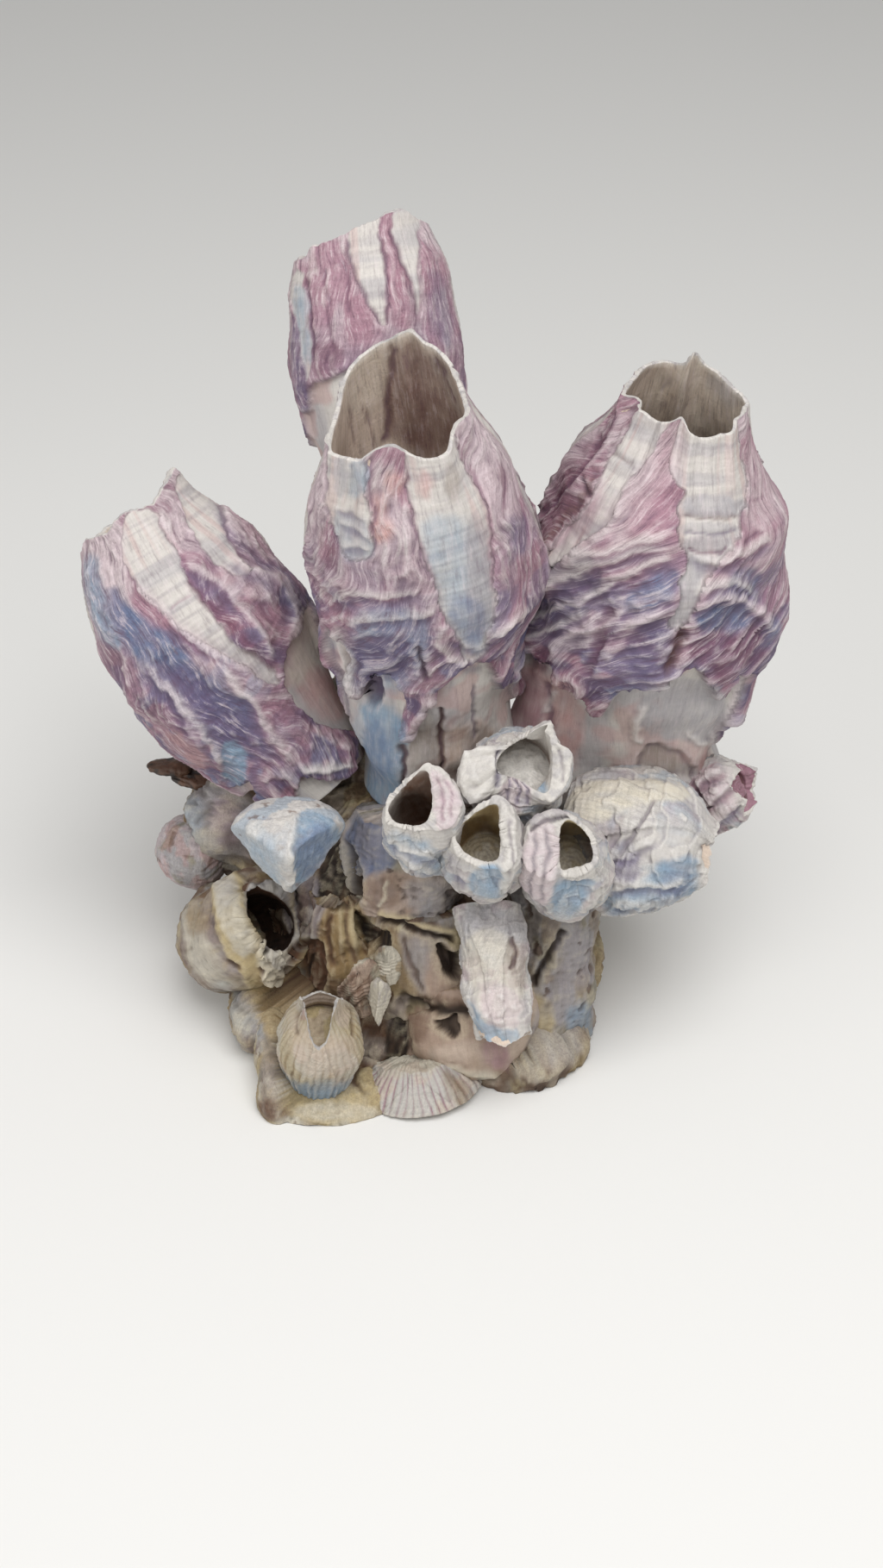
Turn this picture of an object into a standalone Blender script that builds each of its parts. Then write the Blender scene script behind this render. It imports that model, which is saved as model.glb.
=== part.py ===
"""A cluster of giant acorn barnacles on a lump of older, broken shells, cut off flat where it was fixed.

The frame has +Z up, X to the right and -Y towards the side that the cluster shows best. The origin lies on
the flat underside. Places and sizes are in millimetres, and each mesh is made in metres.

A barnacle's shell is a wall of plates round a spine. Angle 0 on it faces the front, and 90 degrees its right.
The share along the spine is 0 at the foot and 1 at the middle of the lip.
"""

import math
from dataclasses import dataclass

import bmesh
import bpy
import numpy as np

MM = 0.001
GAP = 0.4
FRONT = np.array((0.0, -1.0, 0.0))

FLAT_WITHIN = math.radians(6.6)
SHARP_FROM = math.radians(40.0)

BORDER_DEGREES = 8.0
SKIRT_STEP = 0.05
THIN_FROM, THINNED_BY = 0.78, 0.75
STRIP_MANTLE = 0.35
LIP_WALL, WALL_GROWTH = 0.75, 0.9
LEAST_HOLLOW = 1.2

NOISE_PEAK = 1.4
TRACE_START, TRACE_STEPS, TRACE_SHARE, TRACE_LIMIT = 80.0, 90, 0.6, 4.0

LARGE_COLUMNS, LARGE_HOLLOW_ROWS = 26, 4
LARGE_SHARES = (0.0, 0.09, 0.16, 0.21, 0.26, 0.31, 0.4, 0.5, 0.6, 0.71, 0.82, 0.92, 1.0)
SMALL_COLUMNS, SMALL_HOLLOW_ROWS = 14, 3
SMALL_SHARES = (0.0, 0.2, 0.4, 0.6, 0.8, 1.0)
OLD_COLUMNS, OLD_HOLLOW_ROWS = 16, 3
BASE_COLUMNS, BASE_ROWS = 28, 12

PURPLE = (0.42, 0.22, 0.28)
PALE_PURPLE = (0.56, 0.42, 0.46)
CHALK = (0.74, 0.71, 0.66)
CREAM = (0.66, 0.58, 0.45)
TAN = (0.50, 0.38, 0.26)
HORN = (0.10, 0.07, 0.05)

CUBE_EDGES = np.array(
    [(x, y, 0) for x in (1, -1) for y in (1, -1)]
    + [(x, 0, z) for x in (1, -1) for z in (1, -1)]
    + [(0, y, z) for y in (1, -1) for z in (1, -1)],
    float,
)


def clear_scene():
    for obj in list(bpy.data.objects):
        bpy.data.objects.remove(obj)


def unit(vectors):
    return vectors / np.linalg.norm(vectors, axis=-1, keepdims=True)


def ease(x):
    """0 below 0 and 1 above 1, with a smooth step between them."""
    x = np.clip(x, 0.0, 1.0)
    return x * x * (3.0 - 2.0 * x)


def curve_through(knots, x):
    """A smooth curve through (place, value) knots, read at x, and held level past its ends."""
    places, values = np.array(knots, float).T
    slopes = np.gradient(values, places)
    x = np.clip(x, places[0], places[-1])
    i = np.clip(np.searchsorted(places, x, side="right") - 1, 0, len(places) - 2)
    span = places[i + 1] - places[i]
    u = (x - places[i]) / span
    return (
        values[i] * (1 + 2 * u) * (1 - u) ** 2
        + values[i + 1] * u * u * (3 - 2 * u)
        + span * slopes[i] * u * (1 - u) ** 2
        - span * slopes[i + 1] * u * u * (1 - u)
    )


def around(knots, degrees):
    """Values given at some angles, joined by straight runs all the way round."""
    places, values = np.array(knots, float).T
    return np.interp(degrees, places, values, period=360.0)


def turn_between(degrees, middle):
    """The signed angle from middle to degrees, between -180 and 180."""
    return (degrees - middle + 180.0) % 360.0 - 180.0


def noise(points, seed):
    """Gradient noise, about -1 to 1, with lumps about one unit across."""
    cell = np.floor(points).astype(np.int64)
    inside = points - cell
    fade = inside**3 * (inside * (inside * 6 - 15) + 10)
    total = np.zeros(points.shape[:-1])
    for corner in np.ndindex(2, 2, 2):
        corner = np.array(corner)
        mixed = (cell + corner) @ np.array((73856093, 19349663, 83492791)) + seed * 7919
        mixed = (mixed ^ (mixed >> 13)) * 1274126177 & 0x7FFFFFFF
        slope = CUBE_EDGES[(mixed >> 8) % len(CUBE_EDGES)]
        weight = np.where(corner == 1, fade, 1 - fade).prod(axis=-1)
        total += weight * ((inside - corner) * slope).sum(axis=-1)
    return total * NOISE_PEAK


@dataclass
class Barnacle:
    """One barnacle's shell, or an old one's stump, as a wall of plates round a bowed spine."""

    name: str
    foot: tuple
    lip: tuple
    bow: tuple
    radii: tuple
    colour: tuple = CHALK
    wall: float = 1.6
    hollow_from: float = 0.35
    rim: tuple = ((0, 0),)
    plates: tuple = ()
    skirt: tuple = ((0, 0),)
    mantle: float = 0.0
    bumps: tuple = ()
    lumpiness: float = 0.5
    lump_size: float = 9.0
    seed: int = 1
    columns: int = SMALL_COLUMNS
    shares: tuple = SMALL_SHARES
    hollow_rows: int = SMALL_HOLLOW_ROWS
    open_top: bool = True

    def spine(self, t):
        """The spine's points and its direction at shares t, straight on past the lip."""
        foot, lip = np.array(self.foot, float), np.array(self.lip, float)
        middle = (foot + lip) / 2 + 2 * np.array(self.bow, float)
        inside = np.minimum(t, 1.0)[..., None]
        along = 2 * (1 - inside) * (middle - foot) + 2 * inside * (lip - middle)
        point = (1 - inside) ** 2 * foot + 2 * inside * (1 - inside) * middle + inside**2 * lip
        return point + (t[..., None] - inside) * along, unit(along)

    def length(self):
        return float(np.linalg.norm(np.subtract(self.lip, self.foot)))

    def plate_cover(self, t, degrees):
        """1 on the coloured plates, which narrow towards the lip, and 0 on the white strips between them."""
        cover = np.zeros(np.broadcast(t, degrees).shape)
        for middle, at_lip, at_foot in self.plates:
            half_width = at_foot + (at_lip - at_foot) * ease(t)
            cover = np.maximum(cover, ease((half_width - abs(turn_between(degrees, middle))) / BORDER_DEGREES + 0.5))
        return cover

    def core_radius(self, t):
        return curve_through(self.radii, t)

    def outer_radius(self, t, degrees):
        """The core, with the rough mantle on its plates down to the skirt, and the bumps and dents."""
        radius = self.core_radius(t)
        above_skirt = ease((t - around(self.skirt, degrees)) / SKIRT_STEP + 0.5)
        thinned = 1.0 - THINNED_BY * ease((t - THIN_FROM) / (1.0 - THIN_FROM))
        cover = STRIP_MANTLE + (1.0 - STRIP_MANTLE) * self.plate_cover(t, degrees)
        radius = radius + self.mantle * above_skirt * thinned * cover
        for angle, place, half_angle, half_share, height in self.bumps:
            far = (turn_between(degrees, angle) / half_angle) ** 2 + ((t - place) / half_share) ** 2
            radius = radius + height * np.exp(-far)
        return radius

    def place(self, t, degrees, radius):
        """Points at a radius round the spine, measured square to its direction."""
        point, along = self.spine(t)
        forward = unit(FRONT - (along @ FRONT)[..., None] * along)
        right = np.cross(along, forward)
        turn = np.radians(degrees)
        return (
            point
            + (radius * np.cos(turn))[..., None] * forward
            + (radius * np.sin(turn))[..., None] * right
        )

    def rows_of_points(self, closed_top=False):
        """Rings of points from the foot up the outside, over the rim and down the hollow, between two poles."""
        degrees = np.linspace(-180, 180, self.columns, endpoint=False)
        top = 1.0 + around(self.rim, degrees) / self.length()
        share = np.array(self.shares)[:, None]
        t = share * (1.0 + (top - 1.0) * share**3)
        ring = self.place(t, degrees + 0 * t, self.outer_radius(t, degrees) + 0 * t)
        ring = ring + self.lumpiness * noise(ring / self.lump_size, self.seed)[..., None] * unit(
            ring - self.spine(t)[0]
        )
        ring[..., 2] = np.maximum(ring[..., 2], 0.0)
        foot_pole = self.spine(np.array([0.0]))[0]
        lip_pole = self.spine(np.array([1.0]))[0]
        if closed_top or not self.open_top:
            return [foot_pole, *ring, lip_pole]
        down = np.linspace(0.0, 1.0, self.hollow_rows)[:, None]
        t = top + (self.hollow_from - top) * down
        thickness = self.wall * (LIP_WALL + WALL_GROWTH * down)
        inner = np.maximum(self.core_radius(t) - thickness, LEAST_HOLLOW)
        hollow = self.place(t, degrees + 0 * t, inner + 0 * t)
        floor_pole = self.spine(np.array([self.hollow_from]))[0]
        return [foot_pole, *ring, *hollow, floor_pole]

    def mesh(self):
        return closed_rings(self.name, self.rows_of_points())

    def cutter(self):
        """The same outside with the mouth closed, a little larger all over, which neighbours are cut by."""
        mesh = closed_rings(self.name + "_space", self.rows_of_points(closed_top=True))
        return swollen(mesh, GAP)


@dataclass
class Lump:
    """A solid that is the outermost surface of merged ellipsoids, seen from one point inside it."""

    name: str
    heart: tuple
    balls: tuple
    cuts: tuple = ()
    colour: tuple = CREAM
    blend: float = 3.0
    floor: float = -1000.0
    lumpiness: float = 1.2
    lump_size: float = 11.0
    seed: int = 1
    columns: int = OLD_COLUMNS
    rows: int = 8
    flatness: float = 1.0

    def depth(self, points):
        """Roughly how far points lie outside the merged balls, or past a flat cut through them."""
        total = np.zeros(points.shape[:-1])
        for centre, radii in self.balls:
            size = np.array(radii, float)
            reach = np.linalg.norm((points - np.array(centre, float)) / size, axis=-1)
            total += np.exp(-(reach - 1) * size.min() / self.blend)
        outside = -self.blend * np.log(total + 1e-30)
        for *way, at in self.cuts:
            outside = np.maximum(outside, (points - np.array(self.heart, float)) @ unit(np.array(way)) - at)
        return outside

    def rows_of_points(self):
        turn = np.linspace(-math.pi, math.pi, self.columns, endpoint=False)
        rise = np.arctan(self.flatness * np.tan(np.linspace(-math.pi / 2, math.pi / 2, self.rows)[1:-1, None]))
        ways = np.stack(
            (np.cos(rise) * np.sin(turn), -np.cos(rise) * np.cos(turn), np.sin(rise) + 0 * turn), axis=-1
        )
        rings = self.outermost(ways)
        ends = self.outermost(np.array(((0.0, 0.0, -1.0), (0.0, 0.0, 1.0))))
        return [ends[:1], *rings, ends[1:]]

    def outermost(self, ways):
        """The furthest surface along each way from the heart, with lumps, cut flat at the floor."""
        heart = np.array(self.heart, float)
        reach = np.full(ways.shape[:-1], TRACE_START)
        for _ in range(TRACE_STEPS):
            outside = self.depth(heart + reach[..., None] * ways)
            reach = np.maximum(reach - np.clip(TRACE_SHARE * outside, 0.0, TRACE_LIMIT), 1.0)
        points = heart + reach[..., None] * ways
        points = points + (self.lumpiness * noise(points / self.lump_size, self.seed))[..., None] * ways
        below = points[..., 2] < self.floor
        with np.errstate(divide="ignore", invalid="ignore"):
            back = (self.floor - heart[2]) / (points[..., 2] - heart[2])
        back = np.where(below, back, 1.0)
        points = heart + back[..., None] * (points - heart)
        points[..., 2] = np.where(below, self.floor, points[..., 2])
        return points

    def mesh(self):
        return closed_rings(self.name, self.rows_of_points())

    def cutter(self):
        mesh = closed_rings(self.name + "_space", self.rows_of_points())
        return swollen(mesh, GAP)


def closed_rings(name, rows):
    """A closed mesh from a first pole, rings of equal length and a last pole. It faces outwards."""
    count = len(rows[1])
    points = np.concatenate(rows) * MM
    faces = [(0, 1 + (i + 1) % count, 1 + i) for i in range(count)]
    for ring in range(len(rows) - 3):
        low, high = 1 + ring * count, 1 + (ring + 1) * count
        for i in range(count):
            j = (i + 1) % count
            faces.append((low + i, low + j, high + j, high + i))
    last, high = len(points) - 1, len(points) - 1 - count
    faces += [(last, high + i, high + (i + 1) % count) for i in range(count)]
    mesh = bpy.data.meshes.new(name)
    mesh.from_pydata(points.tolist(), [], faces)
    shape = bmesh.new()
    shape.from_mesh(mesh)
    bmesh.ops.triangulate(shape, faces=shape.faces)
    bmesh.ops.recalc_face_normals(shape, faces=shape.faces)
    shape.to_mesh(mesh)
    shape.free()
    return mesh


def swollen(mesh, distance):
    """The mesh with every point moved out along its normal."""
    shape = bmesh.new()
    shape.from_mesh(mesh)
    shape.normal_update()
    for vertex in shape.verts:
        vertex.co += vertex.normal * distance * MM
    shape.to_mesh(mesh)
    shape.free()
    return mesh


def material_of(colour):
    name = "shell_%02d_%02d_%02d" % tuple(round(c * 99) for c in colour)
    material = bpy.data.materials.get(name)
    if material is None:
        material = bpy.data.materials.new(name)
        material.use_nodes = True
        surface = material.node_tree.nodes["Principled BSDF"]
        surface.inputs["Base Color"].default_value = (*colour, 1.0)
        surface.inputs["Roughness"].default_value = 0.8
        surface.inputs["Metallic"].default_value = 0.0
    return material


def add_object(name, mesh, colour):
    obj = bpy.data.objects.new(name, mesh)
    bpy.context.scene.collection.objects.link(obj)
    mesh.materials.clear()
    mesh.materials.append(material_of(colour))
    return obj


def boxes_meet(first, second):
    a = np.array([v.co for v in first.vertices])
    b = np.array([v.co for v in second.vertices])
    return bool((a.min(0) < b.max(0)).all() and (b.min(0) < a.max(0)).all())


def cut_by(obj, cutter_mesh):
    """Takes the cutter's space from the object, and keeps the largest body that is left."""
    if not boxes_meet(obj.data, cutter_mesh):
        return
    cutter = bpy.data.objects.new(cutter_mesh.name, cutter_mesh)
    bpy.context.scene.collection.objects.link(cutter)
    cut = obj.modifiers.new("cut", "BOOLEAN")
    cut.operation = "DIFFERENCE"
    cut.solver = "EXACT"
    cut.object = cutter
    bpy.context.view_layer.update()
    evaluated = obj.evaluated_get(bpy.context.evaluated_depsgraph_get())
    mesh = bpy.data.meshes.new_from_object(evaluated)
    obj.modifiers.clear()
    obj.data = mesh
    bpy.data.objects.remove(cutter)


def keep_largest_body(mesh):
    """Drops the crumbs that a cut leaves, and joins faces that are nearly in one plane."""
    shape = bmesh.new()
    shape.from_mesh(mesh)
    left = set(shape.verts)
    bodies = []
    while left:
        body, edge = set(), [left.pop()]
        while edge:
            vertex = edge.pop()
            body.add(vertex)
            for link in vertex.link_edges:
                other = link.other_vert(vertex)
                if other in left:
                    left.discard(other)
                    edge.append(other)
        bodies.append(body)
    largest = max(bodies, key=len)
    bmesh.ops.delete(shape, geom=[v for v in shape.verts if v not in largest], context="VERTS")
    bmesh.ops.dissolve_limit(shape, angle_limit=FLAT_WITHIN, verts=shape.verts, edges=shape.edges)
    bmesh.ops.triangulate(shape, faces=shape.faces)
    shape.to_mesh(mesh)
    shape.free()


def shade(obj):
    obj.data.shade_smooth()
    obj.data.set_sharp_from_angle(angle=SHARP_FROM)


SIX_PLATES = ((0, 9, 34), (62, 8, 30), (122, 8, 30), (180, 9, 34), (-122, 8, 30), (-62, 8, 30))

LARGE = dict(columns=LARGE_COLUMNS, shares=LARGE_SHARES, hollow_rows=LARGE_HOLLOW_ROWS)
OLD = dict(columns=OLD_COLUMNS, hollow_rows=OLD_HOLLOW_ROWS)

LARGE_BARNACLES = (
    Barnacle(
        name="centre_barnacle",
        foot=(-3.5, -4.0, 38.0),
        lip=(-6.0, -16.0, 116.4),
        bow=(2.2, 0.0, 0.0),
        radii=((0, 9.6), (0.12, 10.4), (0.24, 11.6), (0.35, 12.6), (0.47, 13.6), (0.59, 15.2), (0.7, 15.8),
               (0.82, 14.6), (0.94, 12.4), (1.0, 11.6), (1.15, 9.6)),
        rim=((-165, 2.5), (176, 5.0), (160, 3.5), (120, 1.0), (80, 1.5), (62, 0.6), (45, -1.0), (15, -1.2),
             (8, -0.4), (-12, 1.6), (-27, 1.0), (-34, -1.4), (-55, -1.2), (-80, -0.4), (-115, 0.6)),
        plates=((-12, 18, 66), (64, 10, 44), (122, 8, 36), (178, 10, 36), (-122, 8, 36), (-68, 9, 30)),
        skirt=((-180, 0.3), (-110, 0.3), (-85, 0.34), (-60, 0.22), (-35, 0.18), (-12, 0.13), (5, 0.22),
               (25, 0.28), (55, 0.27), (80, 0.3), (120, 0.32)),
        mantle=1.9,
        bumps=((-72, 0.47, 16, 0.04, 1.8), (-25, 0.24, 22, 0.06, 1.4), (26, 0.25, 14, 0.04, 1.5),
               (95, 0.62, 26, 0.1, 2.2), (8, 0.16, 10, 0.05, -2.0)),
        colour=PALE_PURPLE, lumpiness=0.9, seed=3, wall=1.7, hollow_from=0.42, **LARGE,
    ),
    Barnacle(
        name="right_barnacle",
        foot=(34.6, 0.0, 37.5),
        lip=(37.4, -4.0, 112.9),
        bow=(-1.6, 0.0, 0.0),
        radii=((0, 14.0), (0.06, 13.4), (0.16, 12.0), (0.27, 12.6), (0.36, 15.0), (0.46, 17.4), (0.57, 18.2),
               (0.68, 17.4), (0.8, 14.8), (0.9, 11.6), (1.0, 9.8), (1.15, 8.0)),
        rim=((-172, 0.6), (174, 4.6), (160, 1.0), (130, 0.4), (100, -0.6), (75, 0.6), (60, 0.0), (40, -1.0),
             (8, -1.8), (-6, -0.6), (-16, 0.2), (-35, -1.0), (-62, -0.2), (-78, 1.0), (-95, 0.4), (-130, 0.8)),
        plates=((-32, 8, 40), (72, 12, 56), (130, 8, 30), (176, 8, 30), (-125, 8, 30), (-84, 14, 40)),
        skirt=((-180, 0.3), (-110, 0.32), (-80, 0.33), (-55, 0.26), (-30, 0.17), (-5, 0.23), (15, 0.24),
               (28, 0.2), (45, 0.18), (70, 0.25), (110, 0.3)),
        mantle=2.6,
        bumps=((-70, 0.42, 24, 0.09, 3.2), (-32, 0.27, 22, 0.07, 1.8), (48, 0.3, 20, 0.09, 2.0),
               (-20, 0.5, 26, 0.05, 1.4), (75, 0.5, 20, 0.1, 1.2), (16, 0.75, 16, 0.12, -0.6),
               (-80, 0.17, 36, 0.17, 10.5)),
        colour=PURPLE, lumpiness=1.1, seed=5, wall=1.6, hollow_from=0.45, **LARGE,
    ),
    Barnacle(
        name="left_barnacle",
        foot=(-19.5, -5.0, 42.0),
        lip=(-50.8, 10.0, 84.8),
        bow=(-2.2, 0.0, 0.6),
        radii=((0, 9.0), (0.12, 10.4), (0.25, 12.2), (0.4, 14.4), (0.55, 15.2), (0.75, 14.0), (0.92, 11.8),
               (1.0, 10.6), (1.15, 9.0)),
        rim=((-180, 0.0), (150, 0.0), (110, 2.0), (85, 4.5), (62, 2.8), (40, 0.8), (15, 2.0), (-10, 0.2),
             (-40, 0.8), (-62, -1.4), (-90, -1.2), (-130, 0.0)),
        plates=((-38, 16, 56), (22, 9, 26), (82, 12, 40), (140, 9, 32), (-160, 9, 32), (-100, 9, 32)),
        skirt=((-180, 0.25), (-120, 0.25), (-80, 0.2), (-50, 0.12), (-20, 0.02), (10, 0.1), (40, 0.28),
               (80, 0.34), (120, 0.3)),
        mantle=1.9,
        bumps=((22, 0.46, 16, 0.14, 2.4), (-20, 0.3, 12, 0.3, 1.6), (-70, 0.35, 20, 0.16, 1.6),
               (60, 0.62, 16, 0.1, 0.8)),
        colour=PURPLE, lumpiness=1.0, seed=7, wall=1.6, hollow_from=0.5, **LARGE,
    ),
    Barnacle(
        name="back_barnacle",
        foot=(-8.4, 9.0, 61.0),
        lip=(-12.4, 34.0, 125.2),
        bow=(0.4, -0.9, 0.6),
        radii=((0, 8.6), (0.16, 8.4), (0.32, 8.6), (0.45, 10.0), (0.54, 11.6), (0.65, 12.8), (0.77, 12.8),
               (0.88, 12.0), (0.96, 10.8), (1.0, 10.2), (1.15, 8.6)),
        rim=((-180, -2.0), (120, -1.0), (85, -0.6), (62, 0.0), (40, 2.0), (24, 1.2), (10, 0.0), (-8, -1.0),
             (-24, -2.0), (-45, -2.8), (-60, -4.6), (-85, -5.0), (-120, -3.0)),
        plates=((-34, 12, 40), (15, 7, 22), (66, 9, 34), (125, 9, 32), (180, 9, 32), (-88, 8, 26)),
        skirt=((-180, 0.4), (-90, 0.5), (-55, 0.52), (-20, 0.47), (20, 0.44), (90, 0.4)),
        mantle=1.2,
        bumps=((66, 0.58, 30, 0.17, 0.8),),
        colour=PURPLE, lumpiness=0.6, seed=9, wall=1.5, hollow_from=0.5, **LARGE,
    ),
)

SMALL_BARNACLES = (
    Barnacle(
        name="front_barnacle_left",
        foot=(-1.2, -24.0, 39.5),
        lip=(-5.1, -36.0, 59.5),
        bow=(0.0, 0.0, 0.0),
        radii=((0, 5.6), (0.3, 6.4), (0.6, 6.2), (0.85, 5.2), (1.0, 4.4), (1.3, 3.2)),
        rim=((-180, 1.8), (140, 3.6), (110, 1.0), (70, -1.2), (20, -2.6), (-30, -2.6), (-70, -1.4), (-120, 0.2)),
        plates=SIX_PLATES, mantle=0.5, skirt=((0, 0.2),),
        wall=0.9, hollow_from=0.35, lumpiness=0.4, lump_size=5.0, seed=11,
    ),
    Barnacle(
        name="front_barnacle_middle",
        foot=(8.2, -24.0, 36.0),
        lip=(5.9, -37.5, 54.0),
        bow=(0.0, 0.0, 0.0),
        radii=((0, 6.2), (0.3, 7.2), (0.6, 7.2), (0.85, 6.2), (1.0, 5.3), (1.3, 4.0)),
        rim=((-180, 2.4), (150, 1.0), (110, 1.6), (60, -0.6), (20, -1.6), (-30, -1.8), (-70, -0.4), (-120, 1.0)),
        plates=SIX_PLATES, mantle=0.5, skirt=((0, 0.2),),
        wall=0.9, hollow_from=0.45, lumpiness=0.4, lump_size=5.0, seed=12,
    ),
    Barnacle(
        name="front_barnacle_right",
        foot=(20.4, -22.0, 32.4),
        lip=(20.6, -36.0, 51.2),
        bow=(0.0, 0.0, 0.0),
        radii=((0, 6.6), (0.3, 7.8), (0.6, 7.6), (0.85, 6.8), (1.0, 6.0), (1.3, 4.4)),
        rim=((-180, 3.0), (150, 1.2), (110, 0.6), (60, -1.4), (20, -2.4), (-30, -0.4), (-70, 0.6), (-120, 2.2)),
        plates=SIX_PLATES, mantle=0.5, skirt=((0, 0.2),),
        wall=1.0, hollow_from=0.5, lumpiness=0.5, lump_size=5.0, seed=13,
    ),
    Barnacle(
        name="side_barnacle",
        foot=(22.5, -17.0, 40.0),
        lip=(43.0, -21.0, 38.0),
        bow=(0.0, -0.6, 1.4),
        radii=((0, 8.0), (0.2, 10.4), (0.5, 11.2), (0.8, 9.6), (1.0, 6.6), (1.3, 5.0)),
        rim=((-180, 0.0), (120, 1.2), (60, -0.8), (0, 0.8), (-60, -0.6), (-120, 0.8)),
        plates=SIX_PLATES, mantle=0.8, skirt=((0, 0.1),), columns=16,
        bumps=((10, 0.55, 24, 0.2, 0.9), (60, 0.35, 22, 0.2, 0.9)),
        wall=1.2, hollow_from=0.6, lumpiness=0.9, lump_size=6.0, seed=14,
    ),
    Barnacle(
        name="broken_barnacle_top",
        foot=(12.0, -20.0, 50.0),
        lip=(12.2, -27.5, 63.5),
        bow=(0.0, 0.0, 0.0),
        radii=((0, 6.4), (0.4, 7.0), (0.8, 6.8), (1.0, 6.2), (1.4, 5.0)),
        rim=((-180, 0.0), (150, 1.0), (120, 4.6), (92, 2.0), (60, -1.2), (20, -3.6), (-20, -4.0), (-55, 0.0),
             (-90, 1.6), (-125, 0.6), (-150, 2.4)),
        plates=SIX_PLATES, mantle=0.5, skirt=((0, 0.2),),
        wall=1.1, hollow_from=0.45, lumpiness=0.7, lump_size=4.0, seed=15,
    ),
    Barnacle(
        name="broken_barnacle_right",
        foot=(41.5, -8.0, 38.5),
        lip=(50.6, -11.5, 45.5),
        bow=(0.0, 0.0, 0.6),
        radii=((0, 5.6), (0.4, 5.6), (0.8, 5.0), (1.0, 4.4), (1.4, 3.2)),
        rim=((-180, 1.6), (130, -0.8), (90, 1.0), (45, -1.0), (0, 1.6), (-45, -0.6), (-90, 1.4), (-130, -0.8)),
        plates=SIX_PLATES, mantle=0.6, skirt=((0, 0.1),),
        colour=PURPLE, wall=1.0, hollow_from=0.5, lumpiness=0.7, lump_size=4.0, seed=16,
    ),
    Barnacle(
        name="ribbed_barnacle",
        foot=(-21.0, -36.4, 3.6),
        lip=(-19.8, -40.0, 21.0),
        bow=(0.3, 0.4, 0.0),
        radii=((0, 5.2), (0.2, 6.2), (0.45, 7.0), (0.7, 6.2), (0.88, 5.0), (1.0, 4.2), (1.3, 2.6)),
        rim=((-180, 2.2), (-150, 0.6), (-115, 1.6), (-70, 3.2), (-48, 0.2), (-25, -2.0), (0, -2.6), (25, -2.2),
             (52, 0.4), (78, 3.2), (120, 1.4), (150, 0.8)),
        plates=SIX_PLATES, mantle=0.4, skirt=((0, 0.0),), columns=18,
        colour=CREAM, wall=0.9, hollow_from=0.5, lumpiness=0.2, lump_size=5.0, seed=17,
    ),
    Barnacle(
        name="striped_barnacle",
        foot=(-3.8, -33.6, 0.0),
        lip=(-4.4, -33.0, 5.6),
        bow=(0.0, 0.0, 0.0),
        radii=((0, 10.8), (0.3, 9.6), (0.6, 8.0), (1.0, 6.0), (1.3, 5.0)),
        plates=SIX_PLATES, mantle=0.2, skirt=((0, 0.0),), columns=24,
        colour=PALE_PURPLE, lumpiness=0.0, seed=18, open_top=False,
    ),
)

HANGING = Barnacle(
    name="broken_barnacle_hanging",
    foot=(8.0, -26.0, 31.0),
    lip=(10.6, -40.0, 15.4),
    bow=(-0.5, -0.8, 0.6),
    radii=((0, 5.0), (0.3, 5.2), (0.6, 5.0), (0.85, 5.0), (1.0, 4.6), (1.3, 4.0)),
    rim=((-180, 1.6), (120, 0.0), (60, -1.2), (0, 1.0), (-60, -0.8), (-120, 0.8)),
    plates=SIX_PLATES, mantle=0.5, skirt=((0, 0.1),),
    wall=1.1, hollow_from=0.65, lumpiness=0.7, lump_size=4.0, seed=19,
)

KEEL = Lump(
    name="broken_barnacle_left",
    heart=(-24.4, -26.0, 46.4),
    balls=(((-24.6, -26.0, 47.0), (9.4, 7.4, 4.2)), ((-24.8, -28.4, 42.6), (6.6, 5.6, 5.4)),
           ((-25.0, -30.8, 39.8), (3.4, 3.0, 4.0))),
    cuts=((-0.62, -0.70, -0.35, 5.5), (0.66, -0.68, -0.32, 5.0)),
    colour=CHALK, blend=0.8, lumpiness=0.3, lump_size=6.0, seed=20, columns=16, rows=8,
)

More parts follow.
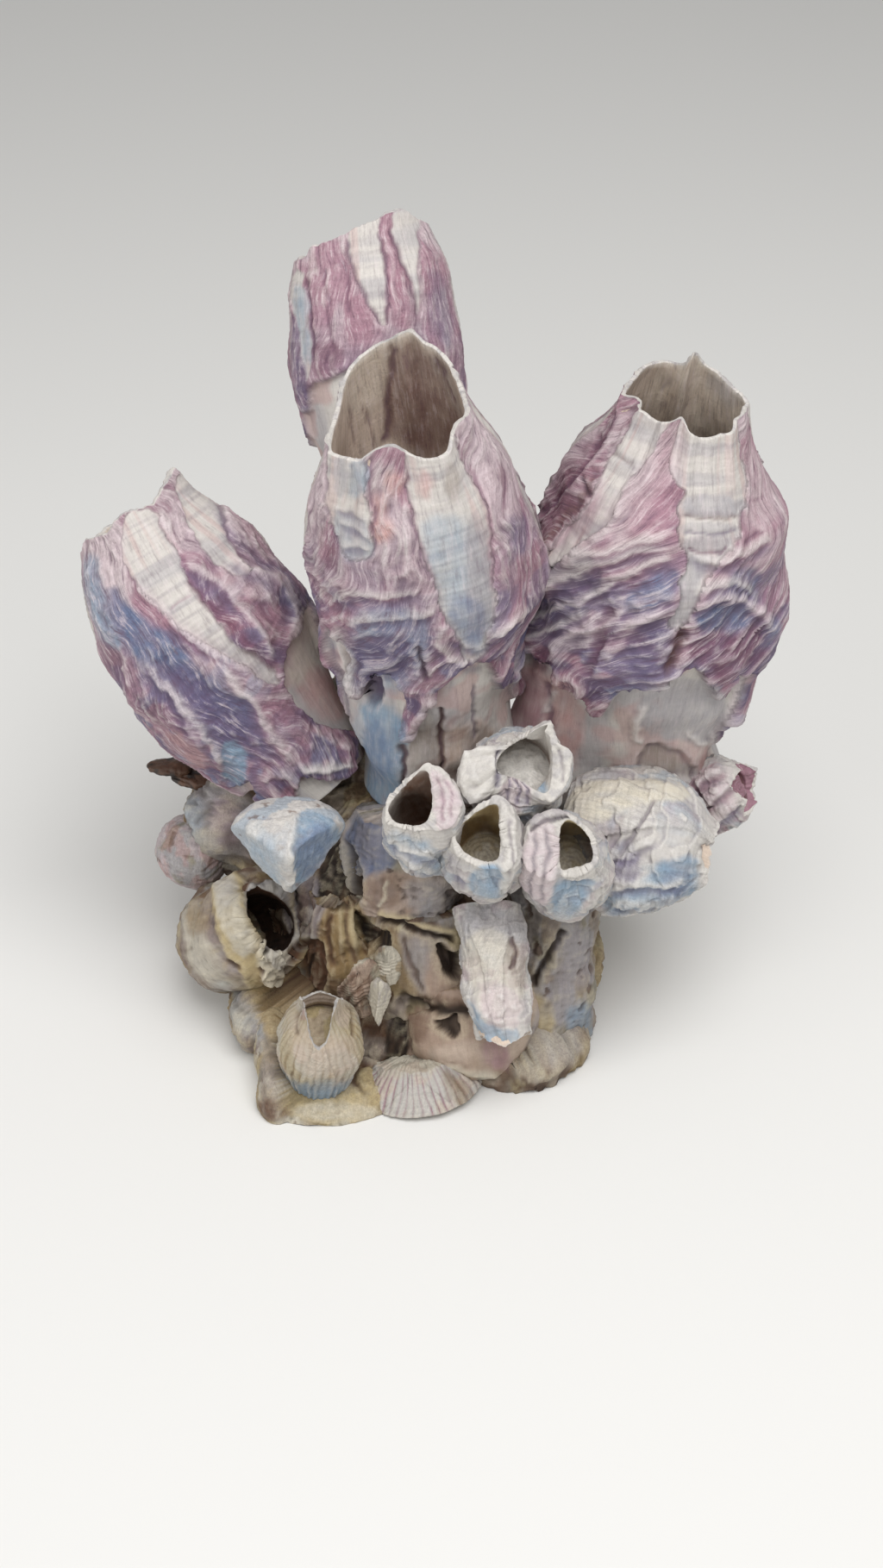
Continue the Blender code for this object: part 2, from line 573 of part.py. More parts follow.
OLD_SHELLS = (
    Barnacle(
        name="old_shell_left",
        foot=(-40.0, -8.0, 10.0),
        lip=(-28.8, -22.4, 25.2),
        bow=(0.0, 0.0, 0.0),
        radii=((0, 8.0), (0.3, 9.4), (0.55, 9.8), (0.8, 9.2), (1.0, 7.8), (1.3, 6.4)),
        rim=((-180, 1.0), (150, -2.0), (110, -3.0), (60, -2.0), (20, 1.6), (-20, 2.0), (-70, 2.4), (-120, 2.0)),
        colour=CREAM, wall=2.4, hollow_from=0.3, lumpiness=1.2, lump_size=7.0, seed=21, **OLD,
    ),
    Lump(
        name="old_shell_pink",
        heart=(-43.6, 1.0, 24.0),
        balls=(((-43.4, 0.0, 24.0), (6.4, 6.6, 7.6)),),
        colour=PALE_PURPLE, lumpiness=0.6, seed=27, columns=14, rows=8,
    ),
    Barnacle(
        name="old_shell_brown",
        foot=(-16.6, -17.0, 8.0),
        lip=(-16.6, -17.4, 28.0),
        bow=(0.0, -0.8, 0.0),
        radii=((0, 8.0), (0.4, 8.4), (0.8, 7.4), (1.0, 6.2)),
        colour=TAN, lumpiness=0.7, lump_size=6.0, seed=22, open_top=False, columns=14,
    ),
    Barnacle(
        name="old_shell_middle",
        foot=(-3.4, -21.0, 9.0),
        lip=(-3.6, -20.0, 28.0),
        bow=(0.0, -0.8, 0.0),
        radii=((0, 9.2), (0.35, 10.2), (0.75, 9.8), (1.0, 8.6)),
        colour=CREAM, lumpiness=0.5, lump_size=7.0, seed=23, open_top=False, columns=16,
    ),
    Barnacle(
        name="old_shell_upper",
        foot=(-6.0, -17.0, 28.6),
        lip=(-6.0, -14.0, 42.0),
        bow=(0.0, -0.4, 0.0),
        radii=((0, 10.6), (0.4, 11.0), (0.8, 9.8), (1.0, 8.4)),
        colour=PALE_PURPLE, lumpiness=0.7, lump_size=6.0, seed=24, open_top=False, columns=16,
    ),
    Barnacle(
        name="old_shell_lower",
        foot=(5.6, -25.4, 2.6),
        lip=(4.4, -22.6, 14.0),
        bow=(0.0, -0.6, 0.0),
        radii=((0, 11.4), (0.4, 12.8), (0.75, 11.8), (1.0, 10.2)),
        colour=CREAM, lumpiness=0.5, lump_size=7.0, seed=25, open_top=False, columns=18,
    ),
    Barnacle(
        name="old_shell_right",
        foot=(18.4, -21.4, 1.4),
        lip=(19.4, -17.0, 31.0),
        bow=(-0.4, -0.8, 0.0),
        radii=((0, 8.2), (0.25, 8.0), (0.45, 7.4), (0.7, 8.0), (1.0, 8.6)),
        colour=CHALK, lumpiness=0.9, lump_size=7.0, seed=26, open_top=False, columns=16,
    ),
)

PLATES = (
    Lump(
        name="loose_plate_left",
        heart=(-14.0, -34.4, 20.0),
        balls=(((-14.6, -34.8, 19.4), (4.4, 1.6, 4.6)), ((-12.6, -33.8, 23.0), (2.6, 1.4, 3.6))),
        cuts=((-0.75, -0.2, 0.63, 2.6), (0.3, -0.95, 0.1, 0.8), (-0.45, -0.88, -0.1, 0.9)),
        colour=TAN, blend=0.5, lumpiness=0.0, columns=10, rows=6,
    ),
    Lump(
        name="loose_plate_right",
        heart=(-10.3, -36.6, 19.6),
        balls=(((-10.3, -36.6, 19.6), (2.2, 1.8, 6.4)),),
        cuts=((-0.9, -0.44, 0.12, 1.0), (0.7, -0.72, -0.1, 1.0), (0.5, 0.5, 0.6, 3.4)),
        colour=CHALK, blend=0.5, lumpiness=0.0, columns=10, rows=6,
    ),
    Lump(
        name="loose_plate_top",
        heart=(-9.0, -33.4, 24.6),
        balls=(((-9.0, -33.4, 24.6), (2.6, 1.4, 4.2)),),
        cuts=((0.5, -0.86, 0.1, 0.8), (-0.5, -0.86, 0.1, 0.9)),
        colour=CREAM, blend=0.5, lumpiness=0.0, columns=10, rows=6,
    ),
    Lump(
        name="dark_shell_flake",
        heart=(-44.6, 4.0, 38.0),
        balls=(((-47.6, 4.0, 39.4), (3.8, 3.6, 1.3)), ((-42.6, 4.0, 37.0), (4.6, 4.2, 1.4))),
        colour=HORN, blend=0.5, lumpiness=0.0, columns=12, rows=6, flatness=0.3,
    ),
)

LEDGE = Lump(
    name="front_ledge",
    heart=(-18.0, -32.0, 1.6),
    balls=(
        ((-21.0, -33.6, 0.2), (9.4, 12.0, 4.0)),
        ((-12.0, -33.6, 0.2), (9.4, 11.6, 3.6)),
        ((-2.0, -31.6, 0.2), (7.0, 9.6, 3.4)),
        ((-28.0, -39.6, 1.6), (2.4, 5.0, 7.0)),
        ((-28.6, -31.0, 4.0), (3.2, 8.0, 6.4)),
    ),
    colour=CREAM, blend=0.7, floor=0.0, lumpiness=0.4, lump_size=6.0, seed=32, columns=26, rows=10,
    flatness=0.3,
)

BASE = Lump(
    name="base_mass",
    heart=(-3.0, -2.0, 16.0),
    balls=(
        ((-4.0, -3.0, 17.0), (27.0, 22.0, 26.0)),
        ((29.0, 2.0, 29.5), (14.0, 13.0, 10.0)),
        ((-30.0, 3.0, 28.0), (13.0, 12.0, 12.0)),
        ((-36.0, 2.0, 33.0), (9.0, 8.0, 6.0)),
        ((-31.0, -6.0, 6.0), (9.0, 12.0, 8.0)),
        ((-31.0, -22.0, 5.0), (5.6, 9.0, 6.6)),
        ((14.6, -29.0, 1.0), (7.6, 8.6, 5.6)),
        ((19.0, -20.0, 1.0), (7.0, 9.0, 6.6)),
        ((18.0, -6.0, 14.0), (10.0, 15.0, 14.0)),
        ((-8.4, 9.0, 44.0), (12.0, 12.0, 20.0)),
        ((-6.0, -20.0, 2.0), (18.0, 13.0, 9.0)),
        ((10.0, 16.0, 23.0), (18.0, 13.0, 16.0)),
        ((-20.0, 16.0, 18.0), (17.0, 13.0, 16.0)),
    ),
    colour=CREAM, blend=1.6, floor=0.0, lumpiness=1.6, lump_size=9.0, seed=31,
    columns=BASE_COLUMNS, rows=BASE_ROWS,
)


def main():
    """Every piece in order, each cut by the ones before it that it meets, so that none overlaps another."""
    clear_scene()
    pieces = [*LARGE_BARNACLES, *SMALL_BARNACLES, HANGING, KEEL, *PLATES, *OLD_SHELLS, LEDGE, BASE]
    cutters = []
    for piece in pieces:
        obj = add_object(piece.name, piece.mesh(), piece.colour)
        for cutter in cutters:
            cut_by(obj, cutter)
        keep_largest_body(obj.data)
        shade(obj)
        cutters.append(piece.cutter())


main()
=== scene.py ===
"""The looks of a cluster of giant acorn barnacles on a lump of older, broken shells.

Every surface is a grid of points worked out in millimetres and turned to metres when its mesh is made. What
the photograph shows at one place on the front, such as a white strip, a fold or a crack, is a mark: its
outline or line is given in pixels of the 1024 x 1819 photograph, and its widths and depths are in
millimetres. The sides and the back carry the same plates, strips, ledges and folds, placed by formulas.
"""

import logging
import math
from dataclasses import dataclass, field, replace
from enum import Enum

import bpy
import numpy as np
from mathutils import Matrix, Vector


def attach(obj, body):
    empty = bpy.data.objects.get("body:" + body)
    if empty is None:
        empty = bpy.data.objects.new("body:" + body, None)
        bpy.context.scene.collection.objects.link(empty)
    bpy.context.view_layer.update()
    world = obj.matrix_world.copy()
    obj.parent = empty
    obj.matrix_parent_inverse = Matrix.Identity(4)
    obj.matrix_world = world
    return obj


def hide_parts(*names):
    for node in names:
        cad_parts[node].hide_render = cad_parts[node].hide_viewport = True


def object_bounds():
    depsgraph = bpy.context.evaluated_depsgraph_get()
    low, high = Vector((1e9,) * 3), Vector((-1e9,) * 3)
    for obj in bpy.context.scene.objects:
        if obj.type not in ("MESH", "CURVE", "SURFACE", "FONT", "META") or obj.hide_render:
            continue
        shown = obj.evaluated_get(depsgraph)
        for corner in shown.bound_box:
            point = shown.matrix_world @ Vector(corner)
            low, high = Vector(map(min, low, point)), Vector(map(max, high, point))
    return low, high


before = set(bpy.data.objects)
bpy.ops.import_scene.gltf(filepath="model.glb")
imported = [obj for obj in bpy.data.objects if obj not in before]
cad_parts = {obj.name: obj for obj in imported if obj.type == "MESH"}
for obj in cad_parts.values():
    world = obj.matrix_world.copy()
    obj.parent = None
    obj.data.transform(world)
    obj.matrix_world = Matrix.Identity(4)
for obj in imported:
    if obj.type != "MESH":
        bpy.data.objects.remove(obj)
SOLID_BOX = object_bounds()

Array = np.ndarray
Line = tuple[tuple[float, float], ...]
Knots = tuple[tuple[float, float], ...]

MM = 0.001
log = logging.getLogger("barnacle_cluster")

TINY = 1e-12
LEAST_RUN = 1e-9
NOISE_PEAK = 1.4
HASH_STEPS = np.array((73856093, 19349663, 83492791))
HASH_SEED, HASH_FACTOR, HASH_MASK = 7919, 1274126177, 0x7FFFFFFF
CUBE_EDGES = np.array(
    [(x, y, 0) for x in (1, -1) for y in (1, -1)]
    + [(x, 0, z) for x in (1, -1) for z in (1, -1)]
    + [(0, y, z) for y in (1, -1) for z in (1, -1)],
    float,
)


class Tint(Enum):
    """The colours that a shell shows under the light of the photograph, as sRGB hex values. Violet, blue,
    azure, umber and ink also stand for painted shade and painted blue reflection where the marks lay them low
    down and in hollows.
    """

    BLUSH = "#D3C3C5"
    ROSE = "#A9808E"
    PLUM = "#7A4C5F"
    SALMON = "#C79F9A"
    SAND = "#DCC9B8"
    VIOLET = "#665D7C"
    BLUE = "#6C7897"
    AZURE = "#8DA5BA"
    LIME = "#D6D1CA"
    PEARL = "#B4B0B2"
    STONE = "#A39B9E"
    CREAM = "#D9D1C0"
    BUFF = "#A3968C"
    RUST = "#7A5650"
    GOLD = "#C6B389"
    TAN = "#9A8058"
    CLAY = "#B49C8B"
    UMBER = "#6B4A35"
    INK = "#241812"


def linear(colour: str) -> tuple[float, float, float, float]:
    """Turns an sRGB hex value to the linear colour that a shader takes.

    Args:
        colour: A hash sign and six hex digits.

    Returns:
        Linear red, green and blue, and 1 for alpha.
    """
    parts = np.array([int(colour[i : i + 2], 16) / 255 for i in (1, 3, 5)])
    low, high = parts / 12.92, ((parts + 0.055) / 1.055) ** 2.4
    return (*(float(c) for c in np.where(parts <= 0.04045, low, high)), 1.0)


def unit(vectors: Array) -> Array:
    """Vectors made one long."""
    return vectors / np.maximum(np.linalg.norm(vectors, axis=-1, keepdims=True), TINY)


def ease(x: Array) -> Array:
    """0 below 0 and 1 above 1, with a smooth step between them."""
    x = np.clip(x, 0.0, 1.0)
    return x * x * (3.0 - 2.0 * x)


def curve_through(knots: Knots, x: Array) -> Array:
    """Reads a smooth curve, a cubic between each two knots with slopes taken from their neighbours.

    Args:
        knots: Pairs of place and value.
        x: Places to read. Past the ends the curve is level.

    Returns:
        The curve's values at x.
    """
    places, values = np.array(knots, float).T
    slopes = np.gradient(values, places)
    x = np.clip(x, places[0], places[-1])
    i = np.clip(np.searchsorted(places, x, side="right") - 1, 0, len(places) - 2)
    span = places[i + 1] - places[i]
    u = (x - places[i]) / span
    return (
        values[i] * (1 + 2 * u) * (1 - u) ** 2
        + values[i + 1] * u * u * (3 - 2 * u)
        + span * slopes[i] * u * (1 - u) ** 2
        - span * slopes[i + 1] * u * u * (1 - u)
    )


def around(knots: Knots, degrees: Array) -> Array:
    """Values given at some angles, joined by straight runs all the way round."""
    places, values = np.array(knots, float).T
    return np.interp(degrees, places, values, period=360.0)


def turn_between(degrees: Array, middle: float) -> Array:
    """The signed angle from middle to degrees, between -180 and 180."""
    return (degrees - middle + 180.0) % 360.0 - 180.0


def noise(points: Array, size: float, seed: int) -> Array:
    """Gradient noise: slopes hashed from the corners of cubic cells, blended smoothly between them.

    Args:
        points: Places in mm.
        size: How large its lumps are, in mm.
        seed: Which noise it is.

    Returns:
        Values of about -1 to 1.
    """
    points = points / size
    cell = np.floor(points).astype(np.int64)
    inside = points - cell
    fade = inside**3 * (inside * (inside * 6 - 15) + 10)
    total = np.zeros(points.shape[:-1])
    for corner in np.ndindex(2, 2, 2):
        corner = np.array(corner)
        mixed = (cell + corner) @ HASH_STEPS + seed * HASH_SEED
        mixed = (mixed ^ (mixed >> 13)) * HASH_FACTOR & HASH_MASK
        slope = CUBE_EDGES[(mixed >> 8) % len(CUBE_EDGES)]
        weight = np.where(corner == 1, fade, 1 - fade).prod(axis=-1)
        total += weight * ((inside - corner) * slope).sum(axis=-1)
    return total * NOISE_PEAK


def layered(points: Array, size: float, seed: int, layers: int = 3) -> Array:
    """Noise with finer noise on it: each layer has half the size and half the height of the last."""
    return sum(noise(points, size / 2**i, seed + 17 * i) / 2**i for i in range(layers))


def terraces(field_: Array, steps: float, edge: float = 0.18) -> Array:
    """A field cut into level steps, each joined to the next by a short steep slope."""
    scaled = field_ * steps
    whole = np.floor(scaled)
    return (whole + ease((scaled - whole) / edge)) / steps


def soften(field_: Array, reach: int) -> Array:
    """A grid's values averaged with their neighbours, over and over. Its columns close on themselves."""
    for _ in range(reach):
        field_ = (np.roll(field_, 1, 1) + 2 * field_ + np.roll(field_, -1, 1)) / 4
        padded = np.concatenate((field_[:1], field_, field_[-1:]))
        field_ = (padded[:-2] + 2 * padded[1:-1] + padded[2:]) / 4
    return field_


def grid_normals(points: Array) -> Array:
    """Normals of a grid: the cross product of its steps round a row and its steps up a column."""
    up = np.gradient(points, axis=0)
    round_row = np.roll(points, -1, axis=1) - np.roll(points, 1, axis=1)
    return unit(np.cross(round_row, up))


@dataclass(frozen=True)
class PhotoView:
    """The photograph's camera, a pinhole that looks down at the front. Lengths are in mm and pixels."""

    target: tuple[float, float, float] = (0.0, -10.0, 45.0)
    distance: float = 362.5
    pitch: float = 35.0
    focal: float = 2500.0
    width: float = 1024.0
    height: float = 1819.0

    SENSOR_WIDTH = 36.0
    CLIP_START = 0.01

    def axes(self) -> tuple[Array, Array, Array]:
        """The directions to the right, up and forward."""
        pitch = math.radians(self.pitch)
        right = np.array((1.0, 0.0, 0.0))
        up = np.array((0.0, math.sin(pitch), math.cos(pitch)))
        forward = np.array((0.0, math.cos(pitch), -math.sin(pitch)))
        return right, up, forward

    def eye(self) -> Array:
        """Where the camera stands."""
        return np.array(self.target) - self.distance * self.axes()[2]

    def pixels(self, points: Array) -> tuple[Array, Array]:
        """Projects points into the photograph: focal length times sideways distance over depth.

        Args:
            points: Places in mm.

        Returns:
            Pixel places, and how many mm one pixel covers at each point.
        """
        right, up, forward = self.axes()
        seen = points - self.eye()
        depth = seen @ forward
        x = self.width / 2 + self.focal * (seen @ right) / depth
        y = self.height / 2 - self.focal * (seen @ up) / depth
        return np.stack((x, y), axis=-1), depth / self.focal

    def facing(self, points: Array, normals: Array) -> Array:
        """How squarely a surface faces the camera, from -1 to 1."""
        return -(unit(points - self.eye()) * normals).sum(axis=-1)

    def make_camera(self) -> bpy.types.Object:
        """Makes the scene's camera."""
        right, up, forward = self.axes()
        data = bpy.data.cameras.new("photo_view")
        data.sensor_fit = "AUTO"
        data.sensor_width = self.SENSOR_WIDTH
        data.lens = data.sensor_width * self.focal / self.height
        data.clip_start = self.CLIP_START
        camera = bpy.data.objects.new("photo_view", data)
        bpy.context.scene.collection.objects.link(camera)
        turned = np.eye(4)
        turned[:3, 0], turned[:3, 1], turned[:3, 2] = right, up, -forward
        turned[:3, 3] = self.eye() * MM
        camera.matrix_world = Matrix(turned.tolist())
        bpy.context.scene.camera = camera
        return camera


VIEW = PhotoView()


def rounded(line: Line, closed: bool) -> Array:
    """Cuts the corners of a line twice, a quarter of the way along each run.

    Args:
        line: Its points in pixels.
        closed: Whether its end joins its start.

    Returns:
        The points of the smoother line.
    """
    points = np.array(line, float)
    for _ in range(2):
        after = np.roll(points, -1, axis=0) if closed else points[1:]
        before = points if closed else points[:-1]
        cut = np.stack((0.75 * before + 0.25 * after, 0.25 * before + 0.75 * after), axis=1).reshape(-1, 2)
        points = cut if closed else np.concatenate((points[:1], cut, points[-1:]))
    return points


def to_line(places: Array, line: Array) -> tuple[Array, Array, Array]:
    """Measures from places to a line, run by run.

    Args:
        places: Pixel places, one a row.
        line: The line's points in pixels.

    Returns:
        The distance to the line, which is negative below it where it runs to the right, the share along
        it of the nearest point, and the distance without its sign.
    """
    steps = np.linalg.norm(np.diff(line, axis=0), axis=1)
    ends = np.concatenate(((0.0,), np.cumsum(steps))) / steps.sum()
    best = np.full(len(places), np.inf)
    side, share = np.zeros(len(places)), np.zeros(len(places))
    for start, stop, first, last in zip(line[:-1], line[1:], ends[:-1], ends[1:]):
        run, off = stop - start, places - start
        along = np.clip(off @ run / max(run @ run, LEAST_RUN), 0.0, 1.0)
        gap = np.hypot(*(off - along[:, None] * run).T)
        near = gap < best
        best = np.where(near, gap, best)
        side = np.where(near, np.sign(run[1] * off[:, 0] - run[0] * off[:, 1]), side)
        share = np.where(near, first + (last - first) * along, share)
    return best * np.where(side < 0, -1.0, 1.0), share, best


def into_outline(places: Array, outline: Array) -> Array:
    """The distance to a closed outline. A ray from inside crosses it an odd number of times.

    Args:
        places: Pixel places, one a row.
        outline: The outline's points in pixels.

    Returns:
        Distances in pixels, negative outside.
    """
    closed = np.concatenate((outline, outline[:1]))
    gap = to_line(places, closed)[2]
    inside = np.zeros(len(places), bool)
    for (ax, ay), (bx, by) in zip(closed[:-1], closed[1:]):
        crosses = (ay > places[:, 1]) != (by > places[:, 1])
        if ay != by:
            inside ^= crosses & (places[:, 0] < ax + (places[:, 1] - ay) * (bx - ax) / (by - ay))
    return np.where(inside, gap, -gap)


@dataclass
class Skin:
    """A grid of surface points in mm, with the tints laid on it and the height raised on it so far."""

    points: Array
    grain: Array
    seed: int
    flow: Array | None = None
    normals: Array = field(init=False)
    pixels: Array = field(init=False)
    scale: Array = field(init=False)
    front: Array = field(init=False)
    height: Array = field(init=False)
    shares: dict[Tint, Array] = field(init=False)

    WOBBLE = ((1.6, 0.30), (4.5, 0.45))
    FRONT_FROM, FRONT_SPAN = 0.05, 0.2
    LEAST_PIXEL = 0.14

    def __post_init__(self) -> None:
        """Works out normals, pixel places and how far each point faces the photograph's camera."""
        self.normals = grid_normals(self.points)
        self.pixels, self.scale = VIEW.pixels(self.points)
        for i, (size, reach) in enumerate(self.WOBBLE):
            for axis in (0, 1):
                wander = noise(self.points, size, self.seed + 40 + 2 * i + axis)
                self.pixels[..., axis] += reach * wander / self.scale
        facing = VIEW.facing(self.points, self.normals)
        self.front = ease((facing - self.FRONT_FROM) / self.FRONT_SPAN)
        self.height = np.zeros(self.front.shape)
        self.shares = {}

    def near(self, line: Array, reach: float) -> Array:
        """Which points' pixels lie within a reach in mm of a line's box and face the camera.

        Args:
            line: The line's points in pixels.
            reach: How far past the box, in mm. A pixel covers at least LEAST_PIXEL mm on the object.

        Returns:
            True for each such point.
        """
        low = line.min(axis=0) - reach / self.LEAST_PIXEL
        high = line.max(axis=0) + reach / self.LEAST_PIXEL
        return ((self.pixels > low) & (self.pixels < high)).all(axis=-1) & (self.front > 0)

    def inside(self, outline: Line, reach: float = 3.0) -> Array:
        """How far inside an outline each point is, in mm, to -reach outside it."""
        line = rounded(outline, closed=True)
        close = self.near(line, reach)
        depth = np.full(self.front.shape, -reach)
        depth[close] = into_outline(self.pixels[close], line) * self.scale[close]
        return depth

    def paint(self, tint: Tint, cover: Array) -> None:
        """Lays a tint over what is there, so that every share, and the bare ground's, still adds up to 1."""
        cover = np.clip(cover, 0.0, 1.0)
        for other in self.shares:
            self.shares[other] = self.shares[other] * (1.0 - cover)
        self.shares[tint] = self.shares.get(tint, 0.0) + cover

    def raised(self) -> Array:
        """The points with the height along their normals."""
        return self.points + self.height[..., None] * self.normals


@dataclass(frozen=True)
class Area:
    """A patch of a tint inside an outline, raised or sunk by its relief in mm, with a soft edge."""

    tint: Tint | None
    outline: Line
    amount: float = 0.8
    soft: float = 1.2
    relief: float = 0.0
    rough: float = 0.0
    speckle: float = 0.35

    SPECKLE_SIZE, ROUGH_SIZE = 1.1, 1.5

    def lay(self, skin: Skin) -> None:
        """Cover is a smooth step of the distance inside the outline. Rough ground adds its lumps."""
        depth = skin.inside(self.outline, self.soft + 1.0)
        cover = ease(depth / self.soft + 0.5) * skin.front
        if self.tint is not None:
            along = skin.grain * (1.0, 1.0, 0.4)
            broken = 1.0 + self.speckle * noise(along, self.SPECKLE_SIZE, skin.seed + 3)
            skin.paint(self.tint, self.amount * cover * broken)
        skin.height += self.relief * cover
        if self.rough:
            lumps = np.maximum(layered(skin.points, self.ROUGH_SIZE, skin.seed + 4, 2), 0.0)
            skin.height += self.rough * cover * lumps


@dataclass(frozen=True)
class Ridge:
    """A fold's crest: it swells gently above its line and drops steeply below it. Sizes are in mm."""

    line: Line
    height: float = 0.9
    above: float = 2.6
    below: float = 0.45
    tint: Tint | None = Tint.LIME
    amount: float = 0.5
    shade: Tint | None = Tint.VIOLET
    shade_amount: float = 0.45

    FADE_OVER = 0.18
    SHADE_FROM, SHADE_WIDTH = 0.35, 0.75
    CREST_AT, CREST_ABOVE, CREST_BELOW = 0.15, 0.9, 0.3

    def lay(self, skin: Skin) -> None:
        """Height is a bell of the distance with two widths, which fades towards the line's ends."""
        line = rounded(self.line, closed=False)
        close = skin.near(line, 3 * self.above)
        if not close.any():
            return
        gap, share, _ = to_line(skin.pixels[close], line)
        gap = gap * skin.scale[close]
        fade = ease(np.minimum(share, 1.0 - share) / self.FADE_OVER) * skin.front[close]
        width = np.where(gap > 0, self.above, self.below)
        bell = np.exp(-((gap / width) ** 2)) * fade
        raise_by = np.zeros(skin.front.shape)
        raise_by[close] = self.height * bell
        skin.height += raise_by
        # Painted shade under the crest, where the fold drops away.
        if self.shade is not None:
            cover = np.zeros(skin.front.shape)
            under = np.exp(-(((gap + 1.5 * self.below + self.SHADE_FROM) / self.SHADE_WIDTH) ** 2)) * fade
            cover[close] = self.shade_amount * under
            skin.paint(self.shade, cover)
        if self.tint is not None:
            cover = np.zeros(skin.front.shape)
            span = np.where(gap > self.CREST_AT, self.CREST_ABOVE, self.CREST_BELOW)
            crest = np.exp(-(((gap - self.CREST_AT) / span) ** 2)) * fade
            cover[close] = self.amount * crest
            skin.paint(self.tint, cover)


@dataclass(frozen=True)
class Groove:
    """A crack, slit or seam along a line. Sizes are in mm."""

    line: Line
    width: float = 0.5
    depth: float = 0.6
    # Ink by default: painted shade down in the crack.
    tint: Tint | None = Tint.INK
    amount: float = 0.8
    taper: float = 0.12

    def lay(self, skin: Skin) -> None:
        """Depth is a bell of the distance, which fades towards the line's ends."""
        line = rounded(self.line, closed=False)
        close = skin.near(line, 4 * self.width)
        if not close.any():
            return
        gap, share, _ = to_line(skin.pixels[close], line)
        fade = ease(np.minimum(share, 1.0 - share) / self.taper) * skin.front[close]
        bell = np.zeros(skin.front.shape)
        bell[close] = np.exp(-((gap * skin.scale[close] / self.width) ** 2)) * fade
        skin.height -= self.depth * bell
        if self.tint is not None:
            skin.paint(self.tint, self.amount * bell)


@dataclass(frozen=True)
class Pit:
    """A round hole with painted shade that darkens towards its middle. Its place and size are in pixels, its
    depth in mm.
    """

    middle: tuple[float, float]
    size: tuple[float, float]
    depth: float = 2.0
    tint: Tint = Tint.INK
    amount: float = 0.9
    turn: float = 0.0

    def lay(self, skin: Skin) -> None:
        """Depth is a steep bell of the distance, counted in the hole's own half sizes."""
        turn = math.radians(self.turn)
        off = skin.pixels - np.array(self.middle)
        a = (off[..., 0] * math.cos(turn) + off[..., 1] * math.sin(turn)) / self.size[0]
        b = (off[..., 1] * math.cos(turn) - off[..., 0] * math.sin(turn)) / self.size[1]
        bell = np.exp(-((a * a + b * b) ** 2)) * skin.front
        skin.height -= self.depth * bell
        skin.paint(self.tint, self.amount * bell)


Mark = Area | Ridge | Groove | Pit


def lay_all(skin: Skin, marks: tuple[Mark, ...]) -> None:
    """Lays marks on a skin in their order, each over the ones before it."""
    for mark in marks:
        mark.lay(skin)


def add(
    tree: bpy.types.NodeTree, kind: str, settings: dict | None = None, links: dict | None = None
) -> bpy.types.Node:
    """Adds a node.

    Args:
        tree: The node tree to add to.
        kind: The node's type name.
        settings: Values by property name or, where it has one, by input socket name or number.
        links: Sockets to read from, by input socket name or number.

    Returns:
        The new node.
    """
    node = tree.nodes.new(kind)
    for key, value in (settings or {}).items():
        if isinstance(key, str) and hasattr(node, key):
            setattr(node, key, value)
        else:
            node.inputs[key].default_value = value
    for key, socket in (links or {}).items():
        tree.links.new(socket, node.inputs[key])
    return node


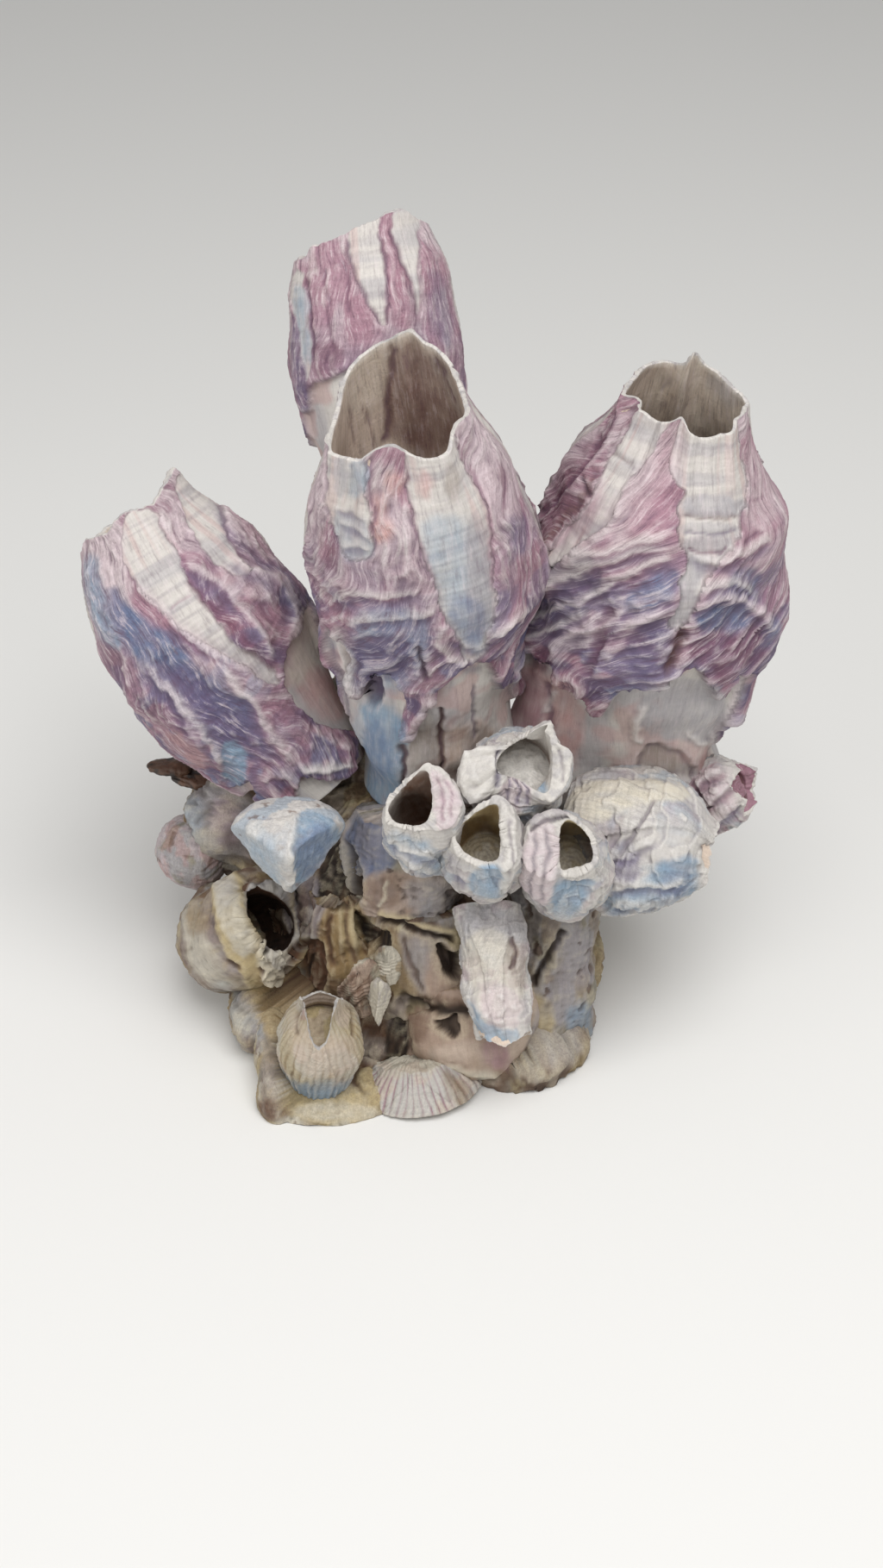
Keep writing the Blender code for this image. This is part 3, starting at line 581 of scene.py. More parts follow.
@dataclass(frozen=True)
class Finish:
    """A shell's finish: lime laid down by the animal in fine layers, matt and chalky where it is worn.

    The ground's two colours are mottled over each other. Streaks run along the shell and growth lines
    round it, both at their real spacing in mm and a number of times as long. The crests of the relief are
    worn pale and its crevices are darkened as painted shade, both broken up by the streaks and the grit.
    A shade factor below 1 darkens the whole finish as painted shade, most on the pieces that lie low.
    """

    name: str
    ground: tuple[str, str]
    crest: str = "#DCD3D3"
    crevice_shade: str = "#5C4A5E"
    crest_amount: float = 0.5
    crevice_shade_amount: float = 0.6
    mottle: float = 5.0
    streak: float = 0.55
    growth: float = 0.6
    streak_length: float = 10.0
    growth_length: float = 9.0
    contrast: float = 0.55
    fibre: tuple[str, str] = ("#DCCDD0", "#5E4256")
    fibre_amount: float = 0.0
    crumple: float = 1.6
    relief: float = 0.3
    painted_shade_tone: float = 1.0
    roughness: float = 0.78
    ior: float = 1.55
    specular: float = 0.35

    GRAIN_SIZE = 0.32
    FOLDS_LENGTH = 3.0
    SMOOTH_LEAST = 0.3
    MOTTLE_FROM, MOTTLE_TO = 0.36, 0.64
    GROWTH_LIFT, GRIT_LIFT, FOLDS_LIFT = 0.55, 0.8, 0.8
    PALE_FIBRES, DARK_FIBRES = (0.52, 0.64), (0.48, 0.36)
    BROKEN_FROM, BROKEN_TO, BROKEN_LEAST = 0.38, 0.6, 0.25
    GLOSS_SWING = 0.1
    GROWTH_RISE, GRIT_RISE, FOLDS_RISE = 0.5, 0.5, 1.4

    def material(self) -> bpy.types.Material:
        """Builds the finish as a node material that reads Object coordinates and the piece's attributes.

        Returns:
            The material. Its colour is the ground's and the tints' by their shares, made lighter and
            darker by streaks, growth lines and grit and scaled down by the painted-shade factor, then fibres,
            worn crests and crevices darkened as painted shade. The same patterns bump it.
        """
        material = bpy.data.materials.new(self.name)
        material.use_nodes = True
        tree = material.node_tree
        surface = tree.nodes["Principled BSDF"]
        surface.inputs["IOR"].default_value = self.ior
        surface.inputs["Specular IOR Level"].default_value = self.specular

        place = add(tree, "ShaderNodeTexCoord").outputs["Object"]
        grain = add(tree, "ShaderNodeAttribute", {"attribute_name": "grain"}).outputs["Vector"]
        mottle = self.pattern(tree, place, (1 / (self.mottle * MM),) * 3, 4.0, 0.6)
        streaks = self.pattern(tree, grain, self.stretched(self.streak, self.streak_length), 5.0, 0.75)
        growth_scale = (1 / (self.growth * self.growth_length),) * 2 + (1 / self.growth,)
        growth = self.pattern(tree, grain, growth_scale, 3.0, 0.6)
        grit = self.pattern(tree, place, (1 / (self.GRAIN_SIZE * MM),) * 3, 3.0, 0.7)
        folds = self.pattern(tree, grain, self.stretched(self.crumple, self.FOLDS_LENGTH), 4.0, 0.7)

        span = {"From Min": self.MOTTLE_FROM, "From Max": self.MOTTLE_TO}
        spread = add(tree, "ShaderNodeMapRange", span, {"Value": mottle})
        ground = self.blend(tree, *(linear(colour) for colour in self.ground), spread.outputs["Result"])
        bare = add(tree, "ShaderNodeAttribute", {"attribute_name": "bare"}).outputs["Fac"]
        scale = {"operation": "SCALE"}
        total = add(tree, "ShaderNodeVectorMath", scale, {0: ground, "Scale": bare}).outputs[0]
        for tint in Tint:
            share = add(tree, "ShaderNodeAttribute", {"attribute_name": tint.name.lower()}).outputs["Fac"]
            colour = linear(tint.value)[:3]
            total = add(
                tree, "ShaderNodeVectorMath", {"operation": "MULTIPLY_ADD", 0: colour}, {1: share, 2: total}
            ).outputs[0]

        smooth = add(tree, "ShaderNodeAttribute", {"attribute_name": "smooth"}).outputs["Fac"]
        span = {"To Min": 1.0, "To Max": self.SMOOTH_LEAST}
        rough = add(tree, "ShaderNodeMapRange", span, {"Value": smooth}).outputs["Result"]
        lift = self.weighted(tree, ((streaks, 1.0), (growth, self.GROWTH_LIFT), (grit, self.GRIT_LIFT)))
        centred = add(tree, "ShaderNodeMath", {"operation": "SUBTRACT", 1: 0.5}, {0: lift}).outputs[0]
        swing = add(tree, "ShaderNodeMath", {"operation": "MULTIPLY"}, {0: centred, 1: rough}).outputs[0]
        # A shade factor below 1 scales the whole colour down: painted shade.
        gain = add(
            tree,
            "ShaderNodeMath",
            {"operation": "MULTIPLY_ADD", 1: 2.0 * self.contrast * self.painted_shade_tone, 2: self.painted_shade_tone},
            {0: swing},
        ).outputs[0]
        total = add(tree, "ShaderNodeVectorMath", scale, {0: total, "Scale": gain}).outputs[0]
        if self.fibre_amount:
            both = self.weighted(tree, ((streaks, 1.0), (folds, self.FOLDS_LIFT)))
            for colour, (low, high) in zip(self.fibre, (self.PALE_FIBRES, self.DARK_FIBRES)):
                span = {"From Min": low, "From Max": high}
                much = add(tree, "ShaderNodeMapRange", span, {"Value": both}).outputs["Result"]
                product = add(tree, "ShaderNodeMath", {"operation": "MULTIPLY"}, {0: much, 1: rough})
                on_plates = product.outputs[0]
                much = add(
                    tree, "ShaderNodeMath", {"operation": "MULTIPLY", 1: self.fibre_amount}, {0: on_plates}
                ).outputs[0]
                total = self.blend(tree, total, linear(colour), much)
        # Crests are made pale as worn lime; crevices get a darker colour as painted shade.
        for name, colour, amount in (
            ("crest", self.crest, self.crest_amount),
            ("crevice_shade", self.crevice_shade, self.crevice_shade_amount),
        ):
            worn = add(tree, "ShaderNodeAttribute", {"attribute_name": name}).outputs["Fac"]
            span = {"From Min": self.BROKEN_FROM, "From Max": self.BROKEN_TO}
            span |= {"To Min": self.BROKEN_LEAST * amount, "To Max": amount}
            broken_up = add(tree, "ShaderNodeMapRange", span, {"Value": lift}).outputs["Result"]
            much = add(tree, "ShaderNodeMath", {"operation": "MULTIPLY"}, {0: worn, 1: broken_up}).outputs[0]
            total = self.blend(tree, total, linear(colour), much)
        tree.links.new(total, surface.inputs["Base Color"])

        span = {"To Min": self.roughness + self.GLOSS_SWING, "To Max": self.roughness - self.GLOSS_SWING}
        gloss = add(tree, "ShaderNodeMapRange", span, {"Value": streaks})
        tree.links.new(gloss.outputs["Result"], surface.inputs["Roughness"])
        rises = ((streaks, 1.0), (growth, self.GROWTH_RISE), (grit, self.GRIT_RISE), (folds, self.FOLDS_RISE))
        height = self.weighted(tree, rises)
        links = {"Height": height, "Strength": rough}
        bump = add(tree, "ShaderNodeBump", {"Distance": self.relief * MM}, links)
        tree.links.new(bump.outputs["Normal"], surface.inputs["Normal"])
        return material

    @staticmethod
    def stretched(size: float, times: float) -> tuple[float, float, float]:
        """The scale of a pattern with lumps of one size, many times longer along the shell."""
        return (1 / size, 1 / size, 1 / (size * times))

    @staticmethod
    def pattern(
        tree: bpy.types.NodeTree,
        vector: bpy.types.NodeSocket,
        scale: tuple[float, float, float],
        detail: float,
        roughness: float,
    ) -> bpy.types.NodeSocket:
        """Noise read from scaled coordinates."""
        mapped = add(tree, "ShaderNodeMapping", {"Scale": scale}, {"Vector": vector}).outputs["Vector"]
        settings = {"Scale": 1.0, "Detail": detail, "Roughness": roughness}
        return add(tree, "ShaderNodeTexNoise", settings, {"Vector": mapped}).outputs["Fac"]

    @staticmethod
    def weighted(
        tree: bpy.types.NodeTree, parts: tuple[tuple[bpy.types.NodeSocket, float], ...]
    ) -> bpy.types.NodeSocket:
        """The mean of some values, each with its weight."""
        whole = sum(weight for _, weight in parts)
        total = None
        for socket, weight in parts:
            settings = {"operation": "MULTIPLY_ADD", 1: weight / whole, 2: 0.0}
            links = {0: socket} if total is None else {0: socket, 2: total}
            total = add(tree, "ShaderNodeMath", settings, links).outputs[0]
        return total

    @staticmethod
    def blend(
        tree: bpy.types.NodeTree,
        first: bpy.types.NodeSocket | tuple[float, ...],
        second: bpy.types.NodeSocket | tuple[float, ...],
        share: bpy.types.NodeSocket,
    ) -> bpy.types.NodeSocket:
        """Mixes two colours, each a socket or a constant, by a share."""
        node = tree.nodes.new("ShaderNodeMix")
        node.data_type = "RGBA"
        for number, value in ((6, first), (7, second), (0, share)):
            if isinstance(value, bpy.types.NodeSocket):
                tree.links.new(value, node.inputs[number])
            else:
                node.inputs[number].default_value = value
        return node.outputs[2]


@dataclass
class Layer:
    """Some rows of a piece's grid: its points in mm and what its finish reads at each."""

    points: Array
    grain: Array
    height: Array
    smooth: Array
    shares: dict[Tint, Array]


RELIEF_REACH = 14
RELIEF_STEP = 0.30


def layer_of(skin: Skin, smooth: Array) -> Layer:
    """A layer from a finished skin."""
    flow = skin.grain if skin.flow is None else skin.flow
    return Layer(skin.raised(), flow, skin.height, smooth, skin.shares)


def with_ends(grid: Array) -> Array:
    """A grid's values in one list, between the means of its first row and of its last row."""
    values = grid.reshape(-1, *grid.shape[2:])
    return np.concatenate((grid[:1].mean(axis=1), values, grid[-1:].mean(axis=1)))


def shell_mesh(name: str, layers: list[Layer]) -> bpy.types.Mesh:
    """Joins layers of rows into one closed mesh, with a point in the middle of its first and last row.

    Args:
        name: The mesh's name.
        layers: Layers of equally long rows, in order from the foot outside to the floor inside.

    Returns:
        The mesh, in metres, with an attribute for each thing that the finish reads.
    """
    values: dict[str, Array] = {}
    # Crests are where the finish makes worn lime pale; crevices are where it paints shade.
    crest, crevice_shade = [], []
    for layer in layers:
        over = layer.height - soften(layer.height, RELIEF_REACH)
        crest.append(ease(over / RELIEF_STEP))
        crevice_shade.append(ease(-over / RELIEF_STEP))
    values["crest"] = np.concatenate(crest)
    values["crevice_shade"] = np.concatenate(crevice_shade)
    values["smooth"] = np.concatenate([layer.smooth for layer in layers])
    used = [tint for tint in Tint if any(tint in layer.shares for layer in layers)]
    for tint in used:
        rows = [layer.shares.get(tint, np.zeros(layer.height.shape)) for layer in layers]
        values[tint.name.lower()] = np.concatenate(rows)
    values["bare"] = np.clip(1.0 - sum(values[tint.name.lower()] for tint in used), 0.0, 1.0)
    low, high = (np.array(corner) / MM for corner in SOLID_BOX)
    points = np.clip(np.concatenate([layer.points for layer in layers]), low, high)
    grain = np.concatenate([layer.grain for layer in layers])

    rows, columns = points.shape[:2]
    low = 1 + np.arange(rows - 1)[:, None] * columns + np.arange(columns)
    after = 1 + np.arange(rows - 1)[:, None] * columns + (np.arange(columns) + 1) % columns
    quads = np.stack((low, after, after + columns, low + columns), axis=-1).reshape(-1, 4)
    last = 1 + rows * columns
    fan = np.arange(columns)
    turned = (fan + 1) % columns
    foot = np.stack((np.zeros(columns, int), 1 + turned, 1 + fan), axis=-1)
    top = 1 + (rows - 1) * columns
    tip = np.stack((np.full(columns, last), top + fan, top + turned), axis=-1)
    mesh = bpy.data.meshes.new(name)
    mesh.from_pydata(with_ends(points) * MM, [], quads.tolist() + foot.tolist() + tip.tolist())
    for key, grid in values.items():
        attribute = mesh.attributes.new(key, "FLOAT", "POINT")
        attribute.data.foreach_set("value", with_ends(grid).astype(np.float32))
    attribute = mesh.attributes.new("grain", "FLOAT_VECTOR", "POINT")
    attribute.data.foreach_set("vector", with_ends(grain).astype(np.float32).ravel())
    mesh.shade_smooth()
    return mesh


def add_piece(
    name: str, mesh: bpy.types.Mesh, material: bpy.types.Material, node: str
) -> bpy.types.Object:
    """Makes a piece from its mesh, lets it ride on the cluster's one body and stand for its solid.

    Args:
        name: The piece's name.
        mesh: Its mesh, in place.
        material: Its finish.
        node: The solid that it replaces.

    Returns:
        The new object.
    """
    piece = bpy.data.objects.new(name, mesh)
    bpy.context.scene.collection.objects.link(piece)
    mesh.materials.append(material)
    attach(piece, "root")
    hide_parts(node)
    log.info("%s: %d faces", name, len(mesh.polygons))
    return piece


@dataclass(kw_only=True)
class Barnacle:
    """One barnacle's shell, a wall of plates round a bowed spine. Lengths are in mm.

    Angle 0 faces the front and 90 degrees its right. The share along the spine is 0 at the foot and 1 at
    the middle of the lip.
    """

    name: str
    node: str
    foot: tuple[float, float, float]
    lip: tuple[float, float, float]
    bow: tuple[float, float, float] = (0.0, 0.0, 0.0)
    radii: Knots
    rim: Knots = ((0, 0),)
    plates: tuple[tuple[float, float, float], ...] = ()
    skirt: Knots = ((0, 0),)
    mantle: float = 0.0
    bumps: tuple[tuple[float, float, float, float, float], ...] = ()
    wall: float = 1.6
    hollow_from: float = 0.35
    lumpiness: float = 0.5
    lump_size: float = 9.0
    seed: int = 1
    columns: int = 320
    rows: int = 230
    hollow_rows: int = 46
    first: float = 0.0
    keel: tuple[float, float, float] = (175.0, 12.0, 0.0)
    ledge_height: float = 0.18
    ledge_gap: float = 4.2
    fibre_height: float = 0.12
    fibre_slope: float = 0.3
    fold_height: float = 1.2
    fold_size: float = 6.5
    mantle_outline: Line = ()
    strips: tuple[Line, ...] = ()
    outside: tuple[Mark, ...] = ()
    within: tuple[Mark, ...] = ()
    inner_tint: Tint = Tint.SAND
    open_top: bool = True
    cap_rise: float = 1.0
    floor_tint: Tint = Tint.UMBER
    ring_stain: float = 0.3
    mouth: Line = ()
    opening: Line = ()
    mouth_from: float = 0.8
    edge_rows: int = 5
    edge_tint: Tint = Tint.LIME
    edge_rough: float = 0.4

    BORDER = 8.0
    SKIRT_EDGE = 0.5
    THIN_FROM = 0.78
    THINNED_BY = 0.75
    STRIP_MANTLE, STRIP_SUNK, SUNK_UNDER = 0.8, 0.45, 0.7
    EDGE_WALL = 0.45
    CAP_ROWS = 16
    REACH = 10.0
    OPENING_FADE = 0.6
    CHIP_RING = 9.0
    COARSE_CHIPS, FINE_CHIPS = (0.22, 1.6), (0.16, 0.7)
    WALL_LOW_DOWN, LEAST_RADIUS = 1.65, 1.2
    ARCH_SHARE, ARCH_MOST = 0.22, 0.5
    RIDGE_GAP, BAND_GAP = 0.95, 2.3
    SEAM_WIDTH, SEAM_DEPTH = 0.35, 0.5
    RING_GAP, LEVEL_GAP = 0.9, 1.1
    FOLDS = ((0.42, 1.0, 15), (0.4, 0.45, 17), (0.45, 0.22, 23))
    RAGGED = ((3.0, 7.0, 0.3), (1.2, 2.4, 1.0))

    def ways(self) -> Array:
        """The angles of the grid's columns, in degrees."""
        return np.linspace(-180, 180, self.columns, endpoint=False)

    def spine(self, t: Array) -> tuple[Array, Array]:
        """The spine's points and direction at shares t: a quadratic curve, straight on past the lip."""
        foot, lip = np.array(self.foot), np.array(self.lip)
        middle = (foot + lip) / 2 + 2 * np.array(self.bow)
        inside = np.minimum(t, 1.0)[..., None]
        along = 2 * (1 - inside) * (middle - foot) + 2 * inside * (lip - middle)
        point = (1 - inside) ** 2 * foot + 2 * inside * (1 - inside) * middle + inside**2 * lip
        return point + (t[..., None] - inside) * along, unit(along)

    def length(self) -> float:
        """The straight length from foot to lip."""
        return float(np.linalg.norm(np.subtract(self.lip, self.foot)))

    def mean_radius(self) -> float:
        """The middle of the core's radii."""
        return float(np.mean([radius for _, radius in self.radii]))

    def plate_cover(self, t: Array, degrees: Array) -> Array:
        """1 on the coloured plates, which narrow towards the lip, and 0 on the white strips between them."""
        cover = np.zeros(np.broadcast(t, degrees).shape)
        for middle, at_lip, at_foot in self.plates:
            half = at_foot + (at_lip - at_foot) * ease(t)
            cover = np.maximum(cover, ease((half - abs(turn_between(degrees, middle))) / self.BORDER + 0.5))
        return cover

    def place(self, t: Array, degrees: Array, radius: Array) -> Array:
        """Points at a radius round the spine, measured square to its direction."""
        point, along = self.spine(t)
        front = np.array((0.0, -1.0, 0.0))
        forward = unit(front - (along @ front)[..., None] * along)
        right = np.cross(along, forward)
        turn = np.radians(degrees)
        ahead, aside = radius * np.cos(turn), radius * np.sin(turn)
        return point + ahead[..., None] * forward + aside[..., None] * right

    def grain(self, t: Array, degrees: Array) -> Array:
        """Coordinates that go round with the wall and along with the spine, in mm."""
        turn, radius = np.radians(degrees + 0 * t), self.mean_radius()
        return np.stack((radius * np.cos(turn), radius * np.sin(turn), t * self.length() + 0 * turn), axis=-1)

    def rim_share(self, degrees: Array) -> Array:
        """The share at which the wall ends: the rim's rise and a fine chipped edge."""
        turn = np.radians(degrees)
        ring = self.CHIP_RING * np.stack((np.cos(turn), np.sin(turn), 0 * turn), axis=-1)
        sizes = (self.COARSE_CHIPS, self.FINE_CHIPS)
        chips = sum(deep * noise(ring, size, self.seed + 5 + i) for i, (deep, size) in enumerate(sizes))
        return 1.0 + (around(self.rim, degrees) + chips) / self.length()

    def reach_of(self, outline: Line, top: Array, degrees: Array, otherwise: Array) -> Array:
        """How far from the spine each way round its rim meets an outline in the photograph.

        Args:
            outline: A closed outline in pixels, round the rim's middle.
            top: The rim's share along the spine in each way.
            degrees: The ways.
            otherwise: The radius that holds where a way misses the outline.

        Returns:
            Radii in mm, evened out a little.
        """
        line = rounded(outline, closed=True)
        near = VIEW.pixels(self.place(top, degrees, 0 * degrees))[0]
        step = VIEW.pixels(self.place(top, degrees, 0 * degrees + self.REACH))[0] - near
        best = np.full(len(degrees), np.inf)
        for start, stop in zip(line, np.roll(line, -1, axis=0)):
            run, off = stop - start, start - near
            across = step[:, 0] * run[1] - step[:, 1] * run[0]
            across = np.where(abs(across) < LEAST_RUN, LEAST_RUN, across)
            along = (off[:, 0] * run[1] - off[:, 1] * run[0]) / across
            share = (off[:, 0] * step[:, 1] - off[:, 1] * step[:, 0]) / across
            hit = (share >= 0) & (share <= 1) & (along > 0)
            best = np.where(hit, np.minimum(best, along), best)
        radius = np.where(np.isfinite(best), best * self.REACH, otherwise)
        for _ in range(2):
            radius = (np.roll(radius, 1) + 2 * radius + np.roll(radius, -1)) / 4
        return radius

    def outer(self) -> tuple[Skin, Array]:
        """The outside of the wall, with its plates, strips, mantle and marks, and where it is smooth."""
        degrees = self.ways()
        top = self.rim_share(degrees)
        share = (self.first + (1 - self.first) * np.linspace(0.0, 1.0, self.rows))[:, None]
        t = share * (1.0 + (top - 1.0) * share**3)
        grain = self.grain(t, degrees)
        core = curve_through(self.radii, t)
        for angle, at, half_angle, half_share, height in self.bumps:
            far = (turn_between(degrees, angle) / half_angle) ** 2 + ((t - at) / half_share) ** 2
            core = core + height * np.exp(-far)
        thinned = 1.0 - self.THINNED_BY * ease((t - self.THIN_FROM) / (1.0 - self.THIN_FROM))
        mantle = self.mantle * thinned
        guide = Skin(self.place(t, degrees + 0 * t, core + self.STRIP_MANTLE * mantle), grain, self.seed)
        cover, above = self.regions(guide, t, degrees)
        strip_mantle = self.STRIP_MANTLE - self.STRIP_SUNK * ease((self.SUNK_UNDER - t) / 0.25)
        radius = core + mantle * above * (strip_mantle + (1 - strip_mantle) * cover)
        if self.mouth:
            rim = self.reach_of(self.mouth, top, degrees, radius[-1]) + self.EDGE_WALL * self.wall / 2
            radius = radius + (rim - radius[-1]) * ease((t - self.mouth_from) / (top - self.mouth_from))
        points = self.place(t, degrees + 0 * t, radius)
        lumps = self.lumpiness * noise(points, self.lump_size, self.seed)
        if self.mouth:
            lumps = lumps * (1.0 - ease((t - self.mouth_from) / (top - self.mouth_from)))
        points = points + lumps[..., None] * unit(points - self.spine(t)[0])
        skin = Skin(points, grain, self.seed)
        skin.front = guide.front
        plate = cover * above
        flow = self.flow(grain)
        skin.flow = np.where(plate[..., None] > 0.5, flow, grain)
        self.dress_plates(skin, t, plate, above)
        self.dress_core(skin, t, 1.0 - above, degrees)
        self.dress_strips(skin, t, (1.0 - cover) * above)
        lay_all(skin, self.outside)
        smooth = np.maximum(1.0 - above, (1.0 - cover) * 0.8)
        return skin, smooth

    def regions(self, guide: Skin, t: Array, degrees: Array) -> tuple[Array, Array]:
        """Where the plates and the mantle are: by their outlines on the front, and by formulas elsewhere.

        Away from the front the mantle's lower border is made ragged by noise.

        Args:
            guide: The even wall that they lie on.
            t: Shares along the spine.
            degrees: Angles round it.

        Returns:
            1 on the plates and 0 on the strips, and 1 on the mantle and 0 on the bare core.
        """
        grain = guide.grain
        cover = self.sharpened(self.plate_cover(t, degrees), grain, 0.0)
        ragged = sum(
            deep * noise(grain * (1, 1, shrink), size, self.seed + 6 + i)
            for i, (deep, size, shrink) in enumerate(self.RAGGED)
        )
        skirt = (t - around(self.skirt, degrees)) * self.length() + (1 - guide.front) * ragged
        above = ease(skirt / self.SKIRT_EDGE + 0.5 + noise(grain, 3.0, 8))
        if self.strips:
            inside = np.max([guide.inside(strip) for strip in self.strips], axis=0)
            cover = cover * (1 - guide.front) + guide.front * (1.0 - ease(inside / 0.5 + 0.5))
        if self.mantle_outline:
            inside = guide.inside(self.mantle_outline)
            above = above * (1 - guide.front) + guide.front * ease(inside / self.SKIRT_EDGE + 0.5)
        return cover, above

    def flow(self, grain: Array) -> Array:
        """The grain wound into helices and bent by noise, along which the plates' fibres run."""
        turn, radius = np.arctan2(grain[..., 1], grain[..., 0]), self.mean_radius()
        bend = 0.30 * noise(grain, 17.0, self.seed + 9) + 0.10 * noise(grain, 6.0, self.seed + 10)
        turn = turn + bend - self.fibre_slope * grain[..., 2] / radius
        return np.stack((radius * np.cos(turn), radius * np.sin(turn), grain[..., 2]), axis=-1)

    def sharpened(self, cover: Array, grain: Array, shift: float) -> Array:
        """Plate borders made narrow and ragged."""
        ragged = 0.35 * noise(grain * (1, 1, 0.6), 2.4, self.seed + 2)
        return ease((cover - 0.5 + shift + ragged) / 0.22 + 0.5)

    def dress_plates(self, skin: Skin, t: Array, plate: Array, above: Array) -> None:
        """Fibres and folds that run along the flow, with the folds' crests pale and, on the lower wall, violet
        in their valleys and patches of blue: painted shade and painted blue reflection.

        A fold's crest is where a noise, stretched along the flow, passes through zero. Large, small and
        fine folds lie over each other.

        Args:
            skin: The wall's outside.
            t: Shares along the spine.
            plate: 1 on the plates.
            above: 1 on the mantle, which the plates and the strips are parts of.
        """
        grain, flow, seed = skin.grain, skin.flow, self.seed
        low = 1.0 - ease((t - 0.4) / 0.5)
        patchy = 0.15 + 0.85 * ease((noise(grain * (1.0, 1.0, 0.7), 9.0, seed + 28) + 0.25) / 0.5)
        fold, small, fine = (
            1.0 - abs(noise(flow * (1.0, 1.0, shrink), share * self.fold_size, seed + number))
            for shrink, share, number in self.FOLDS
        )
        fibres = noise(flow * (1.0, 1.0, 0.12), 1.1, seed + 11)
        fibres = fibres + 0.7 * noise(flow * (1.0, 1.0, 0.15), 0.6, seed + 12)
        bend = 1.6 * noise(grain, 9.0, seed + 13) + 0.5 * noise(grain, 2.6, seed + 14)
        rise = grain[..., 2] / self.ledge_gap
        ledges = terraces(-(rise + bend), 1.0, 0.12) + rise + bend
        skin.height += plate * self.fold_height * (0.3 + 0.7 * low) * (0.5 + 0.5 * patchy) * (fold**4 - 0.35)
        skin.height += plate * self.fold_height * patchy * (0.4 * (small**4 - 0.35) + 0.28 * (fine**3 - 0.4))
        skin.height += plate * 0.16 * patchy * layered(grain, 1.7, seed + 29)
        skin.height += plate * self.ledge_height * (0.3 + 0.7 * low) * (ledges + 0.5)
        skin.height += plate * self.fibre_height * fibres
        skin.height += above * 0.05 * noise(grain, 0.8, seed + 16)
        skin.paint(Tint.BLUSH, plate * 0.7 * ease((t - 0.58) / 0.34))
        skin.paint(Tint.PLUM, plate * 0.3 * low)
        patches = layered(flow * (1.0, 1.0, 0.4), 7.0, seed + 18)
        skin.paint(Tint.ROSE, plate * 0.85 * ease((patches + 0.15) / 0.45))
        patches = layered(flow * (1.0, 1.0, 0.35), 6.0, seed + 19)
        skin.paint(Tint.PLUM, plate * 0.55 * ease((patches - 0.1) / 0.35) * ease((0.75 - fold) / 0.3))
        # Violet in the valleys low down and blue on the lower wall: painted shade and painted blue reflection.
        patches = layered(grain * (1.0, 1.0, 1.3), 9.0, seed + 21)
        valleys = ease((0.95 - fold) / 0.4)
        skin.paint(Tint.VIOLET, plate * 0.85 * low * ease((patches + 0.25) / 0.35) * valleys)
        patches = layered(grain, 6.0, seed + 22)
        skin.paint(Tint.BLUE, plate * 0.6 * low * ease((patches - 0.15) / 0.3))
        skin.paint(Tint.BLUSH, plate * 0.3 * ease((fold - 0.9) / 0.08) * ease((fibres + 0.3) / 0.6))
        skin.paint(Tint.LIME, plate * 0.3 * patchy * ease((small - 0.92) / 0.08) * ease((fibres + 0.1) / 0.5))
        skin.paint(Tint.LIME, plate * 0.25 * ease((fibres - 0.4) / 0.4))

    def dress_strips(self, skin: Skin, t: Array, strip: Array) -> None:
        """Smooth white strips with fine level growth ridges, a little bluer and greyer further down as painted
        shade.
        """
        grain, seed = skin.grain, self.seed
        level = grain[..., 2] + 0.5 * noise(grain, 7.0, seed + 21)
        bands = np.sin(level * 2 * math.pi / self.BAND_GAP)
        ridges = np.sin(level * 2 * math.pi / self.RIDGE_GAP) + 0.7 * bands
        skin.height += strip * 0.03 * ridges
        skin.paint(Tint.LIME, strip * 0.95)
        bands = noise(grain * (0.1, 0.1, 1.0), 2.2, seed + 22)
        # Pearl grey in bands, and more of it further down as painted shade.
        skin.paint(Tint.PEARL, strip * (0.55 * ease((bands - 0.05) / 0.5) + 0.3 * ease((0.62 - t) / 0.25)))
        lines = noise(grain * (1.0, 1.0, 0.05), 1.4, seed + 23)
        skin.paint(Tint.SALMON, strip * 0.35 * ease((lines - 0.15) / 0.4))
        lines = noise(grain * (0.06, 0.06, 1.0), 0.8, seed + 24)
        skin.paint(Tint.STONE, strip * 0.35 * ease((lines - 0.1) / 0.4))

    def dress_core(self, skin: Skin, t: Array, core: Array, degrees: Array) -> None:
        """The smooth wall under the mantle, grey and pinkish, with a seam between each two plates."""
        grain, seed = skin.grain, self.seed
        skin.paint(Tint.LIME, core)
        skin.paint(Tint.PEARL, core * 0.7 * ease((layered(grain * (1, 1, 0.35), 6.0, seed + 24) + 0.2) / 0.5))
        skin.paint(Tint.SALMON, core * 0.5 * ease(layered(grain, 8.0, seed + 25) / 0.5))
        for middle, _, at_foot in self.plates:
            gap = turn_between(degrees, middle + at_foot) * math.radians(1.0) * curve_through(self.radii, t)
            gap = gap + 0.6 * noise(grain, 4.0, seed + 26)
            seam = np.exp(-((gap / self.SEAM_WIDTH) ** 2)) * core * (1.0 - skin.front)
            skin.height -= self.SEAM_DEPTH * seam
            skin.paint(Tint.UMBER, 0.5 * seam)
        skin.height += core * 0.05 * noise(grain, 0.9, seed + 27)

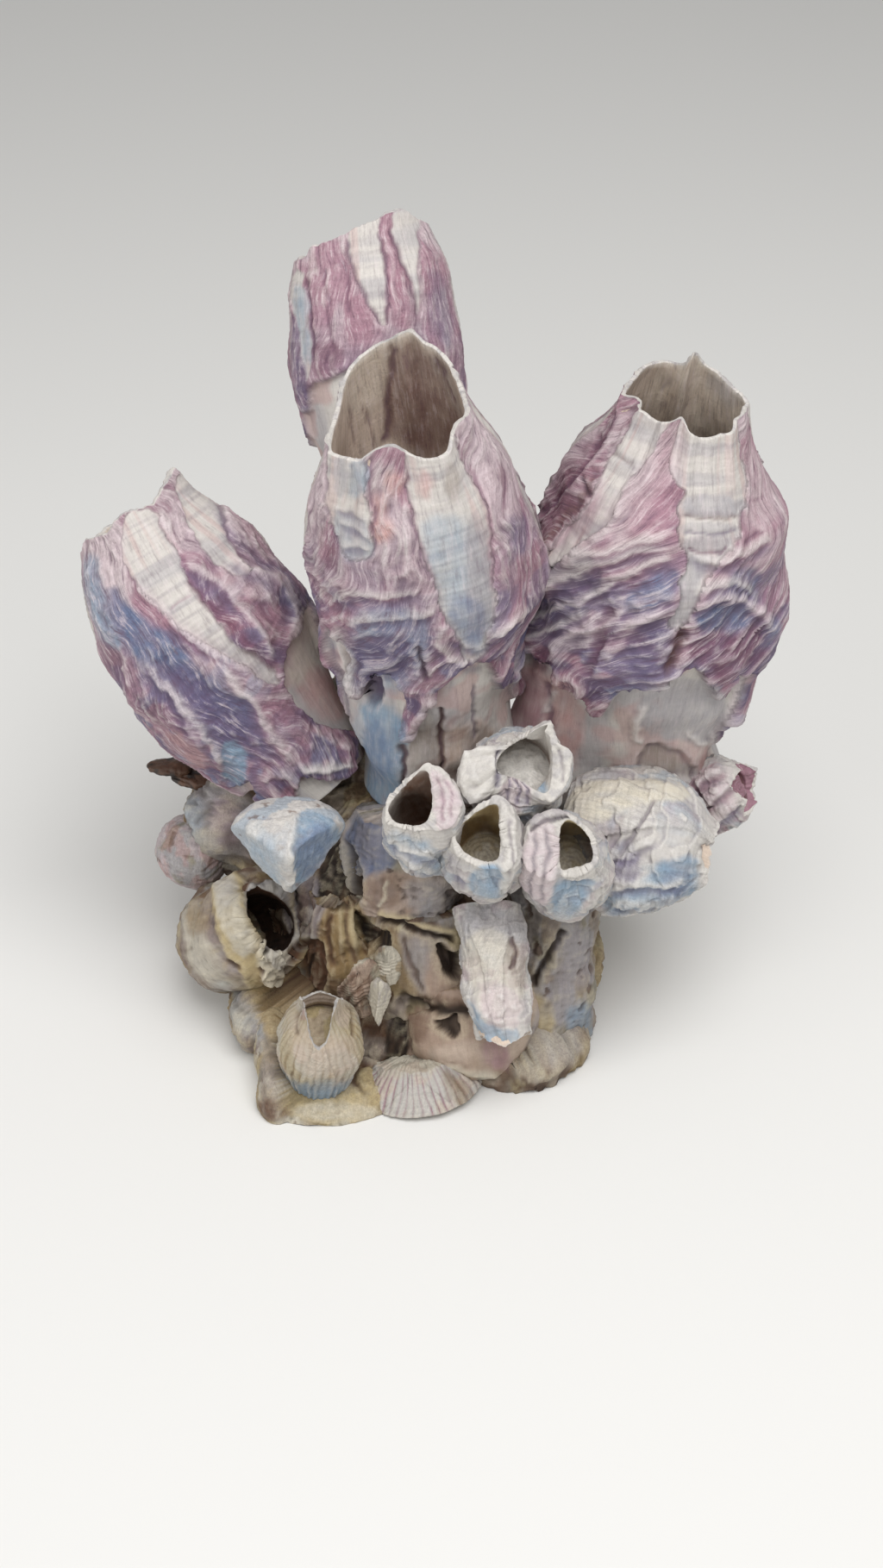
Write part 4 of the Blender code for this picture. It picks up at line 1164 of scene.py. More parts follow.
    def layers(self) -> list[Layer]:
        """All rows, from the foot up the outside, over the rim and down to the hollow's floor."""
        skin, smooth = self.outer()
        outside = layer_of(skin, smooth)
        if not self.open_top:
            return [outside, self.cap(outside, 1.0)]
        degrees = self.ways()
        top = self.rim_share(degrees)
        down = np.linspace(0.0, 1.0, self.hollow_rows)[:, None]
        t = top + (self.hollow_from - top) * down
        thick = self.wall * (self.EDGE_WALL + (self.WALL_LOW_DOWN - self.EDGE_WALL) * ease(down * 1.6))
        radius = np.maximum(curve_through(self.radii, t) - thick, self.LEAST_RADIUS)
        middle, half, height = self.keel
        fall = np.exp(-((turn_between(degrees, middle) / half) ** 2))
        if self.mouth or self.opening:
            inset = 0.0 if self.opening else self.EDGE_WALL * self.wall / 2
            outline = self.opening or self.mouth
            edge = self.reach_of(outline, top, degrees, radius[0]) - inset
            radius = radius + (edge - radius[0]) * (1.0 - ease(down / self.OPENING_FADE))
        radius = radius - height * fall * (0.1 + 0.9 * ease(down * 3)) * (1 - 0.6 * down)
        points = self.place(t, degrees + 0 * t, radius)
        inner = Skin(points, self.grain(t, degrees), self.seed + 3)
        self.dress_hollow(inner, down, degrees)
        lay_all(inner, self.within)
        flat = np.zeros(down.shape) + 0.55 + 0 * degrees
        inside = layer_of(inner, flat)
        return [outside, self.edge(outside, inside, top), inside, self.cap(inside, self.hollow_from)]

    def edge(self, outside: Layer, inside: Layer, top: Array) -> Layer:
        """Rows over the rim, a low arch from the outside to the inside, rougher where the wall is thick."""
        turn = np.linspace(0.0, 1.0, self.edge_rows + 2)[1:-1, None]
        first, last = outside.points[-1], inside.points[0]
        thick = np.linalg.norm(last - first, axis=-1)
        lift = np.minimum(self.ARCH_SHARE * thick, self.ARCH_MOST) * np.sin(turn * math.pi)
        share = 0.5 - 0.5 * np.cos(turn * math.pi)
        points = first + (last - first) * share[..., None] + lift[..., None] * self.spine(top)[1]
        grain = outside.grain[-1] + (inside.grain[0] - outside.grain[-1]) * share[..., None]
        grain[..., 2] = grain[..., 2] + thick * share
        skin = Skin(points, grain, self.seed + 5)
        rough = self.edge_rough * np.minimum(thick / 3.0, 1.0) * np.sin(turn * math.pi)
        skin.height += rough * layered(points, 1.6, self.seed + 54)
        skin.paint(self.edge_tint, np.ones(skin.height.shape))
        skin.paint(Tint.PEARL, 0.5 * ease(layered(points, 2.5, self.seed + 55) / 0.3))
        if self.opening:
            lay_all(skin, self.outside)
        return layer_of(skin, np.full(skin.height.shape, 0.6))

    def cap(self, last: Layer, at: float) -> Layer:
        """Closes a ring with a dome whose growth lines run round it.

        Args:
            last: The layer whose last row is the ring.
            at: The share along the spine where the ring lies.

        Returns:
            Rows that come ever nearer to the ring's middle.
        """
        inward = np.linspace(0.0, 1.0, self.CAP_ROWS + 2)[1:-1, None]
        ring, along = last.points[-1], self.spine(np.array(at))[1]
        middle = ring.mean(axis=0)
        rise = self.cap_rise * (1.0 - (1.0 - inward) ** 2)
        points = middle + (ring - middle) * (1.0 - inward)[..., None] + rise[..., None] * along
        grain = np.repeat(last.grain[-1][None], self.CAP_ROWS, axis=0)
        grain[..., 2] = grain[..., 2] + inward * self.mean_radius()
        skin = Skin(points, grain, self.seed + 4)
        self.dress_cap(skin, inward)
        return layer_of(skin, np.full(skin.height.shape, 0.3))

    def dress_cap(self, skin: Skin, inward: Array) -> None:
        """Rings of old lime, unevenly raised."""
        level = skin.grain[..., 2] + noise(skin.points, 2.5, self.seed + 51)
        rings = np.sin(level * 2 * math.pi / self.RING_GAP)
        skin.height += ease(inward / 0.2) * (0.07 * rings + 0.3 * layered(skin.points, 2.2, self.seed + 52))
        skin.paint(self.floor_tint, np.ones(skin.height.shape))
        lumps = layered(skin.points, 3.0, self.seed + 53)
        skin.paint(self.inner_tint, 0.5 * ease((lumps + 0.1) / 0.4))
        skin.paint(Tint.UMBER, self.ring_stain * ease(-rings / 0.8))

    def dress_hollow(self, skin: Skin, down: Array, degrees: Array) -> None:
        """The inside, beige near the rim and browner below, with streaks and fine level lines."""
        grain, seed = skin.grain, self.seed
        skin.height += 0.05 * np.sin(grain[..., 2] * 2 * math.pi / self.LEVEL_GAP)
        skin.height += 0.08 * noise(grain, 2.0, seed + 31)
        flat = np.zeros(down.shape) + 0 * degrees
        skin.paint(self.inner_tint, flat + 1.0)
        streaks = noise(grain * (1.0, 1.0, 0.07), 1.6, seed + 32)
        skin.paint(Tint.BUFF, (0.1 + 0.5 * ease(streaks / 0.6)) * ease((down - 0.1) / 0.4))
        middle, half, rise = self.keel
        keel = np.exp(-((turn_between(degrees, middle) / (0.8 * half)) ** 2)) * min(rise, 1.0)
        skin.paint(Tint.RUST, 0.5 * keel * ease((down - 0.02) / 0.12))
        skin.paint(Tint.UMBER, 0.6 * ease((down - 0.6) / 0.4) + 0 * degrees)
        skin.paint(self.edge_tint, 0.6 * (1 - ease(down / 0.014)) + 0 * degrees)

    def build(self, material: bpy.types.Material, slot: str) -> bpy.types.Object:
        """Makes the piece."""
        return add_piece(self.name, shell_mesh(self.name, self.layers()), material, self.node)


@dataclass(kw_only=True)
class SmallBarnacle(Barnacle):
    """A small barnacle of the pale kind: thick, chalky and flaking, its plates hardly coloured."""

    plates: tuple[tuple[float, float, float], ...] = (
        (0, 9, 34), (62, 8, 30), (122, 8, 30), (180, 9, 34), (-122, 8, 30), (-62, 8, 30)
    )
    skirt: Knots = ((0, -1.0),)
    mantle: float = 0.5
    columns: int = 190
    rows: int = 104
    hollow_rows: int = 26
    flake_height: float = 0.32
    flake_gap: float = 3.4
    flake_size: float = 6.0
    edge_rows: int = 14
    edge_rough: float = 0.16
    lavender: float = 0.5
    rose: float = 0.35

    LINE_GAP = 0.8

    def dress_plates(self, skin: Skin, t: Array, plate: Array, above: Array) -> None:
        """Flakes that overlap like steps, fine growth lines, and lavender, blue and rose shades."""
        grain, seed = skin.grain, self.seed
        bend = layered(skin.points, self.flake_size, seed + 11)
        level = grain[..., 2] / self.flake_gap + 0.8 * bend
        flake = terraces(level, 1.0, 0.1) - level
        skin.height += above * self.flake_height * (flake - 0.4)
        skin.height += above * 0.6 * self.flake_height * terraces(bend, 2.5, 0.1)
        skin.height += above * 0.12 * layered(grain * (1.0, 1.0, 0.25), 1.3, seed + 12)
        skin.height += above * 0.03 * np.sin((grain[..., 2] + 0.6 * bend) * 2 * math.pi / self.LINE_GAP)
        skin.paint(Tint.LIME, above * 0.8)
        shades = layered(grain, 4.5, seed + 13)
        skin.paint(Tint.AZURE, above * self.lavender * ease((shades + 0.05) / 0.5))
        shades = layered(grain * (1, 1, 0.5), 4.0, seed + 14)
        skin.paint(Tint.VIOLET, above * 0.6 * self.lavender * ease((shades - 0.05) / 0.4))
        shades = layered(grain, 5.0, seed + 15)
        skin.paint(Tint.ROSE, above * self.rose * ease((shades - 0.02) / 0.45))
        lines = noise(grain * (1.0, 1.0, 0.08), 1.1, seed + 16)
        skin.paint(Tint.STONE, above * 0.45 * ease((lines - 0.08) / 0.35))
        skin.paint(Tint.LIME, above * 0.7 * ease((flake - 0.6) / 0.25))
        skin.paint(Tint.LIME, above * 0.75 * ease((t - 0.8) / 0.2))

    def dress_strips(self, skin: Skin, t: Array, strip: Array) -> None:
        """The strips between the plates are only a little sunk."""
        skin.height -= 0.15 * strip

    def dress_core(self, skin: Skin, t: Array, core: Array, degrees: Array) -> None:
        """The foot, stained by what it grew on."""
        skin.paint(Tint.PEARL, core)
        skin.paint(Tint.BUFF, core * ease(layered(skin.grain, 3.5, self.seed + 24) / 0.4))
        skin.height += core * 0.3 * layered(skin.points, 1.8, self.seed + 25)


@dataclass(kw_only=True)
class RibbedBarnacle(SmallBarnacle):
    """A small barnacle with ribs that run from its foot to its pointed plates."""

    ribs: int = 26
    rib_rise: float = 0.42
    low_tint: Tint = Tint.AZURE
    rib_tint: Tint = Tint.CREAM
    valley_tint: Tint = Tint.TAN
    valley_amount: float = 0.6
    valley_width: float = 0.4
    low_until: float = 0.26

    LINE_GAP = 0.7

    def dress_plates(self, skin: Skin, t: Array, plate: Array, above: Array) -> None:
        """A rib's height is a rounded wave of the angle, a little bent, and every third one is lower."""
        grain, seed = skin.grain, self.seed
        turn = np.arctan2(grain[..., 1], grain[..., 0]) + 0.05 * noise(grain, 3.5, seed + 11)
        wave = 0.5 + 0.5 * np.cos(turn * self.ribs)
        uneven = 0.7 + 0.3 * np.cos(turn * self.ribs / 3 + 1.0)
        rib = wave**0.7 * uneven
        skin.height += self.rib_rise * (rib - 0.5) * (1.0 - 0.6 * ease((t - 0.25) / 0.5))
        level = grain[..., 2] + noise(grain, 3.0, seed + 12)
        skin.height += 0.02 * np.sin(level * 2 * math.pi / self.LINE_GAP)
        skin.height += 0.08 * layered(skin.points, 1.2, seed + 13)
        full = np.ones(skin.height.shape)
        skin.paint(self.rib_tint, full)
        stained = layered(grain, 4.0, seed + 14)
        skin.paint(Tint.SAND, 0.6 * ease((stained + 0.1) / 0.4))
        stained = layered(grain * (1.0, 1.0, 0.5), 5.0, seed + 16)
        skin.paint(Tint.GOLD, 0.6 * self.low_until / RibbedBarnacle.low_until * ease((stained + 0.05) / 0.4))
        much = 0.45 + 0.55 * ease((layered(grain * (1.0, 1.0, 0.4), 3.0, seed + 15) + 0.2) / 0.4)
        skin.paint(self.valley_tint, self.valley_amount * much * (1.0 - ease(rib / self.valley_width)))
        # The lowest part takes the low tint: on the ribbed shell its azure is painted blue reflection near the
        # floor.
        low = (1.0 - ease((t - self.low_until + 0.12) / 0.24)) * full
        skin.paint(self.low_tint, 0.7 * low)
        skin.paint(Tint.LIME, 0.5 * low * ease((rib - 0.5) / 0.3))
        skin.paint(Tint.LIME, 0.8 * self.low_until * ease((t - 0.8) / 0.15) * full)


@dataclass(frozen=True)
class Wear:
    """How an old shell is worn: lumps, steps between its layers, pits and stains. Sizes are in mm."""

    lumps: float = 0.8
    lump_size: float = 8.0
    steps: float = 1.2
    step_size: float = 9.0
    rings: float = 0.05
    ring_gap: float = 1.3
    pits: float = 0.3
    fibres: float = 0.12
    stains: tuple[tuple[Tint, float, float, float], ...] = (
        (Tint.GOLD, 0.7, 9.0, -0.1),
        (Tint.TAN, 0.6, 6.0, 0.02),
        (Tint.STONE, 0.45, 7.0, 0.05),
        (Tint.UMBER, 0.7, 4.0, 0.15),
    )

    def lay(self, skin: Skin) -> None:
        """Steps cut a noise into levels, and pits are the deepest parts of another."""
        grain, seed = skin.grain, skin.seed
        skin.height += self.lumps * layered(skin.points, self.lump_size, seed + 61, 4)
        bend = layered(skin.points, self.step_size, seed + 62)
        skin.height += self.steps * terraces(bend, 3.0, 0.12)
        skin.height += self.rings * np.sin((grain[..., 2] + 1.5 * bend) * 2 * math.pi / self.ring_gap)
        skin.height += self.fibres * noise(grain * (1.0, 1.0, 0.1), 0.8, seed + 63)
        holes = ease((layered(skin.points, 2.8, seed + 64) - 0.62) / 0.2)
        skin.height -= self.pits * holes
        for number, (tint, amount, size, level) in enumerate(self.stains):
            patches = layered(grain * (1.0, 1.0, 0.6), size, seed + 65 + number, 4)
            skin.paint(tint, amount * ease((patches - level) / 0.35 + 0.5))
        skin.paint(Tint.UMBER, 0.6 * holes)


@dataclass(kw_only=True)
class OldShell(Barnacle):
    """An old barnacle's stump, worn and stained, closed by a low dome unless it is open."""

    open_top: bool = False
    cap_rise: float = 0.6
    columns: int = 180
    rows: int = 96
    hollow_rows: int = 30
    wear: Wear = Wear()

    def dress_plates(self, skin: Skin, t: Array, plate: Array, above: Array) -> None:
        """Wear all over."""
        self.wear.lay(skin)

    def dress_strips(self, skin: Skin, t: Array, strip: Array) -> None:
        """Nothing is left of the strips."""

    def dress_core(self, skin: Skin, t: Array, core: Array, degrees: Array) -> None:
        """Nothing is left of the mantle."""

    def dress_cap(self, skin: Skin, inward: Array) -> None:
        """Wear all over."""
        self.wear.lay(skin)


@dataclass(kw_only=True)
class Lump:
    """A piece that is the outermost surface of merged ellipsoids, seen from one point inside it."""

    name: str
    node: str
    heart: tuple[float, float, float]
    balls: tuple[tuple[tuple[float, float, float], tuple[float, float, float]], ...]
    cuts: tuple[tuple[float, float, float, float], ...] = ()
    blend: float = 3.0
    floor: float = -1000.0
    lumpiness: float = 1.2
    lump_size: float = 11.0
    seed: int = 1
    columns: int = 150
    rows: int = 90
    flatness: float = 1.0
    crowding: float = 0.0
    wear: Wear = Wear()
    outside: tuple[Mark, ...] = ()

    TRACE_START = 80.0
    TRACE_STEPS = 60
    TRACE_SHARE = 0.6
    TRACE_LIMIT = 4.0
    LEAST_TOTAL = 1e-30

    def depth(self, points: Array) -> Array:
        """Roughly how far points lie outside the merged balls, or past a flat cut through them."""
        total = np.zeros(points.shape[:-1])
        for centre, radii in self.balls:
            size = np.array(radii)
            reach = np.linalg.norm((points - np.array(centre)) / size, axis=-1)
            total += np.exp(-(reach - 1) * size.min() / self.blend)
        outside = -self.blend * np.log(total + self.LEAST_TOTAL)
        for *way, at in self.cuts:
            outside = np.maximum(outside, (points - np.array(self.heart)) @ unit(np.array(way)) - at)
        return outside

    def skin(self) -> Skin:
        """Walks in along each way from the heart to the surface, lumps it and cuts it flat at the floor.

        The ways turn round the upright through the heart. Crowding puts more of them on the front.
        """
        heart = np.array(self.heart)
        turn = np.linspace(-math.pi, math.pi, self.columns, endpoint=False)
        turn = turn - self.crowding * np.sin(turn)
        rise = np.linspace(-math.pi / 2, math.pi / 2, self.rows + 2)[1:-1, None]
        rise = np.arctan(self.flatness * np.tan(rise))
        ways = np.stack(
            (np.cos(rise) * np.sin(turn), -np.cos(rise) * np.cos(turn), np.sin(rise) + 0 * turn), axis=-1
        )
        reach = np.full(ways.shape[:-1], self.TRACE_START)
        for _ in range(self.TRACE_STEPS):
            outside = self.depth(heart + reach[..., None] * ways)
            reach = np.maximum(reach - np.clip(self.TRACE_SHARE * outside, 0.0, self.TRACE_LIMIT), 1.0)
        points = heart + reach[..., None] * ways
        points = points + self.lumpiness * noise(points, self.lump_size, self.seed)[..., None] * ways
        below = points[..., 2] < self.floor
        drop = np.minimum(points[..., 2], self.floor) - heart[2]
        back = np.where(below, (self.floor - heart[2]) / drop, 1.0)
        return Skin(heart + back[..., None] * (points - heart), points.copy(), self.seed)

    def layers(self) -> list[Layer]:
        """The one layer, with its wear and marks. Nothing is raised through the floor."""
        skin = self.skin()
        self.wear.lay(skin)
        lay_all(skin, self.outside)
        layer = layer_of(skin, np.zeros(skin.height.shape))
        layer.points[..., 2] = np.where(
            skin.points[..., 2] <= self.floor, self.floor, np.maximum(layer.points[..., 2], self.floor)
        )
        return [layer]

    def build(self, material: bpy.types.Material, slot: str) -> bpy.types.Object:
        """Makes the piece."""
        return add_piece(self.name, shell_mesh(self.name, self.layers()), material, self.node)


@dataclass(kw_only=True)
class ThinPlate(Lump):
    """A thin loose piece of shell, plain but for its wear, with faces that meet in an edge."""

    blend: float = 0.5
    lumpiness: float = 0.0
    columns: int = 90
    rows: int = 66


# The right barnacle's mantle, strips and marks, in pixels of the photograph.
RIGHT_MANTLE: Line = (
    (560, 370), (950, 370), (950, 735), (912, 733), (900, 755), (893, 762), (880, 770), (875, 784), (862, 780),
    (855, 795), (848, 808), (838, 816), (830, 811), (825, 795), (815, 780), (800, 775), (790, 785), (765, 805),
    (755, 803), (735, 800), (708, 808), (703, 825), (690, 833), (680, 825), (675, 810), (665, 805), (648, 800),
    (645, 790), (640, 772), (630, 778), (615, 770), (610, 755), (600, 755), (560, 755),
)
RIGHT_STRIP_LEFT: Line = (
    (738, 470), (722, 500), (708, 525), (700, 545), (690, 575), (670, 600), (655, 618), (640, 645), (626, 668),
    (645, 660), (665, 645), (690, 622), (712, 602), (720, 580), (727, 560), (745, 542), (757, 520), (768, 500),
    (778, 480), (757, 460),
)
RIGHT_STRIP: Line = (
    (789, 460), (786, 500), (778, 520), (772, 535), (773, 550), (783, 562), (797, 570), (790, 582), (785, 592),
    (788, 600), (785, 615), (790, 630), (797, 640), (797, 655), (788, 670), (788, 690), (780, 705), (774, 726),
    (796, 724), (805, 700), (811, 685), (820, 670), (826, 655), (833, 641), (843, 635), (852, 625), (860, 615),
    (857, 605), (860, 595), (866, 580), (870, 570), (868, 545), (865, 520), (862, 500), (864, 460),
)
RIGHT_OUTSIDE: tuple[Mark, ...] = (
    # Broad shades over the plates: violet low down as painted shade on the underside, rose and blush above.
    Area(Tint.VIOLET, ((700, 690), (790, 685), (785, 790), (700, 800), (680, 740)), 0.35, 3.0),
    Area(Tint.VIOLET, ((805, 680), (908, 670), (898, 770), (840, 800), (805, 780)), 0.4, 3.0),
    Area(Tint.ROSE, ((725, 555), (780, 555), (784, 645), (700, 655), (690, 625)), 0.4, 3.0),
    Area(Tint.ROSE, ((612, 560), (690, 535), (702, 600), (640, 645), (610, 625)), 0.6, 3.0),
    Area(Tint.BLUSH, ((785, 480), (800, 520), (790, 560), (765, 560), (750, 600), (720, 640), (700, 620),
                      (730, 560), (762, 515)), 0.55, 2.5),
    Area(Tint.ROSE, ((775, 500), (782, 530), (770, 560), (778, 600), (760, 622), (735, 640), (728, 600),
                     (745, 560), (762, 520)), 0.35, 2.5),
    # Growth bands of the white strip.
    Area(Tint.PEARL, ((792, 574), (868, 574), (862, 599), (788, 598)), 0.85, 0.8),
    Area(Tint.STONE, ((790, 592), (864, 593), (862, 600), (790, 599)), 0.75, 0.5),
    Area(Tint.PEARL, ((788, 606), (860, 606), (854, 622), (788, 620)), 0.55, 0.8),
    Area(Tint.STONE, ((790, 624), (852, 624), (842, 640), (796, 640)), 0.55, 0.8),
    Area(Tint.PEARL, ((797, 645), (830, 643), (818, 670), (808, 690), (798, 722), (776, 722), (790, 680)),
         0.7, 0.8),
    Groove(((787, 598), (810, 601), (840, 602), (862, 597)), 0.28, 0.25, Tint.UMBER, 0.4),
    Groove(((790, 617), (815, 621), (840, 621), (858, 613)), 0.28, 0.25, Tint.VIOLET, 0.4),
    Groove(((796, 637), (812, 641), (832, 642), (845, 634)), 0.32, 0.35, Tint.PLUM, 0.6),
    # The left plate: deep pink, with a slit along the narrow strip.
    Area(Tint.PLUM, ((700, 505), (690, 525), (668, 560), (650, 590), (640, 610), (622, 600), (632, 575),
                     (655, 545), (680, 515)), 0.5, 1.6, -0.3),
    Area(Tint.ROSE, ((703, 515), (700, 545), (690, 570), (672, 560), (684, 530)), 0.7, 1.2),
    Area(Tint.PLUM, ((622, 578), (660, 575), (690, 582), (672, 605), (650, 625), (620, 605)), 0.55, 1.6),
    Area(Tint.ROSE, ((612, 595), (640, 590), (668, 600), (650, 628), (632, 640), (616, 622)), 0.6, 1.6),
    Groove(((716, 470), (705, 495), (688, 522), (668, 548), (648, 572), (636, 592)), 0.45, 0.7, Tint.PLUM, 0.8),
    Groove(((672, 553), (680, 568), (686, 577)), 0.4, 0.6, Tint.INK, 0.6),
    Groove(((706, 524), (722, 534), (738, 541)), 0.3, 0.25, Tint.BUFF, 0.5),
    Ridge(((700, 540), (690, 572), (668, 602), (645, 632), (625, 664)),
          0.5, 0.9, 0.5, Tint.BLUSH, 0.4, Tint.UMBER, 0.5),
    Ridge(((655, 660), (700, 622), (714, 600), (724, 570), (745, 545)), 0.4, 0.5, 0.9, Tint.LIME, 0.35, None),
    # Folds across the middle plate, with violet, blue and plum painted shade sunk into the hollows under them
    # and umber painted shade in the deep crevice beside the strip.
    Ridge(((606, 668), (636, 657), (668, 645), (700, 640), (730, 632), (760, 624), (788, 618)), 0.9, 2.6, 0.5),
    Area(Tint.LIME, ((640, 655), (690, 640), (690, 665), (650, 680), (618, 690), (622, 672)), 0.4, 1.6),
    Area(Tint.VIOLET, ((620, 705), (640, 690), (665, 674), (700, 668), (696, 684), (668, 700), (635, 715)),
         0.8, 1.4, -0.5),
    Area(Tint.BLUE, ((722, 702), (735, 680), (760, 666), (785, 660), (790, 680), (770, 700), (740, 715)),
         0.75, 1.6, -0.5),
    Ridge(((610, 697), (645, 674), (680, 660), (710, 652), (745, 640), (785, 632)), 0.8, 2.2, 0.5),
    Ridge(((668, 706), (690, 688), (712, 678), (738, 664), (765, 652), (790, 645)), 0.8, 1.8, 0.5),
    Area(Tint.VIOLET, ((605, 712), (640, 700), (690, 700), (676, 725), (640, 742), (606, 742)),
         0.65, 1.6, -0.3),
    Ridge(((604, 728), (630, 712), (655, 704), (680, 700)), 0.4, 0.9, 0.4),
    Ridge(((606, 742), (636, 732), (666, 722), (690, 706)), 0.45, 0.9, 0.4),
    Ridge(((632, 772), (642, 752), (662, 738), (686, 722), (702, 704)), 0.9, 1.4, 0.5, Tint.BLUSH, 0.5),
    Area(Tint.BLUSH, ((632, 770), (645, 748), (680, 728), (700, 710), (694, 735), (680, 750), (662, 758),
                      (650, 774)), 0.45, 1.2, 0.5),
    Groove(((712, 700), (700, 728), (690, 752), (678, 785)), 0.9, 1.0, Tint.PLUM, 0.7),
    Area(Tint.PLUM, ((612, 760), (640, 745), (640, 775), (622, 782)), 0.7, 1.0, -0.4),
    Ridge(((690, 742), (715, 712), (750, 697), (790, 690)), 0.9, 2.6, 0.6, Tint.BLUSH, 0.45),
    Ridge(((700, 780), (716, 748), (740, 722), (776, 703)), 0.6, 2.4, 0.6, Tint.BLUSH, 0.3),
    Area(Tint.VIOLET, ((718, 762), (745, 735), (778, 722), (780, 760), (768, 795), (730, 792)), 0.65, 2.0),
    Groove(((797, 716), (789, 742), (780, 768), (772, 795)), 0.75, 1.4, Tint.UMBER, 0.95, 0.25),
    # Folds of the right plate, with blue and plum painted shade sunk into the hollows under them.
    Ridge(((800, 640), (826, 656), (852, 648), (878, 628), (902, 622)), 0.7, 1.8, 0.5),
    Area(Tint.BLUSH, ((868, 470), (880, 500), (905, 550), (908, 600), (880, 620), (862, 610), (868, 560)),
         0.5, 2.0),
    Groove(((866, 582), (878, 580), (888, 574)), 0.3, 0.2, Tint.ROSE, 0.4),
    Groove(((858, 632), (868, 620), (884, 618)), 0.3, 0.4, Tint.PLUM, 0.6),
    Area(Tint.BLUE, ((845, 662), (880, 655), (885, 690), (850, 697), (838, 680)), 0.55, 1.6, -0.3),
    Ridge(((806, 690), (830, 678), (850, 676), (868, 682), (880, 696)), 0.5, 1.2, 0.4),
    Ridge(((803, 707), (838, 690), (866, 698), (884, 716), (896, 742)), 0.8, 1.6, 0.5, Tint.BLUSH, 0.5),
    Area(Tint.BLUE, ((806, 712), (836, 700), (866, 704), (874, 722), (842, 738), (810, 734)), 0.8, 1.6, -0.5),
    Area(Tint.PLUM, ((800, 738), (850, 738), (884, 722), (890, 758), (868, 776), (850, 770), (838, 800),
                     (824, 780), (802, 770)), 0.6, 2.0, -0.2),
    Area(Tint.ROSE, ((880, 670), (905, 690), (905, 720), (884, 712)), 0.55, 1.6),
    Area(Tint.BLUE, ((886, 720), (905, 715), (902, 745), (884, 752)), 0.55, 1.6),
    # The bare core under the mantle.
    Area(Tint.PEARL, ((735, 808), (790, 790), (822, 786), (846, 815), (846, 850), (825, 868), (740, 852)),
         0.85, 1.4),
    Area(Tint.SALMON, ((565, 760), (640, 775), (675, 815), (680, 850), (655, 915), (565, 900)), 0.7, 2.0),
    Area(Tint.ROSE, ((570, 765), (625, 775), (640, 830), (625, 900), (570, 890)), 0.45, 3.0),
    Groove(((630, 785), (641, 828), (636, 868), (648, 905)), 0.6, 0.7, Tint.PLUM, 0.5),
    Groove(((642, 800), (636, 815), (634, 830)), 0.7, -0.5, Tint.LIME, 0.6),
    Groove(((748, 812), (740, 835), (736, 852), (744, 868)), 0.7, -0.6, Tint.LIME, 0.65),
    Groove(((796, 846), (808, 862), (824, 864), (834, 850)), 0.5, -0.4, Tint.LIME, 0.6),
    Area(Tint.BUFF, ((744, 870), (765, 862), (800, 880), (812, 905), (770, 905), (735, 905)), 0.8, 1.2, -0.9),
    Area(Tint.CREAM, ((730, 905), (744, 884), (756, 905)), 0.7, 0.8, 0.2),
    Area(Tint.SALMON, ((770, 855), (830, 868), (825, 900), (795, 890)), 0.5, 1.8),
)
RIGHT_WITHIN: tuple[Mark, ...] = (
    # Cream over the inner wall: painted light on the lit inside.
    Area(Tint.CREAM, ((745, 440), (790, 410), (880, 410), (910, 470), (880, 520), (800, 530), (750, 490)),
         0.45, 4.0),
    Area(Tint.PEARL, ((818, 430), (846, 440), (862, 465), (850, 478), (832, 462), (820, 448)), 0.45, 2.0),
    Groove(((762, 456), (775, 448), (788, 440)), 0.3, 0.2, Tint.CREAM, 0.4),
)

RIGHT_MOUTH: Line = (
    (719, 462), (730, 444), (745, 426), (760, 420), (776, 419), (794, 425), (801, 414), (808, 409), (813, 418),
    (820, 426), (833, 432), (846, 447), (862, 459), (868, 469), (863, 471), (861, 483), (853, 486), (852, 498),
    (846, 505), (838, 503), (828, 508), (815, 510), (803, 506), (797, 499), (792, 485), (786, 486), (778, 490),
    (768, 491), (757, 488), (747, 478), (739, 476), (744, 468), (738, 461), (729, 459),
)
CENTRE_MOUTH: Line = (
    (475, 381), (466, 387), (452, 393), (440, 398), (424, 408), (408, 424), (399, 440), (395, 460), (390, 482),
    (384, 502), (380, 518), (384, 527), (400, 531), (414, 534), (422, 533), (430, 524), (441, 519), (453, 516),
    (463, 519), (475, 527), (486, 532), (500, 534), (512, 530), (521, 524), (524, 505), (527, 494), (534, 487),
    (541, 484), (541, 469), (533, 445), (520, 418), (505, 403), (491, 397), (483, 388),
)

# The centre barnacle's mantle, strips and marks.
CENTRE_MANTLE: Line = (
    (340, 330), (660, 330), (660, 700), (628, 700), (628, 730), (612, 745), (600, 752), (596, 775), (588, 800),
    (580, 800), (574, 775), (560, 765), (540, 775), (524, 790), (500, 808), (486, 835), (470, 862), (462, 862),
    (462, 840), (470, 810), (462, 790), (440, 786), (424, 800), (414, 812), (408, 800), (404, 770), (396, 740),
    (386, 728), (372, 720), (340, 720),
)
CENTRE_STRIP_LEFT: Line = (
    (384, 500), (385, 560), (388, 600), (398, 640), (420, 655), (436, 640), (432, 600), (430, 560), (431, 500),
)
CENTRE_STRIP_RIGHT: Line = (
    (476, 500), (470, 560), (480, 600), (490, 640), (505, 680), (512, 700), (525, 730), (540, 772), (560, 762),
    (565, 745), (570, 690), (570, 620), (563, 590), (552, 560), (540, 530), (538, 500),
)
